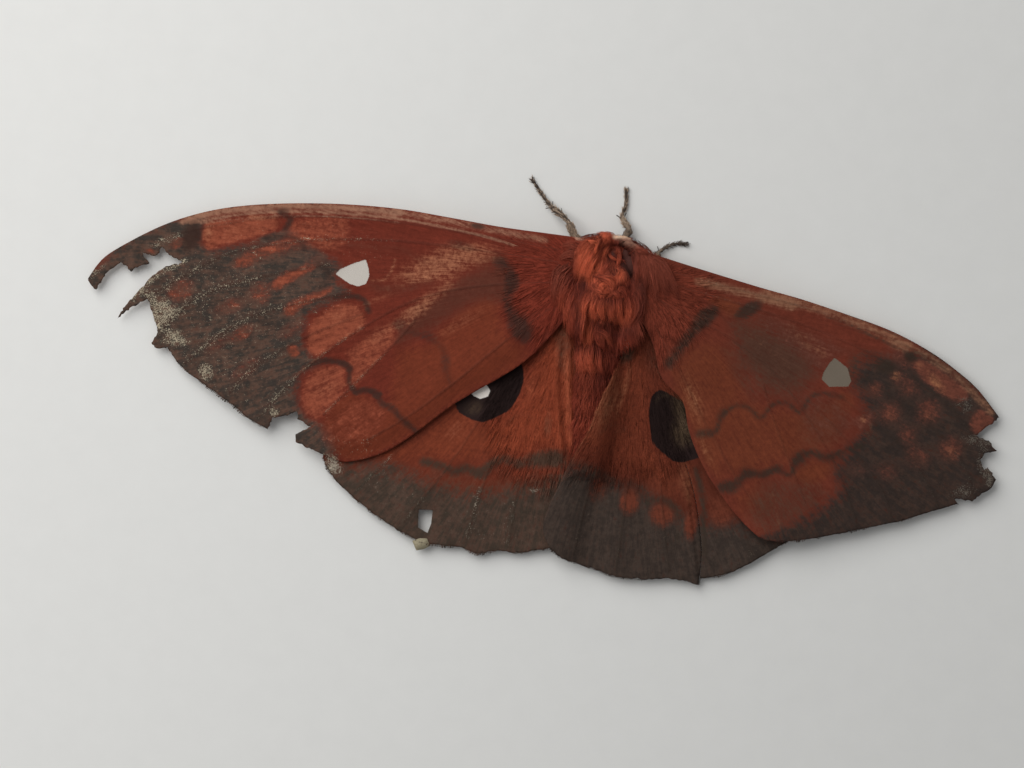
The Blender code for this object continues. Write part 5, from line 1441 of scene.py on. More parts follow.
@dataclass
class Body:
    """The one skin of head, thorax, abdomen and legs, under the coat."""

    thorax_inset: float = 0.2
    abdomen_inset: float = 0.42
    ring_depth: float = 0.22
    ring_count: int = 7
    voxel: float = 0.13
    legs: list[Leg] = field(default_factory=make_legs)
    places: np.ndarray | None = None
    triangles: np.ndarray | None = None
    region: np.ndarray | None = None

    def cage(self) -> bpy.types.Mesh:
        """The overlapping solids that the skin is shrunk over, in millimetres."""
        bm = bmesh.new()
        lumps = ((THORAX_CENTRE, THORAX_HALF - self.thorax_inset),
                 (HEAD_CENTRE - (0.0, 0.4, 0.0), HEAD_HALF - (0.12, 0.5, 0.12)),
                 *SHOULDER_HUMPS, *((centre, (*half, 1.3)) for centre, half in COLLAR_HUMPS),
                 (HEAD_CENTRE + (0.0, 0.3, -1.0), np.array((0.8, 0.7, 0.7))),
                 (HEAD_CENTRE + (-0.55, 0.45, -1.3), np.array((0.34, 0.7, 0.36))),
                 (HEAD_CENTRE + (0.55, 0.45, -1.3), np.array((0.34, 0.7, 0.36))))
        for centre, half in lumps:
            made = bmesh.ops.create_icosphere(bm, subdivisions=4, radius=1.0)["verts"]
            bmesh.ops.scale(bm, vec=Vector(half), verts=made)
            bmesh.ops.translate(bm, vec=Vector(centre), verts=made)
        neck = np.array(((-0.1, 3.0, 4.8), (-0.25, 4.4, 4.5), (-0.35, 5.6, 4.2)))
        ring_solid(bm, neck, np.array((1.7, 1.5, 1.3)))
        y = np.linspace(-4.0, ABDOMEN_AXIS[-1, 1] + 0.5, 90)
        centre, half_width, half_height = abdomen_slice(y)
        phase = (ABDOMEN_AXIS[0, 1] - y) / (ABDOMEN_AXIS[0, 1] - ABDOMEN_AXIS[-1, 1]) * self.ring_count
        notch = self.ring_depth * np.exp(-((phase - np.round(phase)) / 0.13) ** 2) * (phase > 0.5)
        radii = half_width - self.abdomen_inset - notch
        ring_solid(bm, np.column_stack((centre, y, half_height - 0.1)), radii, ABDOMEN_FLATTENING)
        for leg in self.legs:
            centres, leg_radii, _ = leg.line()
            ring_solid(bm, centres, leg_radii - 0.04)
        return mesh_of(bm, "body_skin_cage")

    def build(self, frame: MothFrame) -> bpy.types.Object:
        """Shrink one closed skin over the cage and dress it."""
        cage = link_new("body_skin_cage", self.cage())
        shrink = cage.modifiers.new("one skin", "REMESH")
        shrink.mode = "VOXEL"
        shrink.voxel_size = self.voxel
        relax = cage.modifiers.new("relax", "SMOOTH")
        relax.iterations = 2
        self.places, self.triangles = arrays_of(plain_mesh(cage))
        skin = mesh_from("body_skin", frame.to_row(self.places), self.triangles)
        self.region = self.leg_region(self.places)
        paint_coat(skin, self.places, self.region >= 0)
        store(skin, "along", np.full(len(self.places), 0.15))
        store(skin, "tint", 0.5 + 0.3 * value_noise(self.places, 1.2, SEED))
        store(skin, "leg", (self.region >= 0).astype(float))
        names = ["head", "thorax", "abdomen", *LEG_ROUTES]
        return add_piece(skin, SkinFinish().build(), "thorax_hair", *names)

    def leg_region(self, places: np.ndarray) -> np.ndarray:
        """Index of the leg that each place belongs to, or -1 on the body."""
        region = np.full(len(places), -1)
        body = (((places - THORAX_CENTRE) / (THORAX_HALF - 0.1)) ** 2).sum(axis=1) < 1.0
        body |= (((places - HEAD_CENTRE) / (HEAD_HALF + 0.1)) ** 2).sum(axis=1) < 1.0
        for k, leg in enumerate(self.legs):
            centres, radii, _ = leg.line()
            for centre, radius in zip(centres[::3], radii[::3]):
                near = ((places - centre) ** 2).sum(axis=1) < (radius + 0.25) ** 2
                region[near & ~body] = k
        return region

    def scatter(self, count: int, chosen: np.ndarray,
                rng: np.random.Generator) -> tuple[np.ndarray, np.ndarray]:
        """Random places on the chosen vertices' triangles, with the skin's normal at each."""
        corners = self.places[self.triangles[chosen[self.triangles].all(axis=1)]]
        cross = np.cross(corners[:, 1] - corners[:, 0], corners[:, 2] - corners[:, 0])
        area = np.linalg.norm(cross, axis=1)
        pick = rng.choice(len(corners), count, p=area / area.sum())
        a, b = rng.random(count), rng.random(count)
        flip = a + b > 1.0
        a, b = np.where(flip, 1.0 - a, a)[:, None], np.where(flip, 1.0 - b, b)[:, None]
        base = corners[pick]
        return base[:, 0] + a * (base[:, 1] - base[:, 0]) + b * (base[:, 2] - base[:, 0]), unit(cross[pick])


@dataclass(frozen=True)
class SkinFinish:
    """Skin between the hairs, in the coat's own colours."""

    name: str = "body_skin"

    def build(self) -> bpy.types.Material:
        """Make the material."""
        material, g = shader_graph(self.name)
        place = g.millimetres()
        fine = g.noise(g.stretched(place, (6.0, 2.0, 4.0)), 1.0, 4.0, 0.7)
        shade = g.mix(g.attribute(Layer.WARM.value) * 0.5, BODY_HAIR.root, BODY_HAIR.tip)
        shade = g.mix(g.attribute(Layer.DULL.value), shade, (78, 32, 26))
        # Painted shade in the valleys between the locks, on the skin under them.
        shade = g.mix(g.attribute(Layer.BLACK.value) * 0.7, shade, BODY_HAIR.valley_shade)
        shade = g.mix(g.attribute(Layer.MARK.value), shade, (76, 44, 38))
        shade = g.mix(g.attribute(Layer.RUBBED.value), shade, BODY_HAIR.pale)
        horn = g.mix(g.attribute("toe"), LEG_HAIR.tip, LEG_HAIR.dull)
        shade = g.mix(g.attribute("leg"), shade, horn)
        shade = g.scaled(shade, (fine - 0.5) * 0.8 + 0.9)
        close_surface(g, {"Base Color": shade, "Roughness": 0.8, "Specular IOR Level": 0.12,
                          "Normal": g.bump(fine, 0.6, 0.00008)})
        return material


FORELEG_SHADE = Spot(626, 234, 9, 7, 0, 0.9)


def paint_coat(mesh: bpy.types.Mesh, points: Points, leg: np.ndarray) -> None:
    """Store the body's pattern at the places of a mesh's vertices, with painted shade on the hair of the
    right-hand legs.
    """
    pixels, high = to_photo(points), ramp((points[:, 2] - 3.2) / 1.4)
    # Painted shade: legs right of X = 4 mm and the right foreleg's knee are darkened through the DULL layer.
    shaded = np.maximum(ramp((points[:, 0] - 4.0) / 2.0), FORELEG_SHADE.cover(pixels))
    for layer in COAT_PATTERN:
        leg_painted_shade = leg * shaded * (layer is Layer.DULL)
        cover = covered(COAT_PATTERN[layer], pixels) * (high if layer is Layer.RUBBED else 1.0)
        store(mesh, layer.value, cover * ~leg + leg_painted_shade)
    from_thorax = np.hypot(points[:, 0], points[:, 1] + 1.4)
    store(mesh, "toe", leg * ramp((from_thorax - 11.5) / 1.5))


BLADE_FLATNESS = 0.55
BLADE_ROLL = 0.45


@dataclass
class Strands:
    """Hair as many closed, tapered blades, all joined in one mesh.

    Each row of paths holds the centres of one blade's rings from root to tip.
    """

    paths: np.ndarray
    widths: np.ndarray
    tints: np.ndarray
    map_places: np.ndarray

    def chosen(self, which: np.ndarray) -> "Strands":
        """Only some of the strands."""
        return Strands(self.paths[which], self.widths[which], self.tints[which], self.map_places[which])

    def mesh(self, name: str, frame: MothFrame, rng: np.random.Generator) -> bpy.types.Mesh:
        """Build the blades, three-sided and flat, with their bake map and tints."""
        count, rings, _ = self.paths.shape
        along = unit(np.gradient(self.paths, axis=1))
        roll = unit(rng.normal(0.0, BLADE_ROLL, (count, 1, 3)) + (0.0, 0.0, 1.0))
        across = unit(np.cross(along, roll))
        up = np.cross(across, along)
        turns = np.array((0.5, 7.0 / 6.0, 11.0 / 6.0)) * math.pi
        ring = (np.cos(turns)[:, None] * across[:, :, None, :]
                + BLADE_FLATNESS * np.sin(turns)[:, None] * up[:, :, None, :])
        points = self.paths[:, :, None, :] + ring * self.widths[:, :, None, None] / 2.0
        blade = []
        for r in range(rings - 1):
            for k in range(3):
                a, b = 3 * r + k, 3 * r + (k + 1) % 3
                blade += [(a, a + 3, b), (b, a + 3, b + 3)]
        last = 3 * (rings - 1)
        blade += [(0, 1, 2), (last, last + 2, last + 1)]
        faces = (np.array(blade)[None] + (np.arange(count) * 3 * rings)[:, None, None]).reshape(-1, 3)
        points = points.reshape(-1, 3)
        volume = (points[faces[:, 0]] * np.cross(points[faces[:, 1]], points[faces[:, 2]])).sum()
        if volume < 0.0:
            faces = faces[:, ::-1]
        mesh = mesh_from(name, frame.to_row(points), faces)
        share = np.tile(np.repeat(np.linspace(0.0, 1.0, rings), 3), count)
        store(mesh, "along", share)
        store(mesh, "tint", np.repeat(self.tints, 3 * rings))
        hand = np.tile((0.0, 0.5, 1.0), count * rings)
        patch = np.column_stack((hand, share)) * TUFT_PATCH - TUFT_PATCH / 2.0
        store_bake_map(mesh, np.repeat(self.map_places, 3 * rings, axis=0) + patch, faces)
        return mesh


def joined(parts: Sequence[Strands]) -> Strands:
    """Several sets of strands as one."""
    return Strands(*(np.concatenate([getattr(part, kind) for part in parts])
                     for kind in ("paths", "widths", "tints", "map_places")))


@dataclass(frozen=True)
class Lie:
    """How one kind of hair grows: lengths and widths in millimetres, curl in radians."""

    length: float
    strand_width: float
    spread: float
    strands: int
    curl: float = 0.3
    wave: float = 0.1
    lift: float = 0.6
    depth: float = 0.5
    sink: float = 0.5
    rings: int = 6
    fall: float = 6.0
    tint: float = 0.5


def body_map(places: np.ndarray) -> np.ndarray:
    """Place in the bake map of a spot on the body, unrolled round its long axis."""
    turn = np.arctan2(places[:, 0], places[:, 2] - 3.0) / (2.0 * math.pi) + 0.5
    along = np.clip(0.03 + 0.94 * (places[:, 1] + 32.0) / 50.0, 0.02, 0.98)
    return np.column_stack((0.03 + 0.94 * turn, along))


def wing_map(places: np.ndarray) -> np.ndarray:
    """Place in the bake map of a spot on the upper sheet of the wings, laid flat."""
    across, along = (places[:, 0] + 80.0) / 150.0, (places[:, 1] + 46.0) / 56.0
    return np.column_stack((0.03 + 0.94 * across, 0.03 + 0.94 * along))


def grow_over(roots: Points, bearings: np.ndarray, lie: Lie, under: Height,
              unroll: Callable[[np.ndarray], np.ndarray], rng: np.random.Generator,
              scale: np.ndarray | float = 1.0) -> Strands:
    """Grow locks that rise from a surface, bend over and lie on whatever is below them.

    Args:
        roots: plan places of the locks.
        bearings: plan direction of each lock, in radians.
        lie: how the hair grows.
        under: height of what lies under the hair.
        unroll: carries a root to its place in the bake map.
        rng: source of the random draws.
        scale: length share of each lock.

    Returns:
        The strands of all the locks.
    """
    locks, each = len(roots), lie.strands
    count = locks * each
    share = np.linspace(0.0, 1.0, lie.rings)
    curl = np.repeat(rng.normal(0.0, lie.curl, locks), each) + rng.normal(0.0, 0.12, count)
    phase = np.repeat(rng.uniform(0.0, 2.0 * math.pi, locks), each)
    length = lie.length * np.repeat(rng.uniform(0.7, 1.2, locks) * scale, each)
    length = length * rng.uniform(0.75, 1.05, count)
    lift = lie.lift * np.repeat(rng.uniform(0.5, 1.3, locks), each)
    bearing = (np.repeat(bearings, each) + rng.normal(0.0, 0.07, count))[:, None] + curl[:, None] * share
    bearing = bearing + lie.wave * np.sin(2.0 * math.pi * share + phase[:, None])
    steps = np.stack((np.cos(bearing), np.sin(bearing)), axis=2) * (length[:, None, None] / (lie.rings - 1))
    aside, ahead, above = (rng.normal(0.0, 1.0, count) for _ in range(3))
    start = np.repeat(roots, each, axis=0) + lie.spread * 0.5 * np.column_stack(
        (ahead * np.cos(bearing[:, 0]), ahead * np.sin(bearing[:, 0])))
    middle = start[:, None, :] + np.cumsum(steps, axis=1) - steps
    narrow = np.interp(share, (0.0, 0.4, 1.0), (0.8, 1.0, 0.22))
    side = np.stack((-np.sin(bearing), np.cos(bearing)), axis=2)
    plan = middle + side * (aside[:, None] * lie.spread * narrow)[:, :, None]
    ground = under(plan.reshape(-1, 2)).reshape(count, lie.rings)
    arch = np.interp(share, (0.0, 0.25, 0.6, 1.0), (0.0, 1.0, 0.9, 0.35))
    bulk = np.clip(0.5 + 0.4 * above, 0.0, 1.3)[:, None] * lie.depth
    bulk = bulk * np.interp(share, (0.0, 0.5, 1.0), (0.4, 1.0, 0.5))
    height = ground + 0.05 + lift[:, None] * arch + bulk
    height[:, 0] = ground[:, 0] - lie.sink
    drop = lie.fall * length / (lie.rings - 1) / lie.length
    for k in range(2, lie.rings):
        height[:, k] = np.maximum(height[:, k], height[:, k - 1] - drop)
    taper = np.interp(share, (0.0, 0.35, 1.0), (0.8, 1.0, 0.18))
    widths = lie.strand_width * rng.uniform(0.7, 1.3, count)[:, None] * taper
    tints = np.repeat(rng.normal(lie.tint, 0.14, locks), each) + rng.normal(0.0, 0.1, count)
    paths = np.concatenate((plan, np.maximum(height, 0.12)[:, :, None]), axis=2)
    return Strands(paths, widths, np.clip(tints, 0.0, 1.0), unroll(paths[:, 0]))


def brush(roots: np.ndarray, normals: np.ndarray, flow: np.ndarray, lie: Lie,
          unroll: Callable[[np.ndarray], np.ndarray], rng: np.random.Generator) -> Strands:
    """Grow short hair that leaves a curved surface and leans over along the flow."""
    count = len(roots)
    share = np.linspace(0.0, 1.0, lie.rings)[None, :, None]
    tangent = flow - normals * (flow * normals).sum(axis=1, keepdims=True)
    tangent = unit(tangent + rng.normal(0.0, lie.curl * 0.5, (count, 3)))
    length = (lie.length * rng.uniform(0.6, 1.25, count))[:, None, None]
    rise = (lie.lift * rng.uniform(0.6, 1.3, count))[:, None, None]
    bend = rng.normal(0.0, lie.wave, (count, 1, 3))
    paths = roots[:, None, :] + length * (tangent[:, None, :] * share + bend * share * share)
    above = rise * (1.8 * share - 1.1 * share * share) - lie.sink * (1.0 - share)
    paths = paths + normals[:, None, :] * above
    paths[:, :, 2] = np.maximum(paths[:, :, 2], 0.06)
    taper = np.interp(share[0, :, 0], (0.0, 0.4, 1.0), (0.9, 1.0, 0.2))
    widths = lie.strand_width * rng.uniform(0.7, 1.3, count)[:, None] * taper
    patches = value_noise(roots[:, :2] + roots[:, 2:] * 0.7, 1.6, SEED + 3)
    tints = np.clip(lie.tint + 0.16 * patches + rng.normal(0.0, 0.1, count), 0.0, 1.0)
    return Strands(paths, widths, tints, unroll(roots))


LOCK_RINGS = 7
LOCK_DENSITY = 1.35
LOCK_HAIR_WIDTH = 0.082


@dataclass(frozen=True)
class Lock:
    """One combed lock of long hair: its route in photo pixels, half width and rise in millimetres."""

    route: tuple
    half: float = 0.42
    rise: float = 0.7
    tint: float = 0.5
    hairs: int = 80

    def grow(self, under: Height, rng: np.random.Generator) -> Strands:
        """Grow the hairs along the route, domed across it and drawn together towards the tip."""
        line = smooth_line(from_photo(self.route), 0.12)
        steps, way = np.linspace(0.0, 1.0, len(line)), unit(np.gradient(line, axis=0))
        count = round(LOCK_DENSITY * self.hairs)
        begin, end = rng.uniform(-0.1, 0.35, (count, 1)), rng.uniform(0.7, 1.15, (count, 1))
        at = begin + (end - begin) * np.linspace(0.0, 1.0, LOCK_RINGS)
        middle = np.stack([np.interp(at, steps, line[:, k]) for k in (0, 1)], axis=2)
        side = np.stack((-np.interp(at, steps, way[:, 1]), np.interp(at, steps, way[:, 0])), axis=2)
        middle += np.stack([np.interp(at, steps, way[:, k]) for k in (0, 1)], axis=2) * (
            np.clip(at, None, 0.0) + np.clip(at - 1.0, 0.0, None))[:, :, None] * len(line) * 0.12
        aside = np.clip(rng.normal(0.0, 0.75, (count, 1)), -1.8, 1.8)
        drift = rng.normal(0.0, 0.5, (count, 1)) * (at - begin)
        waver = 0.2 * np.sin(at * 7.0 + rng.uniform(0.0, 2.0 * math.pi, (count, 1)))
        wide = 1.2 * self.half * np.interp(at, (0.0, 0.35, 1.0), (0.8, 1.0, 0.42))
        plan = middle + side * ((aside + drift + waver) * wide)[:, :, None]
        ground = under(plan.reshape(-1, 2)).reshape(at.shape)
        arch = np.interp(at, (0.0, 0.2, 0.6, 1.0), (0.45, 1.0, 0.95, 0.3))
        crown = 0.4 + 0.6 * np.exp(-0.8 * aside ** 2)
        height = ground + 0.08 + 0.8 * self.rise * arch * crown + rng.normal(0.0, 0.11, aside.shape)
        height[:, 0] = ground[:, 0] - 0.3
        for _ in range(2):
            height[:, 1:-1] = (height[:, :-2] + 2.0 * height[:, 1:-1] + height[:, 2:]) / 4.0
        taper = np.interp(at, (0.0, 0.35, 1.0), (0.9, 1.0, 0.2))
        widths = LOCK_HAIR_WIDTH * rng.uniform(0.7, 1.3, aside.shape) * taper
        tints = np.clip(rng.normal(self.tint, 0.13, count), 0.0, 1.0)
        paths = np.concatenate((plan, height[:, :, None]), axis=2)
        return Strands(paths, widths, tints, body_map(paths[:, 0]))


COLLAR_LOCKS = (Lock(((607, 250), (606, 241), (603, 235.5), (598, 234)), 0.5, 0.8, 0.58),
    Lock(((611, 249), (611, 241), (609, 235.5), (604, 233.5)), 0.45, 0.8, 0.5),
    Lock(((603, 251), (600, 243), (596, 238), (591, 237)), 0.5, 0.8, 0.62),
    Lock(((614, 248), (615, 241), (614, 237)), 0.4, 0.6, 0.4),
    Lock(((600, 252), (594, 246), (588, 241.5), (583, 239)), 0.5, 0.6, 0.55),
    Lock(((596, 254), (588, 249), (581, 245), (577, 243)), 0.5, 0.6, 0.45),
    Lock(((598, 247), (591, 242), (585, 239.5)), 0.45, 0.5, 0.5),
    Lock(((587, 244), (581, 240), (574, 237.5)), 0.3, 0.5, 0.55, 50),
    Lock(((613, 240), (617, 238.5), (622, 239), (627, 237.5)), 0.2, 0.5, 0.6, 36),
    Lock(((620, 242), (624, 239.5), (628, 239.5), (632, 238)), 0.22, 0.5, 0.62, 36),
    Lock(((615, 241), (616.5, 238.5), (615.5, 236.8)), 0.16, 0.5, 0.6, 24),
    Lock(((619, 241), (620.5, 238.5), (622.5, 236.8)), 0.16, 0.5, 0.6, 24),
    Lock(((625, 242), (625, 239), (623.5, 236.5)), 0.16, 0.5, 0.6, 24),
    Lock(((628, 242), (630, 239), (632, 237.5)), 0.16, 0.5, 0.6, 24),
    Lock(((623, 249), (627, 245), (631, 242), (636, 243)), 0.4, 0.6, 0.55),
    Lock(((627, 251), (631, 247), (636, 247), (641, 251)), 0.45, 0.55, 0.45),
    Lock(((629, 257), (635, 252), (641, 253.5), (647, 257)), 0.45, 0.45, 0.42),
    Lock(((584, 252), (576, 249), (570, 246), (564, 246)), 0.45, 0.4, 0.42),
    Lock(((582, 259), (574, 256), (567, 256), (561, 259)), 0.5, 0.4, 0.4))
FRONT_LOCKS = (Lock(((607, 236), (602, 242), (598, 250), (592, 260)), 0.5, 1.1, 0.6, 100),
    Lock(((602, 239), (588, 242), (580, 250), (577, 260), (576, 269)), 0.6, 0.9, 0.55, 110),
    Lock(((604, 242), (592, 247), (583, 257), (578, 268), (576.5, 277)), 0.6, 1.1, 0.62, 110),
    Lock(((605, 244), (595, 252), (587, 262), (582, 273), (580, 282)), 0.6, 1.2, 0.66, 120),
    Lock(((606, 247), (598, 256), (591, 267), (587, 277), (588, 284)), 0.55, 1.1, 0.62, 110),
    Lock(((605, 250), (601, 260), (596, 270), (592, 279)), 0.45, 0.9, 0.52),
    Lock(((612, 245), (606, 250), (603, 257), (606, 263)), 0.36, 0.8, 0.5),
    Lock(((613, 247), (617.5, 252), (618.5, 259), (617, 265), (615, 268)), 0.22, 0.8, 0.55, 60),
    Lock(((612, 249), (609, 254), (611, 259), (615.5, 261)), 0.2, 0.7, 0.52, 46),
    Lock(((608, 258), (604, 266), (600, 273), (603, 280)), 0.36, 0.8, 0.56),
    Lock(((611, 260), (608, 265), (604, 270), (602, 276)), 0.22, 0.7, 0.5, 50),
    Lock(((604, 255), (600, 263), (598, 271), (594, 279)), 0.36, 0.8, 0.46),
    Lock(((617, 266), (618.5, 271), (615, 278), (607, 280)), 0.22, 0.7, 0.5, 46),
    Lock(((590, 279), (599, 279), (608, 283), (612, 289), (608, 296)), 0.42, 1, 0.56, 100),
    Lock(((590, 284), (595, 290), (603, 294), (611, 293)), 0.4, 1, 0.58, 90),
    Lock(((606, 297), (600, 293), (601, 287), (608, 286)), 0.34, 1.1, 0.62),
    Lock(((594, 276), (603, 278), (612, 281), (616, 286)), 0.36, 0.9, 0.48),
    Lock(((622, 289), (623, 281), (621, 275), (617, 270.5)), 0.4, 1, 0.66, 90),
    Lock(((617, 290), (617, 281), (616, 275)), 0.34, 0.9, 0.58, 70),
    Lock(((626, 292), (626, 285), (624, 278)), 0.34, 0.7, 0.42, 70),
    Lock(((633, 245), (635, 258), (636, 274), (634, 290)), 0.4, 0.6, 0.36, 90),
    Lock(((634, 244), (640, 257), (643, 273), (644, 291)), 0.55, 0.7, 0.5, 110),
    Lock(((637, 245), (646, 257), (651, 273), (655, 295)), 0.6, 0.7, 0.56, 110),
    Lock(((641, 251), (651, 262), (659, 275), (665, 295)), 0.6, 0.6, 0.5, 100),
    Lock(((645, 257), (657, 265), (667, 277), (675, 294)), 0.6, 0.45, 0.46, 90))
REAR_LOCKS = (Lock(((589, 288), (583, 297), (580, 306), (581, 315)), 0.55, 0.9, 0.54, 100),
    Lock(((593, 291), (587, 301), (584, 310), (585, 320)), 0.55, 1.1, 0.62, 110),
    Lock(((598, 294), (593, 303), (591, 312), (595, 321)), 0.5, 1.1, 0.6, 100),
    Lock(((603, 296), (599, 305), (600, 314), (603, 322)), 0.45, 1, 0.6, 90),
    Lock(((607, 297), (606, 305), (608, 313)), 0.4, 0.7, 0.44, 70),
    Lock(((611, 296), (611, 306), (611, 316), (616, 326)), 0.5, 1, 0.58, 100),
    Lock(((616, 295), (618, 307), (619, 317), (623, 328)), 0.55, 1.1, 0.62, 110),
    Lock(((622, 293), (627, 303), (629, 314), (626, 326)), 0.55, 1.1, 0.56, 110),
    Lock(((628, 290), (634, 300), (636, 311), (631, 322), (626, 328)), 0.5, 1.1, 0.58, 100),
    Lock(((632, 287), (638, 297), (640, 308)), 0.4, 0.7, 0.4),
    Lock(((614, 286), (622, 291), (626, 299), (622, 307)), 0.4, 0.9, 0.44),
    Lock(((608, 292), (615, 296), (618, 303)), 0.36, 0.8, 0.46),
    Lock(((594, 288), (590, 297), (594, 305)), 0.36, 0.8, 0.5),
    Lock(((589, 314), (585, 324), (584, 334), (585, 344)), 0.4, 0.9, 0.66, 90),
    Lock(((594, 316), (590, 326), (588, 336), (590, 347)), 0.4, 0.8, 0.5),
    Lock(((592, 330), (598, 332), (605, 336), (611, 346)), 0.3, 0.9, 0.62, 70),
    Lock(((598, 318), (598, 328), (599, 338), (602, 348)), 0.5, 0.6, 0.36),
    Lock(((606, 318), (608, 330), (610, 341), (614, 352)), 0.5, 0.6, 0.34),
    Lock(((615, 321), (618, 331), (620, 342)), 0.5, 0.5, 0.32),
    Lock(((624, 322), (627, 332), (628, 343)), 0.5, 0.4, 0.34),
    Lock(((583, 340), (580, 352), (580, 362), (583, 372)), 0.42, 0.7, 0.54),
    Lock(((590, 342), (588, 354), (588, 364), (592, 374)), 0.42, 0.7, 0.56),
    Lock(((597, 346), (599, 356), (599, 366), (603, 376)), 0.3, 0.6, 0.56, 60),
    Lock(((579, 318), (577, 330), (578, 342), (577, 352)), 0.4, 0.5, 0.46),
    Lock(((574, 276), (567, 286), (562, 297), (560, 309)), 0.6, 0.5, 0.52, 90),
    Lock(((577, 284), (571, 297), (567, 310), (565, 324)), 0.6, 0.5, 0.5, 90),
    Lock(((579, 296), (573, 309), (571, 322), (570, 336)), 0.55, 0.5, 0.5, 90),
    Lock(((571, 266), (561, 274), (556, 286), (553, 300)), 0.6, 0.4, 0.46, 90))


COAT_FLOW = (((592, 246), (-0.35, 1)), ((578, 262), (-0.35, 1)), ((604, 262), (0.15, 1)),
    ((618, 258), (0, 1)), ((600, 290), (0.5, 0.9)), ((620, 285), (-0.5, 0.9)), ((635, 262), (0.35, 1)),
    ((652, 280), (0.6, 1)), ((665, 310), (0.55, 1)), ((600, 315), (-0.12, 1)), ((622, 318), (0.15, 1)),
    ((566, 290), (-0.65, 1)), ((560, 325), (-0.6, 1)), ((645, 330), (0.4, 1)), ((585, 350), (-0.1, 1)),
    ((604, 238), (0.05, -1)), ((586, 239), (-0.5, -1)), ((624, 241), (0.35, -1)), ((570, 246), (-1, 0.1)),
    ((645, 252), (0.75, 0.9)))


def coat_bearing(points: Points) -> np.ndarray:
    """Plan direction in which the coat lies, blended from directions seen in the photo."""
    spots = from_photo([spot for spot, _ in COAT_FLOW])
    c, s = math.cos(PHOTO_TURN), math.sin(PHOTO_TURN)
    ways = np.array([(du * c + dv * s, du * s - dv * c) for _, (du, dv) in COAT_FLOW])
    away = ((points[:, None, :] - spots[None]) ** 2).sum(axis=2) + 0.15
    way = (unit(ways)[None] / away[:, :, None] ** 1.5).sum(axis=1)
    return np.arctan2(way[:, 1], way[:, 0])


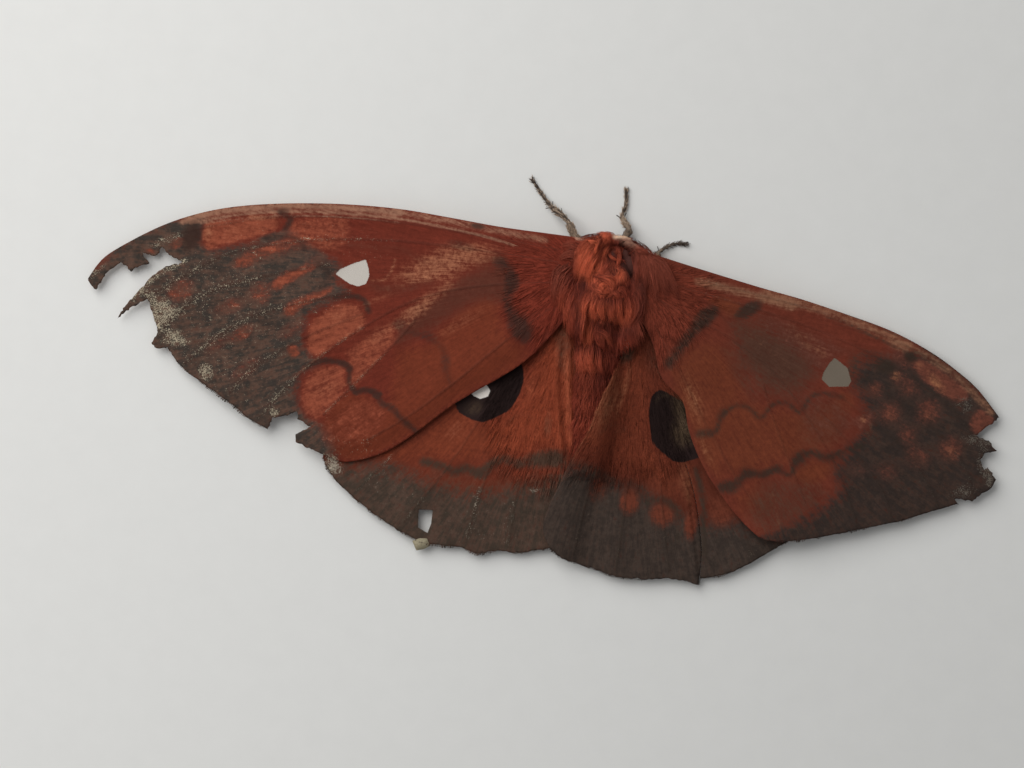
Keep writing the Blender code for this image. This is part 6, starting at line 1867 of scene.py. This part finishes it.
@dataclass
class Coat:
    """All the hair of the body: mantle, collar, shoulders, abdomen, head and legs."""

    body: Body
    mantle: Lie = Lie(2.0, 0.1, 0.22, 16, curl=0.45, wave=0.25, lift=0.3, depth=0.25, fall=2.4, tint=0.36)
    shoulder: Lie = Lie(4.2, 0.09, 0.26, 18, curl=0.2, wave=0.12, lift=0.25, depth=0.2, fall=2.4, tint=0.42)
    abdomen: Lie = Lie(2.6, 0.09, 0.2, 1, curl=0.2, wave=0.08, lift=0.2, sink=0.12, rings=4, tint=0.42)
    belly: Lie = Lie(1.3, 0.12, 0.2, 1, curl=0.35, wave=0.1, lift=0.3, sink=0.1, rings=4)
    face: Lie = Lie(0.55, 0.08, 0.2, 1, curl=0.4, wave=0.15, lift=0.15, sink=0.08, rings=4, tint=0.3)
    leg: Lie = Lie(0.62, 0.13, 0.2, 1, curl=0.35, wave=0.1, lift=0.12, sink=0.05, rings=4)
    shoulder_locks: int = 110
    abdomen_hairs: int = 9000
    belly_hairs: int = 5200
    face_hairs: int = 2600
    leg_hairs: int = 520
    feeler_reach: float = 7.0
    feeler_half_width: float = 0.55
    feeler_top: float = 5.75

    def under(self, points: Points) -> np.ndarray:
        """Height of whatever lies under the long hair."""
        centre, half_width, half_height = abdomen_slice(points[:, 1])
        x, y = points[:, 0], points[:, 1]
        on_abdomen = (y < -5.0) & (np.abs(x - centre) < half_width) & (y > ABDOMEN_AXIS[-1, 1])
        round_top = half_height * (1.0 + np.sqrt(np.maximum(1.0 - ((x - centre) / half_width) ** 2, 0.0)))
        heights = [dome(points, THORAX_CENTRE, THORAX_HALF - 0.2),
                   dome(points, HEAD_CENTRE, HEAD_HALF + 0.1),
                   dome(points, eye_centre(-1.0), np.full(3, 1.15)),
                   dome(points, eye_centre(1.0), np.full(3, 1.1)),
                   dome(points, np.array((-0.2, 4.6, 3.4)), np.array((4.4, 2.6, 1.7))),
                   np.where(on_abdomen, round_top, 0.3)]
        heights += [dome(points, np.array(centre), np.array((*half, 1.35))) for centre, half in COLLAR_HUMPS]
        heights += [dome(points, np.array(centre), np.array(half)) for centre, half in SHOULDER_HUMPS]
        for side in Side:
            feeler = Antenna(side).line()[::4]
            feeler = feeler[np.abs(feeler[:, 0]) < self.feeler_reach]
            on_feeler = distances(points, feeler[:, :2]) < self.feeler_half_width
            heights.append(np.where(on_feeler, self.feeler_top, 0.0))
        wing_zone = np.abs(x) > 2.9
        heights.append(np.where(wing_zone & (y > -9.0) & (y < 6.0), forewing_height(points) + 0.25, 0.0))
        heights.append(np.where((x > 2.6) & (y < -3.0), right_hindwing_height(points) + 0.2, 0.0))
        heights.append(np.where((x < -3.4) & (y < -4.0), hindwing_height(points) + 0.2, 0.0))
        return np.max(heights, axis=0)

    def bare(self, points: Points) -> np.ndarray:
        """Which roots fall on the rubbed patches, whose edges are uneven."""
        edge = 0.6 + 0.35 * value_noise(points, 0.35, SEED + 6)
        return covered(COAT_PATTERN[Layer.MARK], to_photo(points)) > edge

    def build(self, frame: MothFrame) -> list[bpy.types.Object]:
        """Grow and dress every part of the coat."""
        rng = np.random.default_rng(SEED)
        hair, leg_hair = BODY_HAIR.build(), LEG_HAIR.build()
        pieces = []
        for name, strands, material, slot in (
                ("coat_mantle_rear", self.grow_mantle(-7.2, -1.6, 80, REAR_LOCKS, rng), hair, "thorax_hair"),
                ("coat_mantle_front", self.grow_mantle(-1.6, 4.4, 90, FRONT_LOCKS, rng), hair,
                 "thorax_hair"),
                ("coat_shoulders", self.grow_shoulders(rng), hair, "thorax_hair"),
                ("coat_collar", self.combed(COLLAR_LOCKS, rng), hair, "thorax_hair"),
                ("coat_abdomen", self.grow_abdomen(rng), hair, "abdomen_hair"),
                ("coat_breast", self.grow_breast(rng), hair, "thorax_hair"),
                ("coat_head", self.grow_head(rng), hair, "head_hair"),
                ("coat_legs", self.grow_legs(rng), leg_hair, "leg_scales")):
            mesh = strands.mesh(name, frame, rng)
            places = np.repeat(strands.paths.reshape(-1, 3), 3, axis=0)
            paint_coat(mesh, places, np.full(len(places), name == "coat_legs"))
            pieces.append(add_piece(mesh, material, slot))
        return pieces

    def combed(self, locks: tuple, rng: np.random.Generator) -> Strands:
        """All the hairs of several combed locks."""
        return joined([lock.grow(self.under, rng) for lock in locks])

    def grow_mantle(self, rear: float, front: float, count: int, locks: tuple,
                    rng: np.random.Generator) -> Strands:
        """Combed locks over one stretch of the back, with short curls between them.

        Args:
            rear: Y of the stretch's rear end.
            front: Y of its front end.
            count: number of short curls.
            locks: the combed locks on it.
            rng: source of the random draws.

        Returns:
            The hair, none of it rooted in the rubbed patches.
        """
        spots = rng.uniform((-4.1, rear), (4.1, front), (count * 3, 2))
        reach = (((spots - THORAX_CENTRE[:2]) / (THORAX_HALF[:2] + (0.1, 0.4))) ** 2).sum(axis=1)
        roots = spots[(reach < 1.0) & ~self.bare(spots)][:count]
        bearing = coat_bearing(roots) + rng.normal(0.0, 0.25, len(roots))
        ahead = self.mantle.length * np.column_stack((np.cos(bearing), np.sin(bearing)))
        over_patch = np.any([self.bare(roots + share * ahead) for share in (0.35, 0.65, 1.0)], axis=0)
        roots, bearing = roots[~over_patch], bearing[~over_patch]
        short = grow_over(roots, bearing, self.mantle, self.under, body_map, rng)
        return joined([self.resampled(short), self.combed(locks, rng)])

    def resampled(self, strands: Strands) -> Strands:
        """The same hairs with as many rings as a combed lock has."""
        old, new = np.linspace(0.0, 1.0, strands.paths.shape[1]), np.linspace(0.0, 1.0, LOCK_RINGS)

        def spaced(values: np.ndarray) -> np.ndarray:
            """Values from the old rings at the new ones."""
            return np.interp(new, old, values)

        paths, widths = (np.apply_along_axis(spaced, 1, part) for part in (strands.paths, strands.widths))
        return Strands(paths, widths, strands.tints, strands.map_places)

    def grow_shoulders(self, rng: np.random.Generator) -> Strands:
        """Smooth long hair that drapes over the wing bases."""
        spots = []
        for side in (-1.0, 1.0):
            y = rng.uniform(-6.5, 4.2, self.shoulder_locks)
            beside = 1.0 - ((y - THORAX_CENTRE[1]) / THORAX_HALF[1]) ** 2
            edge = THORAX_HALF[0] * np.sqrt(np.maximum(beside, 0.05))
            inset = rng.uniform(-0.9, 0.4, self.shoulder_locks)
            spots.append(np.column_stack((side * (edge + inset), y)))
        roots = np.vstack(spots)
        roots = roots[~self.bare(roots)]
        bearing = coat_bearing(roots) + rng.normal(0.0, 0.12, len(roots))
        return grow_over(roots, bearing, self.shoulder, self.under, body_map, rng)

    def grow_abdomen(self, rng: np.random.Generator) -> Strands:
        """Short fur along the upper side and flanks of the abdomen."""
        body = self.body
        chosen = (body.region < 0) & (body.places[:, 1] < -5.5) & (body.places[:, 2] > 1.6)
        chosen &= body.places[:, 1] > -27.2
        roots, normals = body.scatter(self.abdomen_hairs, chosen, rng)
        return brush(roots, normals, np.array((0.0, -1.0, 0.0)), self.abdomen, body_map, rng)

    def grow_breast(self, rng: np.random.Generator) -> Strands:
        """Short fur on the flanks and underside of thorax and abdomen."""
        body = self.body
        y, z = body.places[:, 1], body.places[:, 2]
        low = (y >= -5.5) & (z < 6.4) & (y < 4.4)
        low |= (y < -5.5) & (z <= np.where(y < -27.0, 0.8, 1.6))
        low &= ~self.bare(body.places[:, :2]) | (z < 3.5)
        roots, normals = body.scatter(self.belly_hairs, (body.region < 0) & low, rng)
        return brush(roots, normals, np.array((0.0, -1.0, -0.3)), self.belly, body_map, rng)

    def grow_head(self, rng: np.random.Generator) -> Strands:
        """Short hair of the face."""
        body = self.body
        chosen = (body.region < 0) & (body.places[:, 1] > 4.3)
        for side in (-1.0, 1.0):
            chosen &= np.linalg.norm(body.places - eye_centre(side), axis=1) > EYE_RADIUS + 0.12
        chosen &= ~self.bare(body.places[:, :2]) | (body.places[:, 2] < 3.5)
        roots, normals = body.scatter(self.face_hairs, chosen, rng)
        return brush(roots, normals, np.array((0.0, 0.3, -0.8)), self.face, body_map, rng)

    def grow_legs(self, rng: np.random.Generator) -> Strands:
        """Flat scales and bristly hair along the legs, lying towards the toes."""
        body = self.body
        parts = []
        for k, leg in enumerate(body.legs):
            roots, normals = body.scatter(self.leg_hairs, body.region == k, rng)
            centres, _, _ = leg.line()
            nearest = np.argmin(((roots[:, None, :] - centres[None]) ** 2).sum(axis=2), axis=1)
            flow = unit(np.gradient(centres, axis=0))[nearest]
            unroll = self.leg_map(k, nearest / len(centres))
            parts.append(brush(roots, normals, flow, self.leg, unroll, rng))
        return joined(parts)

    def leg_map(self, index: int, share: np.ndarray) -> Callable[[np.ndarray], np.ndarray]:
        """Places in the bake map for one leg, each leg a strip of its own."""
        def unroll(places: np.ndarray) -> np.ndarray:
            """Strip by leg across, root to toe along."""
            turn = np.arctan2(places[:, 2] - 0.5, places[:, 0]) / (2.0 * math.pi) + 0.5
            return np.column_stack(((index + 0.1 + 0.8 * turn) / 6.0, 0.03 + 0.94 * share))
        return unroll


@dataclass
class WingDown:
    """Long silky hair that spreads from the wing bases over the membranes."""

    wing: Wing
    region: Area
    count: int
    lie: Lie
    bend: float = 0.0

    def build(self, frame: MothFrame) -> bpy.types.Object:
        """Grow the down and give it the wing's own pattern and finish."""
        rng = np.random.default_rng(SEED + len(self.wing.name) + self.count)
        outline = self.wing.outline()
        low, high = outline.min(axis=0), outline.max(axis=0)
        spots = rng.uniform(low, high, (self.count * 12, 2))
        chance = self.region.cover(to_photo(spots))
        spots = spots[inside(spots, outline) & (rng.random(len(spots)) < chance)][: self.count]
        away = spots - self.wing.root
        bearing = np.arctan2(away[:, 1], away[:, 0]) + self.bend * value_noise(spots, 6.0, SEED)
        strands = grow_over(spots, bearing, self.lie, self.wing.top, wing_map, rng)
        strands = strands.chosen(inside(strands.paths[:, -1, :2], outline))
        clear = strands.paths[:, :, :2].reshape(-1, 2)
        glass = [mark.depth(to_photo(clear)) > -1.0 for mark in self.wing.pattern[Layer.GLASS]]
        open_spot = ~np.any([g.reshape(len(strands.paths), -1).any(axis=1) for g in glass], axis=0)
        strands = strands.chosen(open_spot) if glass else strands
        mesh = strands.mesh(self.wing.name + "_down", frame, rng)
        plan = np.repeat(strands.paths[:, :, :2].reshape(-1, 2), 3, axis=0)
        return self.wing.dress(mesh, plan, 1.0)


@dataclass(frozen=True)
class BristleTree:
    """Geometry nodes that set a tapered, bowed bristle on every point of a guide.

    The guide's points carry the direction "out" and the length share "size".
    """

    name: str
    length: float
    width: float
    bow: float
    scatter: float
    seed: int = SEED

    def tree(self) -> bpy.types.NodeTree:
        """Build the node group with its named inputs."""
        g, given = new_tree(self.name, {
            "Guide": "Geometry", "Length": "Float", "Width": "Float", "Bow": "Float", "Scatter": "Float",
            "Seed": "Int", "Finish": "Material"}, "Bristles")
        tip = g.node("ShaderNodeCombineXYZ", {}, {"Z": given["Length"]})
        knee = g.node("ShaderNodeCombineXYZ", {}, {"X": given["Bow"], "Z": given["Length"] * 0.5})
        arc = g.node("GeometryNodeCurveQuadraticBezier", {}, {
            "Resolution": 3, "Start": (0.0, 0.0, 0.0), "Middle": knee, "End": tip})
        along = g.node("GeometryNodeSplineParameter", {}, {}, "Factor")
        tapered = g.node("GeometryNodeSetCurveRadius", {}, {"Curve": arc, "Radius": 1.0 - along * 0.82})
        ring = g.node("GeometryNodeCurvePrimitiveCircle", {}, {"Resolution": 3, "Radius": given["Width"]})
        blade = g.node("GeometryNodeCurveToMesh", {},
                       {"Curve": tapered, "Profile Curve": ring, "Fill Caps": True})
        out = g.node("GeometryNodeInputNamedAttribute", {"data_type": "FLOAT_VECTOR"}, {"Name": "out"})
        size = g.node("GeometryNodeInputNamedAttribute", {"data_type": "FLOAT"}, {"Name": "size"})
        swing = g.node("FunctionNodeRandomValue", {"data_type": "FLOAT_VECTOR"},
                       {0: (-1.0, -1.0, -1.0), 1: (1.0, 1.0, 1.0), "Seed": given["Seed"]})
        way = g.node("ShaderNodeVectorMath", {"operation": "ADD"},
                     {0: out, 1: g.scaled(swing, given["Scatter"])})
        turn = g.node("FunctionNodeAlignRotationToVector", {"axis": "Z"}, {"Vector": way})
        vary = g.node("FunctionNodeRandomValue", {"data_type": "FLOAT"},
                      {2: 0.7, 3: 1.2, "Seed": given["Seed"]}, 1)
        placed = g.node("GeometryNodeInstanceOnPoints", {},
                        {"Points": given["Guide"], "Instance": blade, "Rotation": turn,
                         "Scale": size * vary})
        return close_tree(g, placed, given["Finish"], "Bristles")

    def grow(self, name: str, points: np.ndarray, out: np.ndarray, size: np.ndarray, map_places: np.ndarray,
             material: bpy.types.Material, frame: MothFrame) -> bpy.types.Mesh:
        """Set bristles on guide points and turn the result into one plain mesh.

        Args:
            name: the new mesh's name.
            points: guide points in millimetres.
            out: direction of each bristle.
            size: length share of each bristle.
            map_places: place of each root in the bake map.
            material: finish of the bristles.
            frame: where the moth's frame lies.

        Returns:
            The mesh, in the row frame.
        """
        guide = mesh_from(name + "_guide", frame.to_row(points), np.zeros((0, 3), np.int32))
        store(guide, "out", unit(out))
        store(guide, "size", size)
        store(guide, "map", np.column_stack((map_places, np.zeros(len(points)))))
        made = grown_mesh(guide, self.tree(), {
            "Length": self.length * MM, "Width": self.width * MM / 2.0, "Bow": self.bow * MM,
            "Scatter": self.scatter, "Seed": self.seed, "Finish": material})
        places, triangles = arrays_of(made)
        roots = np.zeros(3 * len(places), np.float32)
        made.attributes["map"].data.foreach_get("vector", roots)
        mesh = mesh_from(name, places, triangles)
        spread = (np.arange(len(places)) % 9)[:, None] / 9.0 * TUFT_PATCH
        store_bake_map(mesh, roots.reshape(-1, 3)[:, :2] + spread - TUFT_PATCH / 2.0, triangles)
        return mesh


MARGIN_HAIR = BristleTree("margin_hair", 0.34, 0.09, 0.04, 0.35)
RAMUS = BristleTree("ramus", 1.9, 0.12, 0.3, 0.05)
LEG_SPINE = BristleTree("leg_spine", 0.6, 0.09, 0.05, 0.2)


@dataclass
class Margin:
    """The short hair scales that fringe a wing's outer margin."""

    wing: Wing
    stretches: tuple[int, ...]
    step: float = 0.11

    def build(self, frame: MothFrame) -> bpy.types.Object:
        """Set the fringe along the chosen runs of the outline."""
        lines, outs = [], []
        outline = self.wing.outline()
        for k in self.stretches:
            line = refined(self.wing.stretches[k].line, self.step)
            along = unit(np.gradient(line, axis=0))
            out = np.column_stack((along[:, 1], -along[:, 0]))
            hand = np.where(inside(line + out * 0.3, outline), -1.0, 1.0)[:, None]
            lines.append(line - out * hand * 0.12)
            outs.append(out * hand)
        points, out = np.vstack(lines), np.vstack(outs)
        whole = inside(points, outline) | (distances(points, closed(outline)) < 0.25)
        points, out = points[whole], out[whole]
        uneven = 0.6 * value_noise(points, 2.2, SEED + 9)
        size = np.clip(0.7 + uneven + 0.35 * value_noise(points, 0.6, SEED), 0.0, 1.5)
        solid = np.column_stack((points, self.wing.height(points) + self.wing.relief(points)))
        mesh = MARGIN_HAIR.grow(self.wing.name + "_fringe", solid,
                                np.column_stack((out, np.full(len(out), -0.05))),
                                size, wing_map(solid), self.wing.material, frame)
        places = arrays_of(mesh)[0] / MM - frame.origin
        return self.wing.dress(mesh, places[:, :2], 0.0)


@dataclass
class Antenna:
    """One plumed feeler, laid back under the front edge of the forewing."""

    side: Side
    root: tuple[float, float, float] = (1.5, 0.5, 0.9)
    route: tuple = ((2.9, -0.1, 1.1), (4.8, -0.9, 1.15), (7.4, -2.4, 1.0), (10.0, -4.4, 0.7),
                    (12.4, -6.8, 0.4))
    radii: tuple[float, float] = (0.3, 0.1)
    joints: int = 34
    ramus_lean: float = 62.0

    def line(self) -> np.ndarray:
        """Centre line of the shaft, from its socket on the head to its tip."""
        way = np.array(self.root) * (self.side.value, 1.0, 1.0)
        reach = 1.0 / np.linalg.norm(way / HEAD_HALF)
        start = HEAD_CENTRE + way * reach * 0.85
        rest = [HEAD_CENTRE + np.array((self.side.value * x, y, z)) for x, y, z in self.route]
        return smooth_line([start, *rest], 0.12)

    def build(self, frame: MothFrame) -> bpy.types.Object:
        """Build the jointed shaft with its rami as one piece."""
        line = self.line()
        share = np.linspace(0.0, 1.0, len(line))
        beads = 1.0 + 0.12 * np.cos(2 * math.pi * self.joints * share)
        radii = np.interp(share, (0.0, 1.0), self.radii) * beads
        bm = bmesh.new()
        ring_solid(bm, line, radii)
        places, triangles = arrays_of(mesh_of(bm, "shaft"))
        material = FEELER.build()
        spots = np.interp(np.linspace(0.1, 0.97, self.joints), share, np.arange(len(line))).astype(int)
        along = unit(np.gradient(line, axis=0))[spots]
        flat = unit(np.cross(along, (0.0, 0.0, 1.0)))
        c, s = math.cos(math.radians(self.ramus_lean)), math.sin(math.radians(self.ramus_lean))
        outs, roots, sizes, maps = [], [], [], []
        for hand in (-1.0, 1.0):
            for pair in (-0.06, 0.06):
                outs.append(along * c + flat * hand * s + (0.0, 0.0, pair * 2.0))
                roots.append(line[spots] + along * pair)
                sizes.append(0.1 + 0.9 * np.sin(math.pi * np.linspace(0.04, 0.93, self.joints)) ** 1.6)
                strip = np.full(len(spots), 0.5 + hand * 0.2)
                maps.append(np.column_stack((strip, np.linspace(0.1, 0.9, len(spots)))))
        name = self.side.name.lower()
        mesh = RAMUS.grow(name + "_feeler", np.vstack(roots), np.vstack(outs), np.hstack(sizes),
                          np.vstack(maps), material, frame)
        rami_places, rami_triangles = arrays_of(mesh)
        places = np.vstack((frame.to_row(places), rami_places))
        faces = np.vstack((triangles, rami_triangles + len(places) - len(rami_places)))
        whole = mesh_from(name + "_feeler_plume", places, faces)
        bpy.data.meshes.remove(mesh)
        return add_piece(whole, material, "antenna_scales", name + "_antenna")


@dataclass
class Eye:
    """One compound eye, a ball of domed facets made by geometry nodes."""

    side: Side
    facet_height: float = 0.012
    facet_share: float = 0.8

    def tree(self) -> bpy.types.NodeTree:
        """Facets: the dual of a fine ball, each face raised and drawn in."""
        g, given = new_tree("eye_facets", {
            "Ball": "Geometry", "Radius": "Float", "Rise": "Float", "Share": "Float", "Finish": "Material"},
            "Facets")
        ball = g.node("GeometryNodeMeshIcoSphere", {}, {"Radius": given["Radius"], "Subdivisions": 4})
        cells = g.node("GeometryNodeDualMesh", {}, {"Mesh": ball})
        raised = g.node("GeometryNodeExtrudeMesh", {"mode": "FACES"},
                        {"Mesh": cells, "Offset Scale": given["Rise"], "Individual": True})
        top = Socket(g, raised.link.node.outputs["Top"])
        domed = g.node("GeometryNodeScaleElements", {"domain": "FACE"},
                       {"Geometry": raised, "Selection": top, "Scale": given["Share"]})
        return close_tree(g, domed, given["Finish"], "Facets")

    def build(self, frame: MothFrame) -> bpy.types.Object:
        """Build the eye in its socket."""
        name, material = f"{self.side.name.lower()}_eye", EYE.build()
        places, triangles = arrays_of(grown_mesh(bpy.data.meshes.new(name + "_ball"), self.tree(), {
            "Radius": EYE_RADIUS - self.facet_height, "Rise": self.facet_height, "Share": self.facet_share,
            "Finish": material}))
        places = places + eye_centre(self.side.value)
        mesh = mesh_from(name + "_facets", frame.to_row(places), triangles)
        mesh.shade_flat()
        return add_piece(mesh, material, "eye_gloss", name)


@dataclass
class LegTrim:
    """Spines along the legs, a spur on each shin and a pair of claws on each foot."""

    body: Body
    claw_length: float = 0.62

    def build(self, frame: MothFrame) -> list[bpy.types.Object]:
        """Build the spines of all legs as one piece and the claws as another."""
        rng = np.random.default_rng(SEED + 2)
        roots, outs, sizes = [], [], []
        bm = bmesh.new()
        for leg in self.body.legs:
            centres, radii, share = leg.line()
            along = unit(np.gradient(centres, axis=0))
            across = unit(np.cross(along, (0.0, 0.0, 1.0)))
            for k in np.flatnonzero((share > 2.1) & (share < 4.95))[::3]:
                hand = rng.choice((-1.0, 1.0))
                roots.append(centres[k] + across[k] * hand * radii[k] * 0.6)
                outs.append(along[k] * 1.4 + across[k] * hand + (0.0, 0.0, rng.uniform(-0.05, 0.5)))
                sizes.append(rng.uniform(0.5, 1.0))
            spur = int(np.argmin(np.abs(share - 2.9)))
            for hand in (-1.0, 1.0):
                roots.append(centres[spur])
                outs.append(along[spur] + across[spur] * hand * 0.9 + (0.0, 0.0, 0.1))
                sizes.append(1.7)
                self.add_claw(bm, centres[-1], along[-1], across[-1] * hand)
        roots, outs = np.array(roots), np.array(outs)
        spines = LEG_SPINE.grow("leg_spines", roots, outs, np.array(sizes), body_map(roots), CLAW.build(),
                                frame)
        places, triangles = arrays_of(mesh_of(bm, "claws"))
        mesh = mesh_from("leg_claws", frame.to_row(places), triangles)
        return [add_piece(spines, CLAW.build(), "leg_scales"), add_piece(mesh, CLAW.build(), "leg_scales")]

    def add_claw(self, bm: bmesh.types.BMesh, toe: np.ndarray, along: np.ndarray,
                 across: np.ndarray) -> None:
        """Add one hooked claw, from the pad at the toe outwards and down."""
        share = np.linspace(0.0, 1.0, 7)[:, None]
        hook = along * share * 0.9 + across * np.sin(share * 2.2) * 0.42
        line = toe - along * 0.1 + self.claw_length * hook
        line[:, 2] = np.maximum(line[:, 2] + 0.1 * np.sin(share[:, 0] * 3.1) - 0.22 * share[:, 0] ** 2, 0.07)
        ring_solid(bm, line, np.interp(share[:, 0], (0.0, 1.0), (0.11, 0.02)))


@dataclass
class Flap:
    """The thin tan remnant that hangs from the tear in the left hindwing."""

    wing: Wing
    outline: tuple = ((412, 541), (420, 538.5), (427, 539), (430, 546), (424, 549.5), (416, 551))

    def build(self, frame: MothFrame) -> bpy.types.Object:
        """Build the remnant as a closed sliver with a ragged edge."""
        loop = refined(closed(from_photo(self.outline)), 0.2)[:-1]
        ragged = np.column_stack([value_noise(loop * 4.0, 1.0, seed) for seed in (3, 4)])
        loop = loop + 0.05 * ragged
        bm = bmesh.new()
        height = float(self.wing.top(loop).mean()) - 0.15
        face = bm.faces.new([bm.verts.new((x, y, height)) for x, y in loop])
        bmesh.ops.triangulate(bm, faces=[face])
        solid = bmesh.ops.extrude_face_region(bm, geom=bm.faces[:])
        for vert in solid["geom"]:
            if isinstance(vert, bmesh.types.BMVert):
                vert.co.z += 0.09
        places, triangles = arrays_of(mesh_of(bm, "flap"))
        flap = mesh_from("left_hindwing_flap", frame.to_row(places), triangles)
        return add_piece(flap, HornFinish("bare_membrane", (132, 122, 98), (160, 150, 124),
                                          0.55, 0.0).build(), "hindwing_scales")


@dataclass
class Studio:
    """Camera over the moth as in the photograph, soft light and a pale floor."""

    distance: float = 0.42
    sensor: float = 36.0
    wing_level: float = 0.0025
    floor_half: float = 0.9
    key: tuple = ((-0.36, 0.25, 0.44), 0.6, 3.9)
    fill: tuple = ((0.5, -0.2, 0.6), 0.6, 0.05)
    air: tuple = (0.95, 0.97, 1.0, 1.0)
    air_strength: float = 0.29

    def build(self, frame: MothFrame) -> None:
        """Set up camera, lights and floor."""
        centre = frame.to_row(np.append(from_photo([(PHOTO_SIZE[0] / 2.0, PHOTO_SIZE[1] / 2.0)])[0], 0.0))
        width = PHOTO_SIZE[0] * PHOTO_SCALE * MM
        lens = bpy.data.cameras.new("camera")
        lens.sensor_width = self.sensor
        lens.lens = self.sensor * (self.distance - self.wing_level) / width
        lens.clip_start, lens.clip_end = 0.01, 20.0
        camera = link_new("camera", lens)
        camera.location = (centre[0], centre[1], self.distance)
        camera.rotation_euler = (0.0, 0.0, PHOTO_TURN)
        bpy.context.scene.camera = camera
        bpy.context.scene.view_settings.view_transform = "Standard"
        self.light("key", *self.key, centre)
        self.light("fill", *self.fill, centre)
        world = bpy.data.worlds.new("studio_air")
        bpy.context.scene.world = world
        world.use_nodes = True
        sky = world.node_tree.nodes["Background"]
        sky.inputs["Color"].default_value = self.air
        sky.inputs["Strength"].default_value = self.air_strength
        self.floor()

    def light(self, name: str, place: tuple[float, float, float], size: float, power: float,
              target: np.ndarray) -> None:
        """Add one soft square light that faces the moth."""
        lamp = bpy.data.lights.new(name, "AREA")
        lamp.size = size
        lamp.energy = power
        holder = link_new(name, lamp)
        holder.location = place
        holder.rotation_euler = (Vector(target) - Vector(place)).to_track_quat("-Z", "Y").to_euler()

    def floor(self) -> None:
        """Add the pale floor."""
        bm = bmesh.new()
        bmesh.ops.create_grid(bm, x_segments=8, y_segments=8, size=self.floor_half)
        mesh = bpy.data.meshes.new("floor")
        bm.to_mesh(mesh)
        bm.free()
        mesh.materials.append(FloorFinish().build())
        floor = link_new("floor", mesh)


def main() -> None:
    """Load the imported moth, build every piece in order and note the sizes."""
    logging.basicConfig(level=logging.INFO, format="%(name)s %(message)s")
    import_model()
    frame = MothFrame.measured()
    Studio().build(frame)
    wings = make_wings()
    for wing in wings.values():
        wing.build(frame)
    Flap(wings["left_hindwing"]).build(frame)
    body = Body()
    body.build(frame)
    Coat(body).build(frame)
    silk = Lie(2.8, 0.085, 0.16, 3, curl=0.08, wave=0.05, lift=0.02, depth=0.02, sink=0.04, rings=4)
    fold_silk = Lie(3.6, 0.08, 0.2, 3, curl=0.1, wave=0.08, lift=0.05, depth=0.06, sink=0.04, rings=4)
    downs = (
        WingDown(wings["left_forewing"],
                 Area(((520, 250), (600, 240), (600, 330), (550, 335), (525, 310)), 12.0),
                 1500, silk, 0.2),
        WingDown(wings["right_forewing"],
                 Area(((620, 250), (690, 265), (695, 300), (665, 345), (640, 350)), 12.0),
                 1300, silk, 0.2),
        WingDown(wings["left_hindwing"],
                 Area(((500, 400), (540, 345), (575, 310), (578, 450), (520, 455)), 14.0),
                 2300, fold_silk, 0.15),
        WingDown(wings["right_hindwing"], Area(((600, 400), (620, 340), (660, 330), (665, 400), (660, 450),
                                                (580, 455)), 14.0), 2300, fold_silk, 0.15))
    for down in downs:
        down.build(frame)
    for name, runs in (("left_forewing", (2,)), ("right_forewing", (2,)), ("left_hindwing", (1,)),
                       ("right_hindwing", (1, 4))):
        Margin(wings[name], runs).build(frame)
    for side in Side:
        Antenna(side).build(frame)
        Eye(side).build(frame)
    LegTrim(body).build(frame)


if __name__ == "__main__":
    main()
